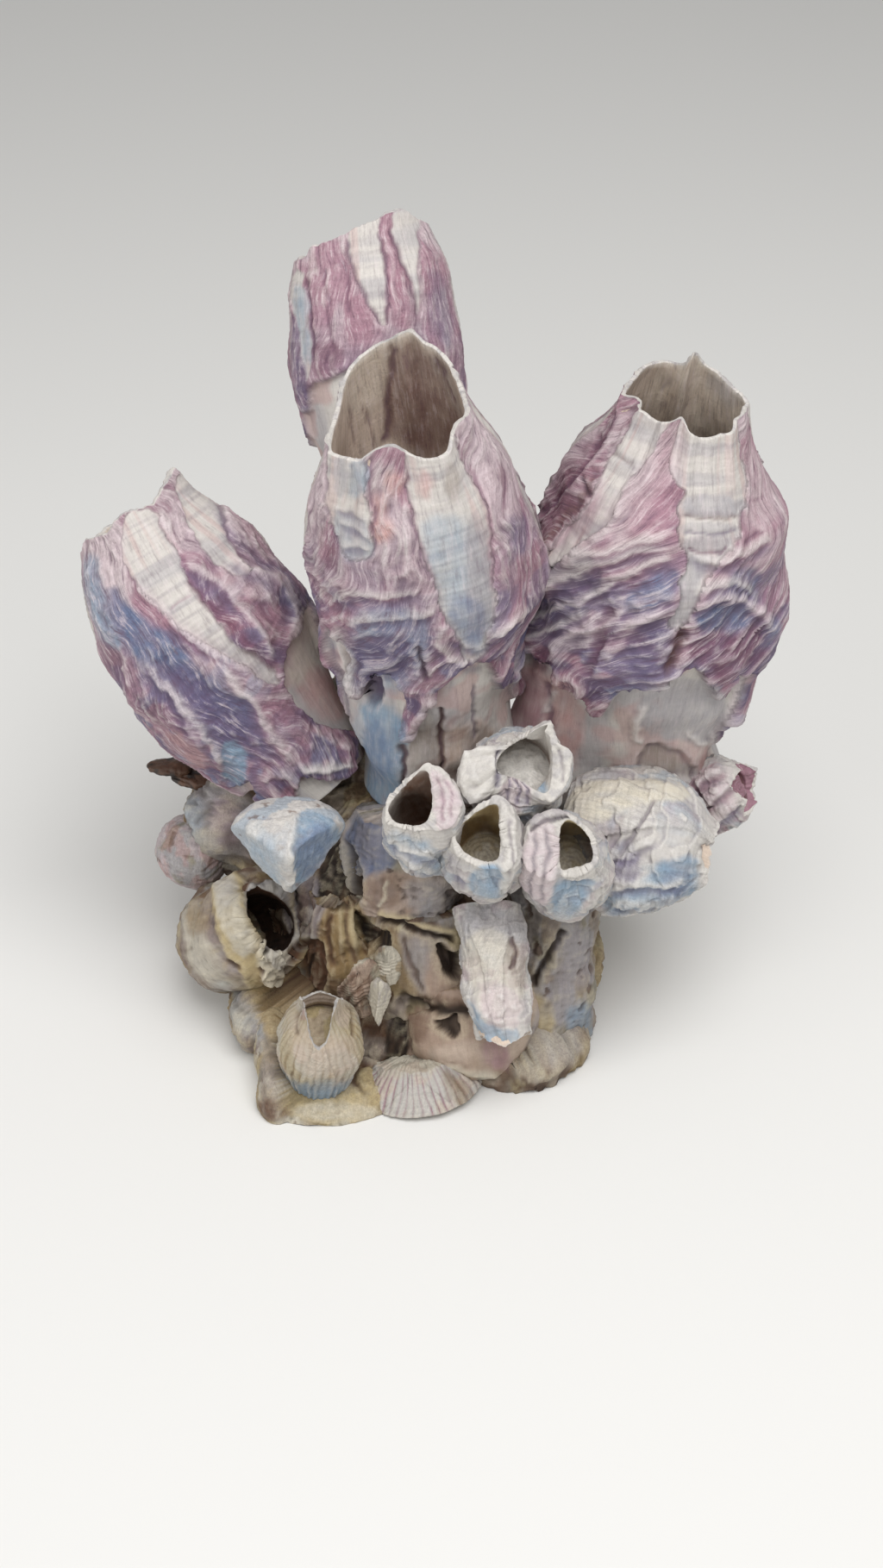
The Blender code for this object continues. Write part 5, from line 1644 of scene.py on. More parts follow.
CENTRE_OUTSIDE: tuple[Mark, ...] = (
    # Cool painted shade, with painted blue reflection, on the strips and on the low left.
    Area(Tint.AZURE, ((486, 600), (545, 600), (570, 640), (572, 745), (545, 765), (518, 700), (492, 650)),
         0.4, 2.0),
    Area(Tint.STONE, ((540, 590), (568, 605), (573, 720), (552, 745), (542, 680)), 0.65, 1.6),
    Area(Tint.AZURE, ((384, 596), (430, 600), (436, 650), (396, 658)), 0.35, 1.6),
    Area(Tint.AZURE, ((405, 700), (478, 700), (505, 730), (485, 805), (420, 805)), 0.4, 2.4),
    # Stains and lines of the strips under the lip.
    Area(Tint.PEARL, ((385, 520), (401, 525), (402, 575), (388, 580)), 0.7, 0.8),
    Area(Tint.AZURE, ((405, 530), (430, 535), (430, 575), (404, 580)), 0.45, 1.2),
    Area(Tint.SALMON, ((445, 548), (471, 545), (470, 572), (448, 575)), 0.75, 1.6),
    Area(Tint.SALMON, ((430, 574), (452, 572), (450, 600), (430, 602)), 0.7, 1.4),
    Area(Tint.SALMON, ((430, 600), (456, 598), (458, 626), (432, 628)), 0.95, 1.4),
    Area(Tint.SALMON, ((484, 548), (502, 545), (502, 582), (486, 582)), 0.6, 1.4),
    Area(Tint.BUFF, ((514, 538), (531, 538), (532, 582), (518, 584)), 0.55, 1.2),
    Groove(((430, 525), (430, 560), (432, 600), (436, 640)), 0.4, 0.4, Tint.ROSE, 0.6),
    Groove(((475, 528), (470, 562), (480, 602), (491, 642), (507, 684)), 0.35, 0.18, Tint.ROSE, 0.5),
    Groove(((541, 530), (553, 562), (564, 592), (571, 622), (571, 690)), 0.4, 0.3, Tint.ROSE, 0.6),
    # Small steps of the left strip.
    Ridge(((388, 596), (405, 590), (420, 600), (430, 612)), 0.3, 0.8, 0.3),
    Ridge(((392, 612), (408, 606), (424, 618), (434, 630)), 0.35, 0.8, 0.3),
    Ridge(((394, 634), (412, 630), (430, 642)), 0.35, 0.8, 0.3),
    Area(Tint.VIOLET, ((588, 598), (612, 596), (616, 642), (592, 645)), 0.5, 1.6),
    # Folds along the mantle's lower border, with violet and blue under them: painted shade and painted blue
    # reflection.
    Ridge(((376, 700), (400, 690), (430, 688), (462, 690), (490, 684)), 0.8, 2.0, 0.5),
    Ridge(((400, 730), (430, 712), (460, 716), (490, 712), (515, 700)), 0.7, 2.0, 0.5),
    Area(Tint.VIOLET, ((410, 745), (445, 738), (478, 742), (480, 775), (462, 790), (440, 786), (420, 800),
                       (408, 780)), 0.8, 1.8, -0.5),
    Area(Tint.BLUE, ((425, 700), (470, 700), (500, 715), (480, 735), (440, 735)), 0.4, 2.0),
    Pit((433, 803), (9, 18), 1.6, Tint.VIOLET, 0.9),
    Ridge(((386, 722), (396, 746), (404, 780), (412, 815)), 0.9, 0.6, 0.6, Tint.LIME, 0.8),
    Ridge(((500, 800), (488, 822), (474, 848), (466, 862)), 0.7, 1.2, 0.6, Tint.BLUSH, 0.5),
    Groove(((484, 748), (490, 768), (492, 790)), 0.4, 0.8, Tint.INK, 0.7),
    Ridge(((520, 730), (540, 752), (566, 742), (596, 720), (622, 700)), 0.7, 2.4, 0.5),
    Ridge(((500, 740), (530, 772), (560, 764)), 0.5, 1.6, 0.5),
    Area(Tint.BLUE, ((520, 690), (560, 690), (566, 735), (545, 760), (525, 735)), 0.45, 1.6),
    # The bare core: a pale bluish plate, its blue deepened by painted blue reflection, a beige one and a
    # grey-brown one, with seams between them.
    Area(Tint.AZURE, ((405, 810), (466, 820), (474, 880), (462, 940), (400, 940)), 0.85, 1.6),
    Area(Tint.BLUE, ((425, 835), (455, 840), (462, 890), (440, 915), (420, 890)), 0.45, 3.0),
    Area(Tint.LIME, ((402, 800), (420, 815), (424, 860), (416, 900), (404, 880)), 0.5, 1.0, 0.3),
    Area(Tint.BUFF, ((470, 850), (523, 830), (526, 900), (470, 905)), 0.7, 1.4),
    Area(Tint.CLAY, ((512, 842), (574, 830), (580, 910), (512, 912)), 0.6, 1.4, 0.3),
    Groove(((466, 862), (470, 890), (468, 920)), 0.5, 0.8, Tint.UMBER, 0.8),
    Groove(((511, 822), (513, 850), (511, 895)), 0.45, 0.8, Tint.UMBER, 0.85, 0.05),
    Groove(((548, 790), (552, 830), (548, 860)), 0.35, 0.5, Tint.STONE, 0.7),
)
CENTRE_WITHIN: tuple[Mark, ...] = (
    # Cream on the upper and left inner wall: painted light where the inside is lit.
    Area(Tint.CREAM, ((380, 430), (430, 385), (490, 375), (540, 430), (560, 520), (520, 470), (470, 430),
                      (410, 500)), 0.35, 4.0),
    # Rust over the right half of the inside: its own red-brown streaks, and painted shade.
    Area(Tint.RUST, ((462, 400), (480, 392), (520, 430), (540, 480), (520, 530), (456, 520), (448, 480),
                     (452, 430)), 0.62, 2.4),
    Groove(((455, 402), (451, 440), (449, 480), (446, 515)), 0.7, 0.4, Tint.RUST, 0.8, 0.04),
    Area(Tint.BUFF, ((505, 405), (530, 440), (541, 480), (530, 484), (514, 450), (500, 420)), 0.6, 1.4),
    Groove(((506, 414), (518, 440), (530, 468)), 0.25, 0.3, Tint.RUST, 0.6),
    Groove(((404, 470), (410, 492), (414, 520)), 0.25, 0.2, Tint.RUST, 0.4),
    Groove(((418, 470), (428, 496), (434, 524)), 0.25, 0.2, Tint.RUST, 0.5),
)

# The left barnacle's mantle, strips and marks.
LEFT_MANTLE: Line = (
    (60, 500), (420, 500), (420, 690), (385, 695), (362, 690), (350, 700), (346, 730), (336, 750), (326, 790),
    (330, 800), (346, 815), (362, 832), (378, 846), (405, 846), (416, 855), (418, 885), (405, 905), (380, 905),
    (348, 900), (344, 925), (342, 950), (318, 952), (298, 948), (290, 905), (276, 916), (262, 914), (240, 900),
    (205, 880), (180, 866), (160, 850), (60, 850),
)
LEFT_STRIPS: tuple[Line, ...] = (
    (
        (146, 590), (140, 640), (150, 665), (165, 680), (185, 705), (215, 735), (245, 755), (280, 775),
        (303, 792), (322, 796), (322, 786), (303, 762), (283, 752), (264, 736), (248, 712), (230, 692),
        (213, 668), (204, 645), (194, 620), (176, 590),
    ),
    (
        (196, 545), (216, 605), (236, 640), (256, 663), (276, 671), (296, 668), (276, 650), (262, 630),
        (256, 600), (246, 550),
    ),
)
LEFT_OUTSIDE: tuple[Mark, ...] = (
    # The outer plate, blue along the strip and at its left edge: its own blue with painted blue reflection at
    # the edge, and violet painted shade below.
    Area(Tint.BLUSH, ((105, 620), (146, 600), (145, 650), (160, 680), (150, 700), (120, 680), (105, 650)),
         0.6, 2.0),
    Area(Tint.AZURE, ((96, 650), (112, 640), (118, 680), (128, 715), (145, 750), (130, 752), (108, 720),
                      (98, 690)), 0.65, 2.0),
    Area(Tint.BLUE, ((118, 680), (140, 690), (165, 715), (200, 740), (235, 775), (270, 800), (300, 830),
                     (310, 855), (280, 850), (240, 830), (200, 800), (160, 765), (138, 740)), 0.85, 2.0, -0.4),
    Area(Tint.VIOLET, ((170, 760), (220, 790), (270, 830), (300, 850), (270, 870), (235, 850), (190, 815),
                       (160, 790)), 0.6, 2.0, -0.3),
    Ridge(((150, 668), (180, 704), (214, 738), (250, 760), (286, 780), (312, 800)),
          0.7, 0.8, 0.9, Tint.BLUSH, 0.8, None),
    Groove(((142, 650), (158, 682), (180, 708), (212, 742), (248, 764), (290, 790)), 0.3, 0.4, Tint.ROSE, 0.5),
    Groove(((196, 706), (208, 700), (224, 690)), 0.3, 0.15, Tint.ROSE, 0.4),
    # The narrow plate between the strips.
    Area(Tint.PLUM, ((212, 668), (232, 690), (256, 704), (290, 740), (320, 765), (322, 785), (296, 760),
                     (270, 740), (250, 714), (226, 690)), 0.7, 1.4, -0.3),
    Area(Tint.BLUSH, ((255, 650), (300, 662), (320, 680), (310, 700), (275, 690), (252, 672)), 0.5, 1.6, 0.4),
    Ridge(((206, 640), (230, 664), (256, 680), (280, 705), (300, 735), (322, 770)),
          0.8, 1.4, 0.5, Tint.BLUSH, 0.5),
    Ridge(((178, 588), (198, 620), (212, 648)), 0.5, 1.2, 0.5, Tint.BLUSH, 0.5, None),
    Ridge(((258, 640), (284, 662), (312, 668), (332, 690), (340, 720), (330, 748)),
          0.9, 1.6, 0.5, Tint.BLUSH, 0.5),
    Area(Tint.ROSE, ((290, 700), (330, 700), (335, 735), (318, 752), (300, 735)), 0.6, 1.4, -0.3),
    Groove(((248, 560), (258, 600), (270, 635), (295, 664)), 0.35, 0.25, Tint.PLUM, 0.45),
    Area(Tint.ROSE, ((256, 565), (290, 595), (320, 635), (360, 665), (375, 690), (350, 690), (310, 650),
                     (280, 620)), 0.6, 2.0),
    Ridge(((252, 575), (270, 612), (300, 645), (340, 668)), 0.6, 1.4, 0.5, Tint.BLUSH, 0.5),
    # Folds of the lower body, darkened violet as painted shade, with painted blue reflection in the hollow and
    # along the lower edge.
    Area(Tint.BLUSH, ((215, 752), (260, 770), (300, 792), (320, 810), (290, 815), (250, 800)), 0.4, 1.8, 0.3),
    Area(Tint.ROSE, ((285, 800), (340, 815), (370, 850), (345, 895), (300, 890), (290, 840)), 0.65, 2.0),
    Area(Tint.VIOLET, ((195, 770), (240, 785), (300, 840), (325, 885), (280, 885), (225, 845), (190, 810)),
         0.8, 2.4),
    Ridge(((250, 765), (280, 800), (300, 835), (330, 872), (346, 898)), 0.6, 1.2, 0.6, Tint.LIME, 0.35),
    Ridge(((180, 790), (215, 825), (245, 865), (258, 900)), 0.6, 1.2, 0.5, Tint.LIME, 0.35),
    Ridge(((160, 760), (190, 800), (215, 835), (240, 880)), 0.5, 1.0, 0.5, Tint.BLUSH, 0.3),
    Area(Tint.AZURE, ((256, 862), (284, 862), (287, 895), (280, 914), (262, 910), (255, 885)), 0.9, 1.0, -0.3),
    Area(Tint.SALMON, ((180, 850), (215, 850), (240, 880), (235, 896), (205, 878)), 0.5, 1.6),
    Groove(((170, 862), (200, 882), (240, 903), (262, 914)), 0.5, -0.4, Tint.AZURE, 0.8),
    # The mantle's lower tip and the bare core beside it.
    Ridge(((298, 905), (320, 900), (344, 902)), 0.4, 0.9, 0.4, Tint.BLUSH, 0.4),
    Ridge(((342, 894), (370, 892), (395, 894), (414, 888)), 0.8, 1.4, 0.5, Tint.LIME, 0.8),
    Ridge(((360, 846), (390, 862), (412, 874)), 0.5, 1.2, 0.5, Tint.BLUSH, 0.4),
    Area(Tint.CREAM, ((345, 705), (375, 700), (375, 760), (358, 790), (330, 795), (340, 750)), 0.6, 2.0),
    Area(Tint.SALMON, ((345, 790), (385, 760), (410, 800), (395, 840), (360, 830)), 0.6, 2.4),
)

BACK_MANTLE: Line = (
    (300, 200), (560, 200), (560, 470), (500, 470), (470, 450), (440, 430), (395, 428), (382, 440), (372, 446),
    (362, 450), (356, 470), (352, 486), (300, 486),
)
BACK_STRIPS: tuple[Line, ...] = (
    ((402, 250), (405, 300), (415, 330), (430, 356), (449, 386), (449, 360), (448, 330), (445, 300),
     (438, 240)),
    ((448, 240), (462, 295), (472, 320), (480, 350), (486, 372), (488, 340), (487, 300), (484, 240)),
    ((339, 320), (345, 370), (348, 400), (355, 430), (362, 448), (362, 400), (360, 370), (355, 340),
     (355, 310)),
)
BACK_OUTSIDE: tuple[Mark, ...] = (
    Area(Tint.ROSE, ((450, 300), (462, 310), (480, 360), (482, 385), (450, 380), (449, 330)), 0.7, 1.6),
    Area(Tint.ROSE, ((400, 320), (414, 335), (430, 362), (446, 386), (430, 400), (400, 410)), 0.6, 2.0),
    Area(Tint.PLUM, ((360, 400), (385, 395), (400, 410), (392, 430), (365, 442)), 0.5, 1.6),
    Area(Tint.VIOLET, ((334, 350), (346, 380), (352, 430), (360, 470), (350, 480), (336, 430)), 0.6, 1.4),
    Area(Tint.VIOLET, ((498, 310), (516, 320), (526, 400), (515, 410), (500, 370)), 0.45, 2.0),
    Area(Tint.AZURE, ((341, 330), (356, 330), (360, 400), (360, 430), (350, 410)), 0.5, 1.0),
    Groove(((402, 270), (406, 300), (416, 330), (431, 357), (449, 386)), 0.35, 0.5, Tint.PLUM, 0.6),
    Groove(((440, 265), (446, 300), (449, 330), (450, 360), (450, 386)), 0.35, 0.5, Tint.PLUM, 0.7),
    Groove(((450, 262), (463, 295), (473, 320), (481, 350), (487, 375)), 0.35, 0.4, Tint.PLUM, 0.5),
    Groove(((484, 262), (488, 300), (489, 340), (488, 375)), 0.3, 0.3, Tint.ROSE, 0.5),
    Groove(((356, 315), (357, 345), (362, 385), (363, 430)), 0.35, 0.5, Tint.PLUM, 0.6),
    Groove(((400, 300), (402, 340), (405, 370)), 0.3, 0.3, Tint.PLUM, 0.5),
    Groove(((377, 300), (378, 350), (384, 400), (390, 425)), 0.3, 0.3, Tint.PLUM, 0.4),
)

TALL_BARNACLES: tuple[Barnacle, ...] = (
    Barnacle(
        name="centre_shell",
        node="centre_barnacle",
        foot=(-3.5, -4.0, 38.0),
        lip=(-6.0, -16.0, 116.4),
        bow=(2.2, 0.0, 0.0),
        radii=((0, 9.6), (0.12, 10.4), (0.24, 11.6), (0.35, 12.6), (0.47, 13.6), (0.59, 15.2), (0.7, 15.8),
               (0.82, 14.6), (0.94, 12.4), (1.0, 11.6), (1.15, 9.6)),
        rim=((-165, 2.5), (176, 5.0), (160, 3.5), (120, 1.0), (80, 1.5), (62, 0.6), (45, -1.0), (15, -1.2),
             (8, -0.4), (-12, 1.6), (-27, 1.0), (-34, -1.4), (-55, -1.2), (-80, -0.4), (-115, 0.6)),
        plates=((-12, 18, 66), (64, 10, 44), (122, 8, 36), (178, 10, 36), (-122, 8, 36), (-68, 9, 30)),
        skirt=((-180, 0.3), (-110, 0.3), (-85, 0.34), (-60, 0.22), (-35, 0.18), (-12, 0.13), (5, 0.22),
               (25, 0.28), (55, 0.27), (80, 0.3), (120, 0.32)),
        mantle=1.9,
        bumps=((-72, 0.47, 16, 0.04, 1.8), (-25, 0.24, 22, 0.06, 1.4), (26, 0.25, 14, 0.04, 1.5),
               (95, 0.62, 26, 0.1, 2.2), (8, 0.16, 10, 0.05, -2.0), (92, 0.15, 34, 0.12, 4.6)),
        lumpiness=0.9, seed=3, wall=1.7, hollow_from=0.42, first=0.06, keel=(172.0, 9.0, 0.8),
        mouth=CENTRE_MOUTH, mantle_outline=CENTRE_MANTLE, strips=(CENTRE_STRIP_LEFT, CENTRE_STRIP_RIGHT),
        outside=CENTRE_OUTSIDE,
        within=CENTRE_WITHIN,
    ),
    Barnacle(
        name="right_shell",
        node="right_barnacle",
        foot=(34.6, 0.0, 37.5),
        lip=(37.4, -4.0, 112.9),
        bow=(-1.6, 0.0, 0.0),
        radii=((0, 14.0), (0.06, 13.4), (0.16, 12.0), (0.27, 12.6), (0.36, 15.0), (0.46, 17.4), (0.57, 18.2),
               (0.68, 17.4), (0.8, 14.8), (0.9, 11.6), (1.0, 9.8), (1.15, 8.0)),
        rim=((-172, 0.6), (174, 4.6), (160, 1.0), (130, 0.4), (100, -0.6), (75, 0.6), (60, 0.0), (40, -1.0),
             (8, -1.8), (-6, -0.6), (-16, 0.2), (-35, -1.0), (-62, -0.2), (-78, 1.0), (-95, 0.4), (-130, 0.8)),
        plates=((-32, 8, 40), (72, 12, 56), (130, 8, 30), (176, 8, 30), (-125, 8, 30), (-84, 14, 40)),
        skirt=((-180, 0.3), (-110, 0.32), (-80, 0.33), (-55, 0.26), (-30, 0.17), (-5, 0.23), (15, 0.24),
               (28, 0.2), (45, 0.18), (70, 0.25), (110, 0.3)),
        mantle=2.6,
        bumps=((-80, 0.17, 36, 0.17, 12.0),
               (-70, 0.42, 24, 0.09, 3.2), (-32, 0.27, 22, 0.07, 1.8), (48, 0.3, 20, 0.09, 2.0),
               (-20, 0.5, 26, 0.05, 1.4), (75, 0.5, 20, 0.1, 1.2), (16, 0.75, 16, 0.12, -0.6)),
        lumpiness=1.1, seed=5, wall=1.6, hollow_from=0.45, keel=(172.0, 14.0, 2.2), fibre_slope=0.8,
        mouth=RIGHT_MOUTH, mantle_outline=RIGHT_MANTLE, strips=(RIGHT_STRIP_LEFT, RIGHT_STRIP),
        outside=RIGHT_OUTSIDE,
        within=RIGHT_WITHIN,
    ),
    Barnacle(
        name="left_shell",
        node="left_barnacle",
        foot=(-19.5, -5.0, 42.0),
        lip=(-50.8, 10.0, 84.8),
        bow=(-2.2, 0.0, 0.6),
        radii=((0, 9.0), (0.12, 10.4), (0.25, 12.2), (0.4, 14.4), (0.55, 15.2), (0.75, 14.0), (0.92, 11.8),
               (1.0, 10.6), (1.15, 9.0)),
        rim=((-180, 0.0), (150, 0.0), (110, 2.0), (85, 4.5), (62, 2.8), (40, 0.8), (15, 2.0), (-10, 0.2),
             (-40, 0.8), (-62, -1.4), (-90, -1.2), (-130, 0.0)),
        plates=((-38, 16, 56), (22, 9, 26), (82, 12, 40), (140, 9, 32), (-160, 9, 32), (-100, 9, 32)),
        skirt=((-180, 0.25), (-120, 0.25), (-80, 0.2), (-50, 0.12), (-20, 0.02), (10, 0.1), (40, 0.28),
               (80, 0.34), (120, 0.3)),
        mantle=1.9,
        bumps=((22, 0.46, 16, 0.14, 2.4), (-20, 0.3, 12, 0.3, 1.6), (-70, 0.35, 20, 0.16, 1.6),
               (60, 0.62, 16, 0.1, 0.8)),
        lumpiness=1.0, seed=7, wall=1.6, hollow_from=0.5, keel=(-90.0, 12.0, 1.0),
        fibre_slope=-0.1, fold_height=0.8,
        mantle_outline=LEFT_MANTLE, strips=LEFT_STRIPS, outside=LEFT_OUTSIDE,
    ),
    Barnacle(
        name="back_shell",
        node="back_barnacle",
        foot=(-8.4, 9.0, 61.0),
        lip=(-12.4, 34.0, 125.2),
        bow=(0.4, -0.9, 0.6),
        radii=((0, 8.6), (0.16, 8.4), (0.32, 8.6), (0.45, 10.0), (0.54, 11.6), (0.65, 12.8), (0.77, 12.8),
               (0.88, 12.0), (0.96, 10.8), (1.0, 10.2), (1.15, 8.6)),
        rim=((-180, -2.0), (120, -1.0), (85, -0.6), (62, 0.0), (40, 2.0), (24, 1.2), (10, 0.0), (-8, -1.0),
             (-24, -2.0), (-45, -2.8), (-60, -4.6), (-85, -5.0), (-120, -3.0)),
        plates=((-34, 12, 40), (15, 7, 22), (66, 9, 34), (125, 9, 32), (180, 9, 32), (-88, 8, 26)),
        skirt=((-180, 0.4), (-90, 0.5), (-55, 0.52), (-20, 0.47), (20, 0.44), (90, 0.4)),
        mantle=1.2,
        bumps=((66, 0.58, 30, 0.17, 0.8),),
        lumpiness=0.6, seed=9, wall=1.5, hollow_from=0.5, keel=(0.0, 14.0, 1.2),
        fold_height=0.4, ledge_height=0.15, fibre_slope=0.0, columns=272, rows=190,
        mantle_outline=BACK_MANTLE, strips=BACK_STRIPS, outside=BACK_OUTSIDE,
    ),
)

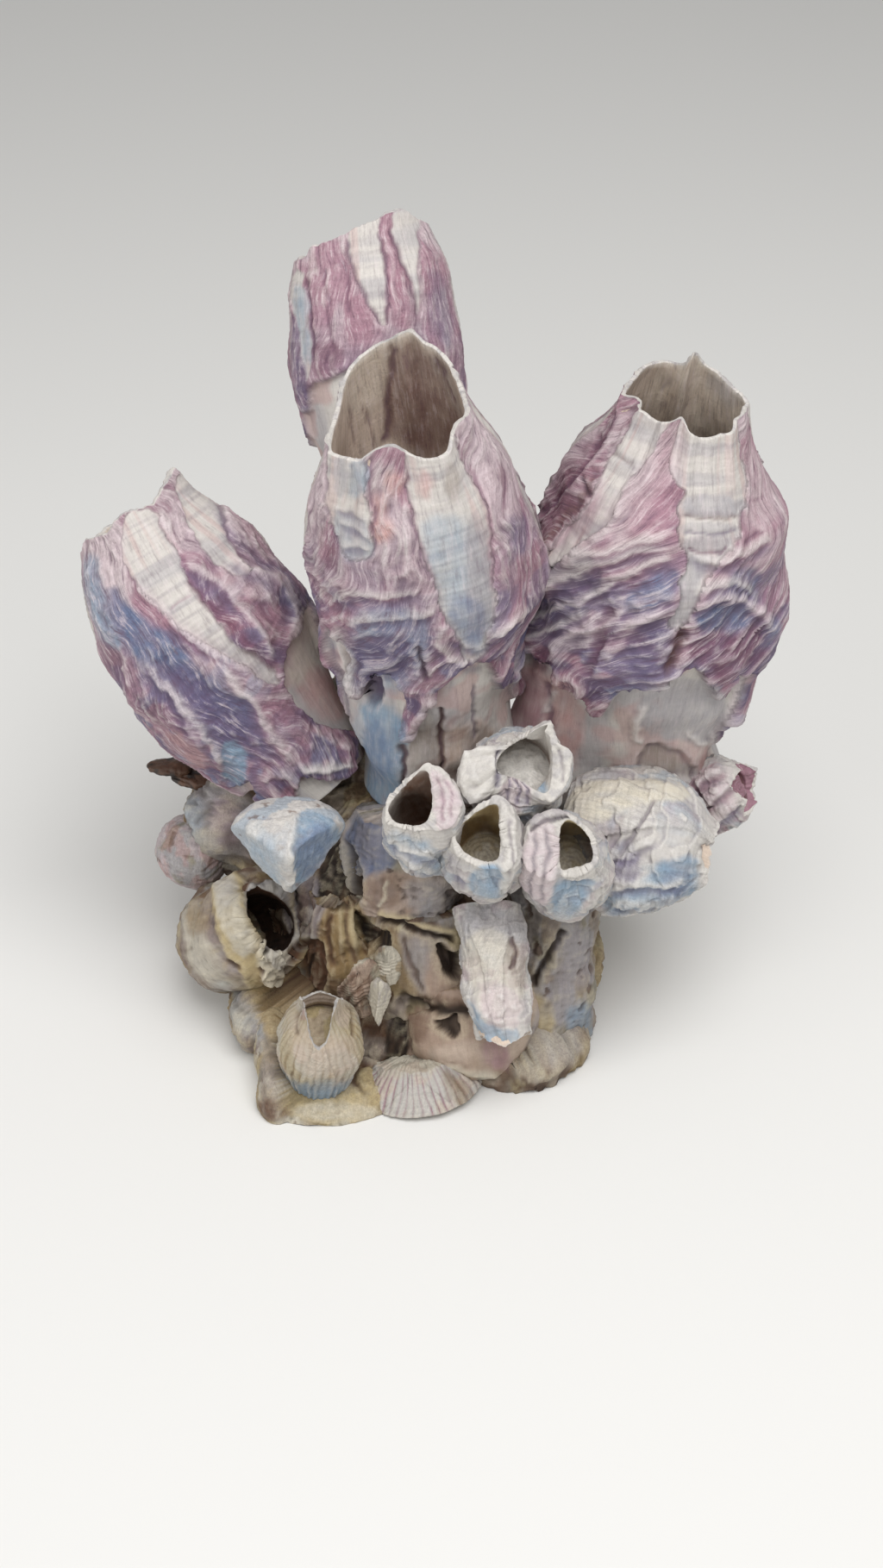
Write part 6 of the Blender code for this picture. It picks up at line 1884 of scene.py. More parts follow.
SMALL_BARNACLES: tuple[Barnacle, ...] = (
    SmallBarnacle(
        name="front_left_shell",
        node="front_barnacle_left",
        foot=(-1.2, -24.0, 39.5),
        lip=(-5.1, -36.0, 59.5),
        radii=((0, 2.8), (0.3, 4.6), (0.6, 5.6), (0.85, 5.0), (1.0, 4.4), (1.3, 3.2)),
        rim=((-180, 1.8), (140, 3.6), (110, 1.0), (70, -1.2), (20, -2.6), (-30, -2.6), (-70, -1.4),
             (-120, 0.2)),
        mouth=((445, 936), (455, 921), (474, 901), (490, 887), (500, 886), (512, 892), (527, 911), (537, 935),
               (526, 956), (510, 964), (494, 963), (470, 961), (451, 954)),
        mouth_from=0.5, edge_rows=20, rose=0.15, lavender=0.4,
        opening=((449, 937), (460, 922), (478, 903), (494, 890), (500, 905), (502, 940), (492, 959),
                 (462, 957), (453, 950)),
        wall=0.9, hollow_from=0.35, lumpiness=0.8, lump_size=5.0, seed=11, inner_tint=Tint.BUFF,
        outside=(
            Area(Tint.LIME, ((438, 940), (490, 960), (515, 962), (520, 985), (495, 985), (455, 975),
                             (440, 955)), 0.6, 1.0, 0.1),
            # Azure on the lower side: painted blue reflection.
            Area(Tint.AZURE, ((446, 965), (490, 972), (512, 990), (520, 1030), (500, 1036), (470, 1010),
                              (452, 985)), 0.6, 1.4),
            Ridge(((448, 968), (468, 986), (490, 992), (512, 992)), 0.45, 1.4, 0.3, Tint.LIME, 0.8),
            Ridge(((456, 988), (478, 1004), (505, 1012)), 0.45, 1.4, 0.3, Tint.LIME, 0.8),
            Ridge(((468, 1006), (488, 1022), (508, 1032)), 0.4, 1.2, 0.3, Tint.LIME, 0.7),
            Area(Tint.BLUSH, ((497, 888), (512, 892), (527, 911), (537, 935), (524, 960), (505, 963),
                              (501, 930)), 0.8, 0.8, 0.2),
            Groove(((507, 896), (512, 925), (512, 955)), 0.3, 0.3, Tint.ROSE, 0.5),
            Groove(((517, 902), (524, 925), (522, 950)), 0.3, 0.3, Tint.ROSE, 0.4),
        ),
        within=(
            Area(Tint.UMBER, ((458, 900), (480, 895), (505, 900), (506, 958), (470, 960), (456, 945)),
                 0.75, 2.0),
            Area(Tint.LIME, ((440, 935), (455, 910), (470, 900), (466, 925), (458, 952)), 0.6, 1.0),
        ),
    ),
    SmallBarnacle(
        name="front_middle_shell",
        node="front_barnacle_middle",
        foot=(8.2, -24.0, 36.0),
        lip=(5.9, -37.5, 54.0),
        radii=((0, 3.6), (0.3, 5.4), (0.6, 6.4), (0.85, 6.0), (1.0, 5.3), (1.3, 4.0)),
        rim=((-180, 2.4), (150, 1.0), (110, 1.6), (60, -0.6), (20, -1.6), (-30, -1.8), (-70, -0.4),
             (-120, 1.0)),
        mouth=((522, 969), (535, 953), (552, 938), (565, 927), (580, 922), (593, 936), (599, 962), (598, 995),
               (588, 1008), (572, 1006), (552, 1003), (530, 990)),
        mouth_from=0.5, edge_rows=18, rose=0.15, lavender=0.4,
        opening=((526, 968), (538, 954), (555, 940), (576, 930), (580, 946), (581, 988), (574, 1001),
                 (557, 999), (536, 988)),
        wall=0.9, hollow_from=0.45, lumpiness=0.8, lump_size=5.0, seed=12,
        # A cream floor inside: painted light on the lit floor of the hollow.
        inner_tint=Tint.GOLD, floor_tint=Tint.CREAM, cap_rise=1.6,
        outside=(
            Area(Tint.LIME, ((514, 975), (535, 990), (575, 1005), (592, 990), (592, 1010), (560, 1020),
                             (525, 1005)), 0.6, 1.0, 0.1),
            # Azure on the lower side: painted blue reflection.
            Area(Tint.AZURE, ((545, 1005), (586, 1004), (590, 1042), (552, 1045), (540, 1030)), 0.75, 1.0),
            Area(Tint.LIME, ((580, 925), (594, 938), (600, 987), (594, 1027), (578, 1052), (582, 1005),
                             (582, 950)), 0.8, 0.8, 0.4),
            Groove(((590, 945), (594, 985), (588, 1025)), 0.3, 0.4, Tint.STONE, 0.5),
            Area(Tint.VIOLET, ((515, 985), (535, 1005), (545, 1050), (530, 1050), (518, 1020)), 0.45, 1.6),
            Ridge(((518, 1000), (530, 1015), (545, 1024)), 0.4, 1.0, 0.3),
        ),
        within=(
            Area(Tint.TAN, ((524, 968), (545, 945), (575, 930), (582, 945), (560, 955), (540, 985)), 0.7, 1.4),
            # Cream round the floor's lit disc: painted light.
            Area(Tint.CREAM, ((545, 970), (565, 962), (580, 975), (580, 998), (560, 1000), (545, 990)),
                 0.7, 1.4),
        ),
    ),
    SmallBarnacle(
        name="front_right_shell",
        node="front_barnacle_right",
        foot=(20.4, -22.0, 32.4),
        lip=(20.6, -36.0, 51.2),
        radii=((0, 5.0), (0.3, 6.6), (0.6, 7.2), (0.85, 6.8), (1.0, 6.0), (1.3, 4.4)),
        rim=((-180, 3.0), (150, 1.2), (110, 0.6), (60, -1.4), (20, -2.4), (-30, -0.4), (-70, 0.6), (-120, 2.2)),
        mouth=((609, 962), (622, 948), (645, 938), (660, 944), (670, 950), (687, 967), (694, 990), (690, 1005),
               (668, 1013), (650, 1017), (630, 1018), (610, 1000)),
        mouth_from=0.5, edge_rows=26, rose=0.2, lavender=0.5,
        opening=((647, 985), (649, 962), (656, 951), (666, 953), (682, 968), (689, 990), (686, 1001),
                 (667, 1008), (650, 1012)),
        wall=1.0, hollow_from=0.5, lumpiness=0.8, lump_size=5.0, seed=13,
        # A cream floor inside: painted light on the lit floor of the hollow.
        inner_tint=Tint.GOLD, floor_tint=Tint.CREAM, cap_rise=1.2,
        outside=(
            # Azure on the lower side: painted blue reflection.
            Area(Tint.AZURE, ((640, 1025), (685, 1016), (690, 1027), (668, 1064), (638, 1072)),
                 0.75, 1.2, -0.2),
            Area(Tint.VIOLET, ((598, 1020), (625, 1020), (640, 1050), (612, 1065), (596, 1045)), 0.45, 1.6),
            Area(Tint.BLUSH, ((611, 962), (645, 948), (648, 1010), (637, 1052), (604, 1058), (598, 1027),
                              (608, 998)), 0.75, 1.0, 0.4),
            Groove(((622, 962), (622, 1000), (612, 1045)), 0.35, 0.4, Tint.STONE, 0.6),
            Groove(((636, 958), (635, 1005), (626, 1050)), 0.35, 0.4, Tint.STONE, 0.6),
            Groove(((613, 965), (635, 957), (658, 948)), 0.4, 0.7, Tint.INK, 0.7, 0.05),
            Area(Tint.LIME, ((650, 1009), (686, 1003), (690, 1013), (652, 1025)), 0.95, 0.6, 0.3),
            Area(Tint.STONE, ((612, 950), (640, 938), (662, 932), (664, 944), (640, 956), (615, 962)),
                 0.7, 0.8, 0.2),
        ),
        within=(
            # Cream on the floor of the hollow: painted light.
            Area(Tint.CREAM, ((650, 965), (668, 958), (684, 975), (686, 1000), (660, 1006), (648, 995)),
                 0.6, 1.4),
        ),
    ),
    SmallBarnacle(
        name="side_shell",
        node="side_barnacle",
        foot=(22.5, -17.0, 40.0),
        lip=(43.0, -21.0, 38.0),
        bow=(0.0, -0.6, 1.4),
        radii=((0, 8.0), (0.2, 10.4), (0.5, 11.2), (0.8, 9.6), (1.0, 6.6), (1.3, 5.0)),
        rim=((-180, 0.0), (120, 1.2), (60, -0.8), (0, 0.8), (-60, -0.6), (-120, 0.8)),
        mantle=0.8,
        bumps=((10, 0.55, 24, 0.2, 0.9), (60, 0.35, 22, 0.2, 0.9)),
        wall=1.2, hollow_from=0.6, lumpiness=0.9, lump_size=6.0, seed=14, columns=260, rows=150, rose=0.2,
        lavender=0.4,
        flake_height=0.4,
        outside=(
            Area(Tint.CREAM, ((648, 945), (655, 922), (689, 905), (748, 900), (795, 914), (802, 931),
                              (745, 933), (700, 952), (667, 956)), 0.85, 1.2, 0.3),
            Area(Tint.VIOLET, ((700, 985), (740, 972), (745, 1005), (735, 1030), (704, 1028)),
                 0.55, 1.4, 0.0, 0.5),
            Area(Tint.LIME, ((745, 950), (800, 945), (812, 975), (775, 1000), (745, 1010), (735, 980)),
                 0.6, 1.6),
            # Azure and blue on the lower side: painted shade with a blue reflected cast.
            Area(Tint.AZURE, ((695, 1040), (735, 1030), (765, 1000), (805, 990), (812, 1030), (800, 1060),
                              (740, 1070), (700, 1060)), 0.75, 1.4),
            Area(Tint.BLUE, ((765, 1010), (800, 1000), (808, 1030), (785, 1052), (758, 1050)), 0.35, 2.4),
            Groove(((760, 927), (742, 955), (722, 985), (704, 1015), (689, 1038)),
                   0.35, 0.7, Tint.STONE, 0.6, 0.05),
            Ridge(((690, 990), (712, 1000), (735, 985), (762, 973)), 0.5, 1.4, 0.4),
            Ridge(((697, 1034), (735, 1026), (770, 1030), (804, 1022)), 0.6, 1.4, 0.4, Tint.LIME, 0.7),
            Ridge(((700, 1052), (735, 1048), (770, 1052), (800, 1044)), 0.6, 1.2, 0.4, Tint.LIME, 0.7),
            Pit((823, 990), (10, 12), 1.0, Tint.UMBER, 0.8, 20.0),
        ),
    ),
    SmallBarnacle(
        name="broken_top_shell",
        node="broken_barnacle_top",
        foot=(12.0, -20.0, 50.0),
        lip=(12.2, -27.5, 63.5),
        radii=((0, 6.4), (0.4, 7.0), (0.8, 6.8), (1.0, 6.2), (1.4, 5.0)),
        rim=((-180, 0.0), (150, 1.0), (120, 4.6), (92, 2.0), (60, -1.2), (20, -3.6), (-20, -4.0), (-55, 0.0),
             (-90, 1.6), (-125, 0.6), (-150, 2.4)),
        mouth=((530, 906), (541, 870), (556, 860), (571, 867), (580, 868), (608, 852), (637, 830), (643, 857),
               (652, 864), (663, 868), (663, 887), (652, 916), (638, 930), (618, 925), (600, 912), (580, 915),
               (560, 928), (541, 930)),
        mouth_from=0.5, edge_rows=40, rose=0.15,
        opening=((574, 892), (578, 876), (592, 864), (612, 854), (634, 846), (640, 866), (641, 900),
                 (634, 924), (619, 916), (600, 902), (584, 900)),
        wall=1.1, hollow_from=0.6, lumpiness=0.7, lump_size=4.0, seed=15, inner_tint=Tint.LIME,
        floor_tint=Tint.LIME,
        ring_stain=0.0,
        outside=(
            Area(Tint.LIME, ((529, 905), (541, 868), (556, 860), (572, 868), (580, 890), (578, 912),
                             (562, 930), (541, 932)), 0.8, 0.8, 0.3, 0.5),
            Area(Tint.LIME, ((571, 890), (578, 864), (608, 852), (637, 831), (645, 857), (626, 866),
                             (598, 872), (580, 888)), 0.6, 0.6),
            Area(Tint.BLUSH, ((580, 912), (594, 892), (612, 905), (620, 932), (604, 942), (584, 938)),
                 0.7, 0.8),
            Groove(((590, 898), (590, 920), (588, 938)), 0.3, 0.4, Tint.VIOLET, 0.6),
            Groove(((598, 898), (600, 920), (600, 938)), 0.3, 0.4, Tint.VIOLET, 0.6),
            Groove(((606, 902), (611, 920), (612, 936)), 0.3, 0.4, Tint.VIOLET, 0.6),
            Groove(((578, 868), (576, 890), (578, 915)), 0.4, 0.7, Tint.VIOLET, 0.7),
            Groove(((648, 868), (654, 888), (648, 912)), 0.3, 0.3, Tint.STONE, 0.5),
        ),
        within=(
            # Azure on the concave face that looks down: painted blue reflection.
            Area(Tint.AZURE, ((573, 890), (593, 873), (615, 866), (630, 887), (638, 924), (622, 918),
                              (600, 894)), 0.85, 0.8),
            Ridge(((585, 884), (605, 884), (630, 905)), 0.3, 1.2, 0.5, Tint.LIME, 0.6),
        ),
    ),
    SmallBarnacle(
        name="broken_right_shell",
        node="broken_barnacle_right",
        foot=(41.5, -8.0, 38.5),
        lip=(50.6, -11.5, 45.5),
        bow=(0.0, 0.0, 0.6),
        radii=((0, 5.6), (0.4, 5.6), (0.8, 5.0), (1.0, 4.4), (1.4, 3.2)),
        rim=((-180, 1.6), (130, -0.8), (90, 1.0), (45, -1.0), (0, 1.6), (-45, -0.6), (-90, 1.4), (-130, -0.8)),
        mantle=0.6, wall=1.0, hollow_from=0.85, inner_tint=Tint.ROSE, floor_tint=Tint.ROSE, lumpiness=0.7,
        lump_size=4.0, seed=16,
        rose=0.7, lavender=0.3, flake_height=0.4,
        outside=(
            Area(Tint.BLUSH, ((785, 905), (804, 894), (837, 881), (850, 894), (852, 957), (830, 968),
                              (800, 953)), 0.4, 1.6),
            Ridge(((796, 930), (815, 908), (842, 890)), 0.9, 1.2, 0.4, Tint.BLUSH, 0.7, Tint.PLUM, 0.6),
            Ridge(((803, 950), (825, 928), (852, 908)), 0.9, 1.2, 0.4, Tint.BLUSH, 0.7, Tint.PLUM, 0.6),
            Ridge(((815, 968), (835, 948), (856, 930)), 0.7, 1.0, 0.4, Tint.BLUSH, 0.6, Tint.VIOLET, 0.6),
            Groove(((798, 900), (812, 920), (818, 945), (820, 968)), 0.4, 0.6, Tint.PLUM, 0.7),
        ),
    ),
    SmallBarnacle(
        name="hanging_shell",
        node="broken_barnacle_hanging",
        foot=(8.0, -26.0, 31.0),
        lip=(10.6, -40.0, 15.4),
        bow=(-0.5, -0.8, 0.6),
        radii=((0, 5.0), (0.3, 5.2), (0.6, 5.0), (0.85, 5.0), (1.0, 4.6), (1.3, 4.0)),
        rim=((-180, 1.6), (120, 0.0), (60, -1.2), (0, 1.0), (-60, -0.8), (-120, 0.8)),
        wall=1.1, hollow_from=0.65, lumpiness=1.1, lump_size=5.0, seed=19, lavender=0.15, flake_height=0.2,
        outside=(
            Area(Tint.PEARL, ((530, 1060), (560, 1050), (610, 1060), (612, 1100), (560, 1090), (535, 1085)),
                 0.7, 2.0),
            Area(Tint.CREAM, ((535, 1085), (570, 1075), (605, 1100), (610, 1150), (600, 1190), (560, 1180),
                              (540, 1130)), 0.5, 1.4),
            Area(Tint.BUFF, ((585, 1090), (612, 1095), (612, 1150), (596, 1140), (588, 1120)), 0.6, 1.6),
            Area(Tint.BLUSH, ((560, 1140), (605, 1150), (608, 1180), (580, 1192), (555, 1175)),
                 0.6, 1.6, 0.0, 0.5),
            # Azure low down: painted blue reflection.
            Area(Tint.AZURE, ((540, 1150), (556, 1185), (585, 1195), (605, 1195), (600, 1215), (570, 1222),
                              (548, 1190)), 0.7, 1.0),
            Groove(((592, 1085), (600, 1110), (592, 1128)), 0.4, 0.6, Tint.UMBER, 0.8),
        ),
    ),
    RibbedBarnacle(
        name="ribbed_shell",
        node="ribbed_barnacle",
        foot=(-21.0, -36.4, 3.6),
        lip=(-19.8, -40.0, 21.0),
        bow=(0.3, 0.4, 0.0),
        radii=((0, 5.2), (0.2, 6.2), (0.45, 7.0), (0.7, 6.2), (0.88, 4.8), (1.0, 3.9), (1.3, 3.3)),
        rim=((-180, -0.6), (-140, -1.4), (-118, 0.2), (-96, 2.4), (-74, 5.2), (-58, 5.4), (-44, 2.6),
             (-28, -0.4), (-12, -2.6), (0, -3.2), (14, -2.4), (28, -0.2), (44, 2.4), (60, 4.8), (76, 4.6),
             (96, 2.4), (118, 0.2), (140, -1.4)),
        mantle=0.4, columns=272, rows=120,
        wall=0.9, hollow_from=0.7, lumpiness=0.3, lump_size=5.0, seed=17, ribs=34, rib_rise=0.34,
        floor_tint=Tint.GOLD, inner_tint=Tint.SAND, cap_rise=1.4, ring_stain=0.0,
        outside=(
            Area(Tint.GOLD, ((325, 1150), (352, 1132), (390, 1132), (415, 1160), (420, 1215), (330, 1215)),
                 0.5, 2.0),
            Groove(((352, 1150), (346, 1180), (343, 1205)), 0.35, 0.5, Tint.UMBER, 0.5),
            Groove(((404, 1160), (410, 1185), (412, 1205)), 0.35, 0.5, Tint.UMBER, 0.5),
            Area(Tint.SAND, ((330, 1170), (352, 1190), (400, 1205), (416, 1200), (410, 1250), (340, 1250)),
                 0.5, 2.0),
            Area(Tint.LIME, ((340, 1165), (352, 1136), (360, 1155), (352, 1185)), 0.6, 0.8),
            Area(Tint.SALMON, ((352, 1150), (357, 1140), (360, 1160), (356, 1184), (350, 1188)), 0.6, 0.5),
            Area(Tint.SAND, ((380, 1150), (388, 1140), (400, 1165), (408, 1195), (394, 1196), (384, 1168)),
                 0.6, 0.8),
            # Azure along the foot: painted blue reflection.
            Area(Tint.AZURE, ((340, 1255), (400, 1252), (396, 1280), (345, 1280)), 0.5, 1.6),
        ),
    ),
    RibbedBarnacle(
        name="striped_shell",
        node="striped_barnacle",
        foot=(-3.8, -33.6, 0.0),
        lip=(-4.4, -33.0, 5.6),
        radii=((0, 10.8), (0.3, 9.6), (0.6, 8.0), (1.0, 6.0), (1.3, 5.0)),
        rim=((-180, -4.2), (-120, -3.4), (-80, -1.2), (-40, 0.0), (40, 0.0), (80, -1.2), (120, -3.4)),
        mantle=0.2, columns=322, rows=70,
        lumpiness=0.3, lump_size=5.0, seed=18, open_top=False, ribs=46, rib_rise=0.34, low_tint=Tint.CREAM,
        low_until=0.0,
        rib_tint=Tint.LIME, valley_tint=Tint.ROSE, valley_amount=0.85, valley_width=0.3,
        floor_tint=Tint.CREAM, inner_tint=Tint.SAND, ring_stain=0.0,
        outside=(
            Area(Tint.CREAM, ((440, 1230), (500, 1228), (512, 1246), (470, 1250), (436, 1252)), 0.6, 1.2),
            Area(Tint.TAN, ((512, 1240), (540, 1255), (566, 1290), (548, 1300), (520, 1270)), 0.5, 1.6),
            # Umber along the right edge: painted shade where the shell turns away.
            Area(Tint.UMBER, ((500, 1236), (530, 1246), (560, 1290), (535, 1270)), 0.35, 1.6),
        ),
    ),
)

LOWER_MARKS: tuple[Mark, ...] = (
    # The pillar at the far left, azure at its left edge and near its foot as painted blue reflection.
    Area(Tint.PEARL, ((205, 905), (250, 905), (300, 925), (310, 990), (250, 1012), (205, 1045)), 0.75, 2.0),
    Area(Tint.LIME, ((196, 920), (230, 918), (232, 985), (224, 1010), (198, 1000)), 0.5, 1.4),
    Area(Tint.AZURE, ((206, 925), (238, 920), (236, 985), (222, 1040), (206, 1010)), 0.4, 2.0),
    Area(Tint.ROSE, ((243, 925), (280, 925), (285, 975), (262, 990), (246, 970)), 0.35, 2.4),
    Area(Tint.STONE, ((200, 1045), (250, 1050), (290, 1127), (318, 1205), (290, 1230), (235, 1165),
                      (200, 1110)), 0.45, 1.6),
    Area(Tint.CREAM, ((205, 1020), (225, 1015), (232, 1050), (240, 1100), (262, 1140), (300, 1190),
                      (285, 1200), (240, 1160), (212, 1110)), 0.55, 1.6),
    Area(Tint.CREAM, ((208, 1080), (232, 1085), (262, 1125), (275, 1160), (250, 1150), (222, 1125)), 0.5, 2.0),
    Area(Tint.AZURE, ((240, 1140), (270, 1140), (308, 1185), (312, 1212), (280, 1195), (250, 1165)), 0.25, 2.0),
    Area(Tint.TAN, ((212, 1045), (240, 1050), (238, 1080), (218, 1085)), 0.6, 1.8),
    # The pale golden ridge beside the dark hollow.
    Area(Tint.GOLD, ((246, 1000), (280, 1005), (286, 1054), (302, 1085), (306, 1115), (330, 1146), (330, 1180),
                     (315, 1210), (300, 1177), (288, 1138), (266, 1115), (248, 1069)), 0.9, 1.2, 0.6),
    Area(Tint.CREAM, ((248, 1002), (272, 1006), (281, 1054), (297, 1090), (290, 1112), (268, 1092),
                      (251, 1055)), 0.8, 1.2),
    Area(Tint.LIME, ((250, 1000), (268, 1004), (272, 1040), (262, 1058), (251, 1040)), 0.5, 1.2),
    Area(Tint.TAN, ((296, 1120), (330, 1135), (332, 1185), (315, 1212), (300, 1180)), 0.8, 1.4),
    Pit((272, 1118), (9, 5), 0.8, Tint.UMBER, 0.8, 20.0),
    # The brown shell and the hollows round it, darkened with umber and ink as painted shade.
    Area(Tint.STONE, ((331, 1018), (380, 1015), (380, 1092), (350, 1095), (333, 1060)), 0.8, 1.2),
    Area(Tint.UMBER, ((344, 1030), (358, 1028), (362, 1085), (350, 1090)), 0.6, 1.2, -0.8),
    Groove(((338, 1030), (338, 1060), (344, 1085)), 0.5, -0.5, Tint.GOLD, 0.6),
    Area(Tint.TAN, ((366, 1090), (376, 1050), (400, 1038), (427, 1050), (434, 1100), (422, 1130), (390, 1138),
                    (370, 1128)), 0.95, 1.0),
    Area(Tint.GOLD, ((392, 1050), (415, 1050), (420, 1090), (404, 1100), (394, 1085)), 0.6, 1.6),
    Groove(((384, 1052), (380, 1085), (386, 1125)), 0.6, 0.6, Tint.UMBER, 0.85),
    Groove(((400, 1045), (404, 1085), (410, 1122)), 0.4, 0.4, Tint.UMBER, 0.7),
    Groove(((418, 1054), (422, 1085), (424, 1112)), 0.5, 0.4, Tint.UMBER, 0.7),
    Area(Tint.UMBER, ((326, 1096), (374, 1088), (382, 1150), (352, 1170), (330, 1156)), 0.97, 1.0, -1.8),
    Area(Tint.INK, ((334, 1140), (346, 1120), (362, 1114), (352, 1132), (344, 1155)), 0.85, 0.8, -0.6),
    Area(Tint.INK, ((372, 978), (392, 962), (416, 1000), (418, 1048), (392, 1056), (370, 1048)),
         0.95, 1.2, -2.5),
    # The upper old shell.
    Area(Tint.BLUE, ((395, 945), (460, 945), (466, 1000), (446, 1012), (416, 1022), (397, 1000)), 0.75, 1.6),
    Area(Tint.STONE, ((405, 955), (440, 958), (450, 990), (425, 1000)), 0.4, 2.0),
    Area(Tint.CLAY, ((413, 1018), (450, 1010), (490, 1015), (494, 1060), (438, 1072), (417, 1050)), 0.75, 1.6),
    Area(Tint.UMBER, ((416, 1020), (458, 1016), (466, 1045), (430, 1054)), 0.5, 2.0),
    Area(Tint.PEARL, ((612, 1160), (668, 1160), (672, 1235), (612, 1240)), 0.55, 2.0),
    Area(Tint.AZURE, ((636, 1090), (682, 1090), (684, 1150), (640, 1150)), 0.35, 2.0),
    Area(Tint.PEARL, ((468, 1018), (530, 1030), (540, 1080), (500, 1066), (470, 1050)), 0.6, 2.0),
    Groove(((440, 1052), (445, 1035), (452, 1022)), 0.3, -0.3, Tint.CREAM, 0.6),
    # The middle old shell, with its crack and its hole: brown painted shade on its left, ink painted shade in
    # the crack and the holes, and a painted shadow under its lower edge.
    Groove(((438, 1056), (468, 1064), (495, 1076), (534, 1081)), 0.6, -0.7, Tint.GOLD, 0.8, 0.05),
    Groove(((438, 1064), (468, 1073), (495, 1085), (534, 1090)), 0.5, 1.4, Tint.INK, 0.95, 0.05),
    Area(Tint.BUFF, ((440, 1077), (535, 1094), (542, 1165), (470, 1163), (461, 1131)), 0.85, 1.2),
    Area(Tint.PEARL, ((462, 1088), (500, 1096), (505, 1140), (485, 1150), (472, 1120)), 0.45, 2.0),
    Area(Tint.CLAY, ((498, 1100), (535, 1104), (545, 1168), (490, 1160)), 0.85, 2.4),
    # Tan on the left: painted shade.
    Area(Tint.TAN, ((440, 1078), (462, 1082), (474, 1125), (486, 1160), (464, 1158), (448, 1110)), 0.75, 1.4),
    Groove(((468, 1084), (474, 1105), (482, 1130), (492, 1152)), 0.35, 0.4, Tint.UMBER, 0.6),
    Area(Tint.INK, ((408, 1056), (424, 1064), (437, 1080), (451, 1083), (451, 1117), (437, 1128), (427, 1095)),
         0.96, 0.9, -2.2),
    Area(Tint.INK, ((503, 1095), (515, 1098), (521, 1106), (542, 1102), (539, 1136), (521, 1139), (511, 1115)),
         0.98, 0.4, -2.6),
    # Painted shadow under the shelf's lower edge.
    Area(Tint.UMBER, ((470, 1150), (545, 1158), (548, 1172), (465, 1166)), 0.6, 1.4),
    Groove(((455, 1161), (480, 1167), (510, 1170), (548, 1173)), 1.0, 1.6, Tint.INK, 0.95, 0.08),
    # The lower old shell, with ink painted shade in its black fold.
    Area(Tint.CLAY, ((468, 1172), (548, 1178), (592, 1219), (580, 1246), (515, 1238), (474, 1240),
                     (468, 1208)), 0.95, 1.4),
    Area(Tint.SAND, ((530, 1205), (575, 1215), (576, 1238), (520, 1234), (490, 1225)), 0.6, 2.4),
    Area(Tint.UMBER, ((470, 1172), (500, 1178), (500, 1200), (474, 1215)), 0.5, 1.6),
    Area(Tint.ROSE, ((560, 1205), (594, 1215), (590, 1242), (562, 1238)), 0.5, 1.6),
    Area(Tint.INK, ((500, 1184), (515, 1180), (529, 1172), (532, 1204), (520, 1203)), 0.98, 0.4, -2.2),
    Groove(((500, 1236), (530, 1242), (560, 1245), (590, 1249)), 0.6, -0.6, Tint.CREAM, 0.7),
    # Grit between the ribbed barnacle and the striped one, with umber and ink painted shade in the gaps.
    Area(Tint.UMBER, ((400, 1170), (446, 1180), (450, 1245), (425, 1270), (408, 1262)), 0.85, 1.6, -0.8),
    Area(Tint.BUFF, ((412, 1198), (446, 1202), (448, 1232), (418, 1236)), 0.8, 1.0, 1.0),
    Area(Tint.GOLD, ((414, 1238), (438, 1236), (436, 1262), (416, 1264)), 0.8, 1.0, 0.8),
    Area(Tint.BUFF, ((446, 1158), (472, 1160), (470, 1186), (450, 1190)), 0.8, 0.8, 0.8),
    Area(Tint.INK, ((446, 1190), (469, 1174), (475, 1208), (467, 1240), (444, 1238)), 0.96, 0.8, -2.0),
    Groove(((446, 1215), (456, 1210), (468, 1214)), 0.6, -0.8, Tint.BUFF, 0.8),
    # The ledge.
    Area(Tint.GOLD, ((332, 1240), (415, 1268), (448, 1238), (446, 1304), (325, 1306)), 0.8, 1.8),
    Area(Tint.CREAM, ((340, 1278), (430, 1280), (440, 1300), (335, 1302)), 0.6, 1.4),
    Area(Tint.BUFF, ((303, 1205), (322, 1205), (328, 1300), (300, 1300)), 0.7, 1.4),
    Area(Tint.UMBER, ((298, 1272), (332, 1278), (336, 1302), (298, 1302)), 0.7, 1.4),
)
FLAT_MARKS = tuple(replace(mark, relief=0.0) for mark in LOWER_MARKS if isinstance(mark, Area))
# Umber over the front of the base, between the pieces: painted shade.
BASE_SHADE = Area(
    Tint.UMBER, ((322, 1010), (560, 1020), (610, 1100), (615, 1235), (540, 1255), (440, 1250), (340, 1230),
                 (310, 1150)), 0.8, 3.0
)

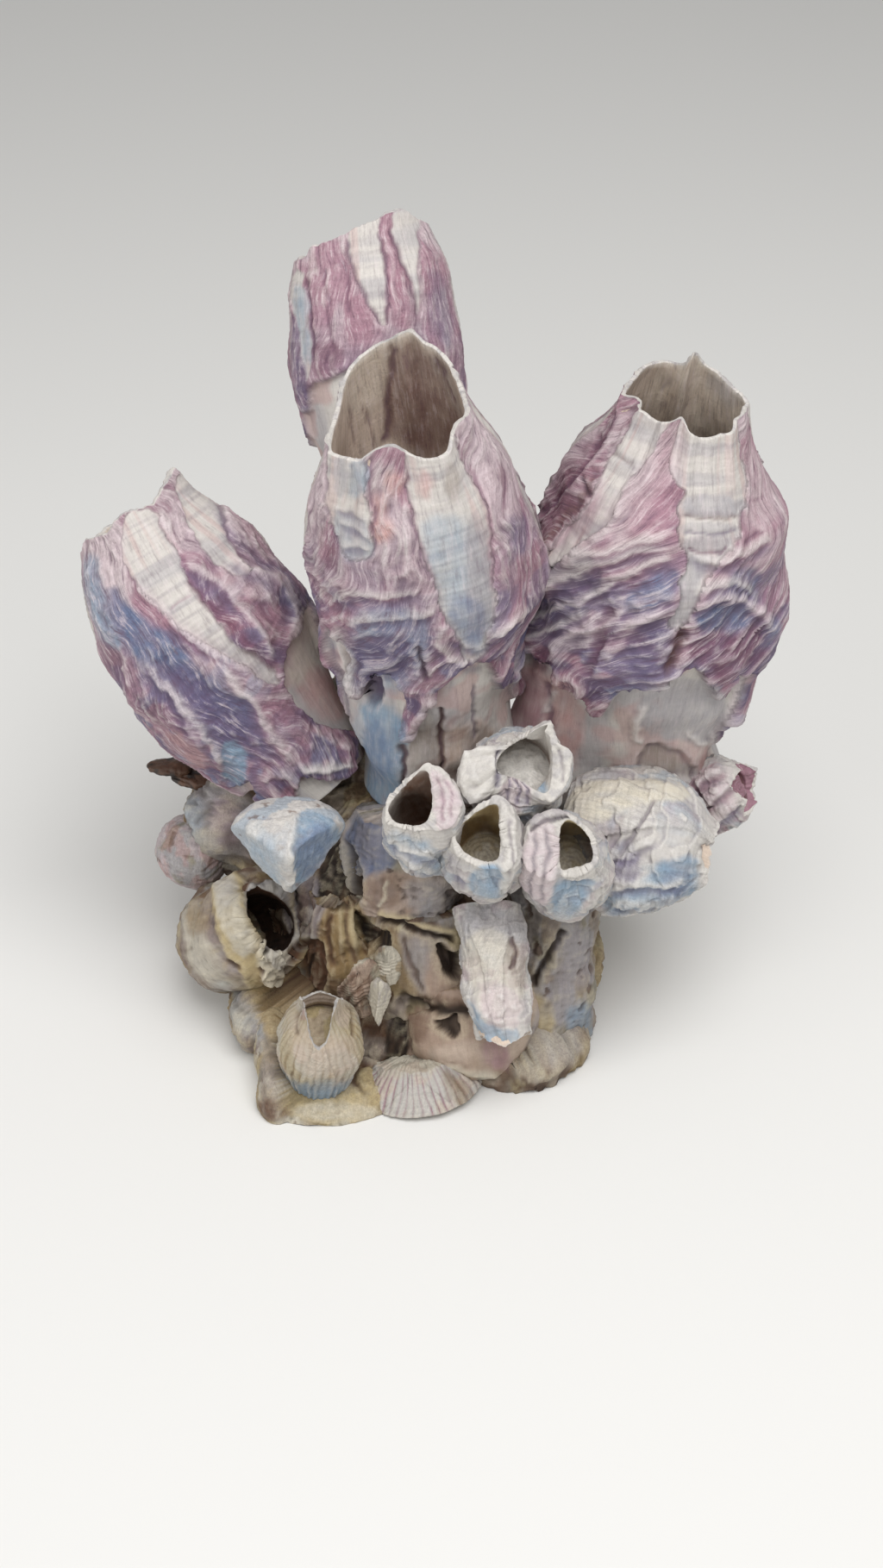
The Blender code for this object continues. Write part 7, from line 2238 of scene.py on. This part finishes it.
KEEL = Lump(
    name="keel_shell",
    node="broken_barnacle_left",
    heart=(-24.4, -26.0, 46.4),
    balls=(((-24.6, -26.0, 47.0), (9.4, 7.4, 4.2)), ((-24.8, -28.4, 42.6), (6.6, 5.6, 5.4)),
           ((-25.0, -30.8, 39.8), (3.4, 3.0, 4.0))),
    cuts=((-0.62, -0.70, -0.35, 5.5), (0.66, -0.68, -0.32, 5.0)),
    blend=0.8, lumpiness=0.3, lump_size=6.0, seed=20, columns=170, rows=100,
    wear=Wear(lumps=0.25, steps=0.15, rings=0.0, pits=0.0,
              stains=((Tint.LIME, 0.8, 6.0, -0.4), (Tint.AZURE, 0.5, 5.0, -0.1))),
    outside=(
        # The lit left face: pale lime as painted light.
        Area(Tint.LIME, ((280, 950), (332, 955), (345, 945), (336, 1038), (320, 1038), (295, 1005)),
             0.7, 0.8, 0.3),
        # Azure low on the left face: painted blue reflection.
        Area(Tint.AZURE, ((278, 970), (322, 968), (330, 1030), (310, 1022)), 0.55, 1.8),
        # The shaded right face: azure and blue as painted shade.
        Area(Tint.AZURE, ((340, 945), (365, 940), (398, 960), (382, 1008), (338, 1035)), 0.8, 0.8),
        Area(Tint.BLUE, ((345, 960), (390, 955), (378, 1005), (343, 1028)), 0.55, 2.0),
        Groove(((344, 946), (339, 985), (334, 1036)), 0.5, -0.5, Tint.LIME, 0.6, 0.05),
        Groove(((352, 1022), (372, 1004), (388, 975)), 0.5, -0.2, Tint.PEARL, 0.6, 0.1),
    ),
)

OLD_SHELLS: tuple[Barnacle | Lump, ...] = (
    OldShell(
        name="left_old_shell",
        node="old_shell_left",
        foot=(-40.0, -8.0, 10.0),
        lip=(-28.8, -22.4, 25.2),
        radii=((0, 8.0), (0.3, 9.4), (0.55, 9.8), (0.8, 9.2), (1.0, 7.8), (1.3, 6.4)),
        rim=((-180, 1.0), (150, -2.0), (110, -3.0), (60, -2.0), (20, 1.6), (-20, 2.0), (-70, 2.4), (-120, 2.0)),
        opening=((284, 1036), (292, 1020), (300, 1030), (316, 1036), (332, 1048), (341, 1066), (341, 1088),
                 (330, 1104), (314, 1104), (298, 1085), (286, 1062)),
        wall=2.4, hollow_from=0.3, lumpiness=1.2, lump_size=7.0, seed=21,
        # Umber walls and an ink floor inside the hollow: painted shade.
        open_top=True, cap_rise=1.0, inner_tint=Tint.UMBER, floor_tint=Tint.INK,
        wear=Wear(lumps=0.35, lump_size=7.0, steps=0.35, rings=0.03, pits=0.1, fibres=0.1),
        outside=(
            *LOWER_MARKS,
            Area(Tint.CREAM, ((298, 1086), (330, 1096), (342, 1112), (342, 1152), (318, 1156), (300, 1118)),
                 0.75, 1.2, 0.2, 1.3),
            Pit((308, 1098), (5, 5), 0.9, Tint.INK, 0.9),
            Pit((306, 1124), (4, 4), 0.7, Tint.UMBER, 0.9),
            Pit((318, 1142), (4, 4), 0.6, Tint.UMBER, 0.8),
        ),
        within=(
            # Umber and ink in the hollow: painted shade.
            Area(Tint.UMBER, ((280, 1010), (340, 1010), (350, 1060), (345, 1112), (300, 1112), (280, 1070)),
                 0.9, 0.8),
            Area(Tint.INK, ((280, 1032), (325, 1038), (342, 1060), (342, 1105), (310, 1108), (284, 1075)),
                 0.8, 1.6),
        ),
    ),
    Lump(
        name="pink_old_shell",
        node="old_shell_pink",
        heart=(-43.6, 1.0, 24.0),
        balls=(((-43.4, 0.0, 24.0), (6.4, 6.6, 7.6)),),
        lumpiness=0.6, seed=27, columns=150, rows=90,
        wear=Wear(lumps=0.4, steps=0.2, pits=0.0,
                  stains=((Tint.PEARL, 0.9, 6.0, -0.4), (Tint.BLUSH, 0.7, 6.0, -0.1),
                          (Tint.SALMON, 0.5, 4.0, 0.0))),
    ),
    OldShell(
        name="brown_old_shell",
        node="old_shell_brown",
        foot=(-16.6, -17.0, 8.0),
        lip=(-16.6, -17.4, 28.0),
        bow=(0.0, -0.8, 0.0),
        radii=((0, 8.0), (0.4, 8.4), (0.8, 7.4), (1.0, 6.2)),
        lumpiness=0.9, lump_size=5.0, seed=22,
        wear=Wear(lumps=0.6, steps=0.3, fibres=0.3, rings=0.0,
                  stains=((Tint.TAN, 0.8, 6.0, -0.3), (Tint.UMBER, 0.6, 4.5, 0.05),
                          (Tint.CREAM, 0.4, 5.0, 0.15))),
        outside=LOWER_MARKS,
    ),
    OldShell(
        name="middle_old_shell",
        node="old_shell_middle",
        foot=(-3.4, -21.0, 9.0),
        lip=(-3.6, -20.0, 28.0),
        bow=(0.0, -0.8, 0.0),
        radii=((0, 9.2), (0.35, 10.2), (0.75, 9.8), (1.0, 8.6)),
        lumpiness=0.5, lump_size=7.0, seed=23,
        wear=Wear(lumps=0.3, steps=0.15, rings=0.02, pits=0.0, fibres=0.14),
        outside=LOWER_MARKS,
    ),
    OldShell(
        name="upper_old_shell",
        node="old_shell_upper",
        foot=(-6.0, -17.0, 28.6),
        lip=(-6.0, -14.0, 42.0),
        bow=(0.0, -0.4, 0.0),
        radii=((0, 10.6), (0.4, 11.0), (0.8, 9.8), (1.0, 8.4)),
        lumpiness=0.7, lump_size=6.0, seed=24,
        wear=Wear(lumps=0.5, steps=0.4,
                  stains=((Tint.PEARL, 0.8, 6.0, -0.3), (Tint.STONE, 0.5, 5.0, 0.0),
                          (Tint.SAND, 0.5, 5.0, 0.1))),
        outside=LOWER_MARKS,
    ),
    OldShell(
        name="lower_old_shell",
        node="old_shell_lower",
        foot=(5.6, -25.4, 2.6),
        lip=(4.4, -22.6, 14.0),
        bow=(0.0, -0.6, 0.0),
        radii=((0, 11.4), (0.4, 12.8), (0.75, 11.8), (1.0, 10.2)),
        lumpiness=0.5, lump_size=7.0, seed=25,
        wear=Wear(lumps=0.3, steps=0.15, rings=0.0, pits=0.05, fibres=0.05,
                  stains=((Tint.CLAY, 0.9, 8.0, -0.3), (Tint.SAND, 0.5, 7.0, 0.0), (Tint.TAN, 0.5, 6.0, 0.1))),
        outside=LOWER_MARKS,
    ),
    OldShell(
        name="right_old_shell",
        node="old_shell_right",
        foot=(18.4, -21.4, 1.4),
        lip=(19.4, -17.0, 31.0),
        bow=(-0.4, -0.8, 0.0),
        radii=((0, 8.2), (0.25, 8.0), (0.45, 7.4), (0.7, 8.0), (1.0, 8.6)),
        lumpiness=0.9, lump_size=7.0, seed=26,
        wear=Wear(lumps=0.6, steps=0.35,
                  stains=((Tint.PEARL, 0.8, 7.0, -0.3), (Tint.STONE, 0.5, 5.0, 0.0),
                          (Tint.TAN, 0.4, 5.0, 0.15))),
        outside=(
            Groove(((655, 1080), (645, 1096), (634, 1112), (615, 1146)), 0.6, 1.4, Tint.INK, 0.9, 0.05),
            Area(Tint.GOLD, ((606, 1150), (640, 1155), (642, 1222), (612, 1225)), 0.7, 1.8, 0.0, 0.4),
            Area(Tint.AZURE, ((650, 1165), (688, 1160), (690, 1210), (665, 1225)), 0.55, 1.8),
            Area(Tint.STONE, ((640, 1085), (690, 1085), (690, 1150), (640, 1150)), 0.5, 2.0),
        ),
    ),
)

PLATES: tuple[ThinPlate, ...] = (
    ThinPlate(
        name="left_plate",
        node="loose_plate_left",
        heart=(-14.0, -34.4, 20.0),
        balls=(((-14.6, -34.8, 19.4), (4.4, 1.6, 4.6)), ((-12.6, -33.8, 23.0), (2.6, 1.4, 3.6))),
        cuts=((-0.75, -0.2, 0.63, 2.6), (0.3, -0.95, 0.1, 0.8), (-0.45, -0.88, -0.1, 0.9)),
        columns=96, seed=41,
        wear=Wear(lumps=0.15, steps=0.0, rings=0.09, ring_gap=0.7, pits=0.0,
                  stains=((Tint.CLAY, 0.9, 5.0, -0.5), (Tint.UMBER, 0.5, 2.5, 0.1))),
        outside=(
            Groove(((372, 1148), (398, 1122), (424, 1113)), 0.5, -0.4, Tint.CREAM, 0.8, 0.05),
            Groove(((386, 1158), (404, 1138), (424, 1128)), 0.35, 0.3, Tint.UMBER, 0.6),
            Groove(((396, 1166), (410, 1150), (424, 1142)), 0.35, 0.3, Tint.UMBER, 0.6),
            Groove(((404, 1172), (416, 1162), (425, 1156)), 0.35, 0.3, Tint.UMBER, 0.6),
        ),
    ),
    ThinPlate(
        name="right_plate",
        node="loose_plate_right",
        heart=(-10.3, -36.6, 19.6),
        balls=(((-10.3, -36.6, 19.6), (2.2, 1.8, 6.4)),),
        cuts=((-0.9, -0.44, 0.12, 1.0), (0.7, -0.72, -0.1, 1.0), (0.5, 0.5, 0.6, 3.4), (0.93, -0.1, -0.36, 1.5),
              (-0.93, -0.1, -0.3, 1.5), (-0.8, 0.0, 0.6, 3.0)),
        seed=42,
        wear=Wear(lumps=0.15, steps=0.0, rings=0.03, ring_gap=0.8, pits=0.0,
                  stains=((Tint.CREAM, 0.9, 5.0, -0.5), (Tint.STONE, 0.4, 2.5, 0.1))),
    ),
    ThinPlate(
        name="top_plate",
        node="loose_plate_top",
        heart=(-9.0, -33.4, 24.6),
        balls=(((-9.0, -33.4, 24.6), (2.6, 1.4, 4.2)),),
        cuts=((0.5, -0.86, 0.1, 0.8), (-0.5, -0.86, 0.1, 0.9)),
        seed=43,
        wear=Wear(lumps=0.15, steps=0.0, rings=0.05, ring_gap=0.9, pits=0.0,
                  stains=((Tint.CREAM, 0.8, 5.0, -0.4), (Tint.TAN, 0.6, 2.5, 0.0))),
    ),
)

FLAKE = ThinPlate(
    name="dark_flake",
    node="dark_shell_flake",
    heart=(-44.6, 4.0, 38.0),
    balls=(((-47.6, 3.4, 39.4), (3.8, 2.4, 1.1)), ((-42.6, 3.4, 37.0), (4.6, 2.8, 1.2))),
    flatness=0.3, columns=110, rows=60, seed=44,
    wear=Wear(lumps=0.3, steps=0.2, rings=0.06, ring_gap=1.0, pits=0.0,
              stains=((Tint.INK, 1.0, 5.0, -0.6), (Tint.UMBER, 0.6, 2.5, 0.1))),
)

LEDGE = Lump(
    name="ledge",
    node="front_ledge",
    heart=(-18.0, -32.0, 1.6),
    balls=(
        ((-21.0, -33.6, 0.2), (9.4, 12.0, 4.0)),
        ((-14.0, -31.6, 0.2), (9.0, 11.6, 3.6)),
        ((-2.0, -31.6, 0.2), (7.0, 9.6, 3.4)),
        ((-28.0, -39.6, 1.6), (2.4, 5.0, 7.0)),
        ((-28.6, -31.0, 4.0), (3.2, 8.0, 6.4)),
    ),
    blend=0.7, floor=0.0, lumpiness=0.4, lump_size=6.0, seed=32, flatness=0.3, columns=230, rows=110,
    wear=Wear(lumps=0.4, steps=0.2, pits=0.1,
              stains=((Tint.CREAM, 0.9, 6.0, -0.4), (Tint.GOLD, 0.7, 4.0, -0.1), (Tint.TAN, 0.4, 5.0, 0.1))),
    outside=LOWER_MARKS,
)

BASE = Lump(
    name="base",
    node="base_mass",
    heart=(-3.0, -2.0, 16.0),
    balls=(
        ((-4.0, -3.0, 17.0), (27.0, 22.0, 26.0)),
        ((29.0, 2.0, 29.5), (14.0, 13.0, 10.0)),
        ((-30.0, 3.0, 28.0), (13.0, 12.0, 12.0)),
        ((-36.0, 2.0, 33.0), (9.0, 8.0, 6.0)),
        ((-31.0, -6.0, 6.0), (9.0, 12.0, 8.0)),
        ((-31.0, -22.0, 5.0), (5.6, 9.0, 6.6)),
        ((14.6, -29.0, 1.0), (7.6, 8.6, 5.6)),
        ((19.0, -20.0, 1.0), (7.0, 9.0, 6.6)),
        ((18.0, -6.0, 14.0), (10.0, 15.0, 14.0)),
        ((-8.4, 9.0, 44.0), (12.0, 12.0, 20.0)),
        ((-6.0, -20.0, 2.0), (18.0, 13.0, 9.0)),
        ((10.0, 16.0, 23.0), (18.0, 13.0, 16.0)),
        ((-20.0, 16.0, 18.0), (17.0, 13.0, 16.0)),
    ),
    blend=1.6, floor=0.0, lumpiness=1.6, lump_size=9.0, seed=31, columns=430, rows=228, crowding=0.35,
    wear=Wear(lumps=1.2, lump_size=10.0, steps=1.4, step_size=12.0, pits=0.3),
    outside=(BASE_SHADE, *FLAT_MARKS),
)

# Ridged, chalky mauve of the tall shells: pale and dark fibres along their folds, nearly matt, a little
# darkened overall and in its crevices as painted shade.
PLATE_FINISH = Finish(
    name="barnacle_plates_grown_ribbed_chalky", ground=("#B3949F", "#917486"), fibre_amount=0.7, relief=0.6,
    crest_amount=0.45, contrast=0.85, painted_shade_tone=0.88, streak=0.42, crumple=1.1,
)
# Dry, flaking white lime of the small shells, grey with painted shade in its crevices and a little darkened
# overall as painted shade.
CHALK_FINISH = Finish(
    name="small_barnacle_lime_flaking", ground=("#C9C6C4", "#ABA9AE"), crest="#D9D6D2", crevice_shade="#6E6670",
    crevice_shade_amount=0.6, streak=0.4, growth=0.45, contrast=0.95, painted_shade_tone=0.88, relief=0.4, streak_length=6.0,
)
# Cream to tan lime of the two ribbed shells, made duller by a painted-shade factor, brown between the ribs,
# partly its own colour and partly painted shade in the crevices.
RIBBED_FINISH = Finish(
    name="ribbed_barnacle_lime_stained", ground=("#C4B79C", "#A8987F"), crest="#BDB49F", crevice_shade="#5A4836",
    streak=0.35, growth=0.4, contrast=0.9, painted_shade_tone=0.66, relief=0.35,
)
# Old lime, rubbed and stained from cream to brown in short blotches, darkened overall and in its crevices as
# painted shade.
WORN_FINISH = Finish(
    name="old_shell_lime_worn_and_stained", ground=("#B3AA96", "#8B867A"), crest="#CFC4A8", crevice_shade="#3E3126",
    crest_amount=0.35, crevice_shade_amount=0.7, streak=0.45, growth=0.5, streak_length=4.0, growth_length=4.0,
    contrast=1.0, relief=0.5, painted_shade_tone=0.76, roughness=0.82,
)
# Dark horn with a faint gloss, darker still in its crevices as painted shade.
HORN_FINISH = Finish(
    name="shell_flake_horny_dark", ground=("#2A1E16", "#3A2A1E"), crest="#5A4636", crevice_shade="#15100C",
    roughness=0.5, specular=0.5,
)


@dataclass(frozen=True)
class Stage:
    """The plain pale floor and the soft light of the studio."""

    floor_size: float = 3.0
    floor_colour: str = "#E3E2DF"
    sky_colour: str = "#FFFFFF"
    sky_strength: float = 0.42
    key_power: float = 4.1
    fill_power: float = 1.7
    key_place: tuple[float, float, float] = (0.12, -0.28, 0.66)
    fill_place: tuple[float, float, float] = (-0.55, -0.45, 0.35)
    key_size: float = 0.5
    fill_size: float = 0.6

    FLOOR_ROUGHNESS = 0.9
    LAMPS_AIM = (0.0, 0.0, 0.06)

    def build(self) -> None:
        """Makes the floor, the sky and the lights."""
        half = self.floor_size / 2
        mesh = bpy.data.meshes.new("floor")
        corners = [(-half, -half, 0), (half, -half, 0), (half, half, 0), (-half, half, 0)]
        mesh.from_pydata(corners, [], [(0, 1, 2, 3)])
        floor = bpy.data.objects.new("floor", mesh)
        bpy.context.scene.collection.objects.link(floor)
        # Matt, nearly white paint that takes soft shadows.
        material = bpy.data.materials.new("floor_matt_paint")
        material.use_nodes = True
        surface = material.node_tree.nodes["Principled BSDF"]
        surface.inputs["Base Color"].default_value = linear(self.floor_colour)
        surface.inputs["Roughness"].default_value = self.FLOOR_ROUGHNESS
        mesh.materials.append(material)
        world = bpy.data.worlds.new("studio")
        world.use_nodes = True
        bpy.context.scene.world = world
        sky = world.node_tree.nodes["Background"]
        sky.inputs["Color"].default_value = linear(self.sky_colour)
        sky.inputs["Strength"].default_value = self.sky_strength
        self.lamp("key", self.key_place, self.key_size, self.key_power)
        self.lamp("fill", self.fill_place, self.fill_size, self.fill_power)
        bpy.context.scene.view_settings.view_transform = "Standard"

    def lamp(self, name: str, place: tuple[float, float, float], size: float, power: float) -> None:
        """Adds a square soft lamp that faces the cluster."""
        data = bpy.data.lights.new(name, "AREA")
        data.size = size
        data.energy = power
        lamp = bpy.data.objects.new(name, data)
        bpy.context.scene.collection.objects.link(lamp)
        back = unit(np.array(place) - np.array(self.LAMPS_AIM))
        side = unit(np.cross((0.0, 0.0, 1.0), back))
        turned = np.eye(4)
        turned[:3, 0], turned[:3, 1], turned[:3, 2] = side, np.cross(back, side), back
        turned[:3, 3] = place
        lamp.matrix_world = Matrix(turned.tolist())


def main() -> None:
    """Builds the stage and every piece in order."""
    logging.basicConfig(level=logging.INFO, format="%(message)s")
    VIEW.make_camera()
    Stage().build()
    plates, chalk, ribbed = PLATE_FINISH.material(), CHALK_FINISH.material(), RIBBED_FINISH.material()
    worn, horn = WORN_FINISH.material(), HORN_FINISH.material()
    for barnacle in TALL_BARNACLES:
        barnacle.build(plates, "purple_shell")
    for barnacle in SMALL_BARNACLES:
        ribs = isinstance(barnacle, RibbedBarnacle)
        barnacle.build(ribbed if ribs else chalk, "ribbed_shell" if ribs else "pale_shell")
    KEEL.build(chalk, "pale_shell")
    for shell in (*OLD_SHELLS, LEDGE, BASE):
        shell.build(worn, "old_shell")
    for plate in PLATES:
        plate.build(worn, "loose_plate")
    FLAKE.build(horn, "dark_shell")


if __name__ == "__main__":
    main()
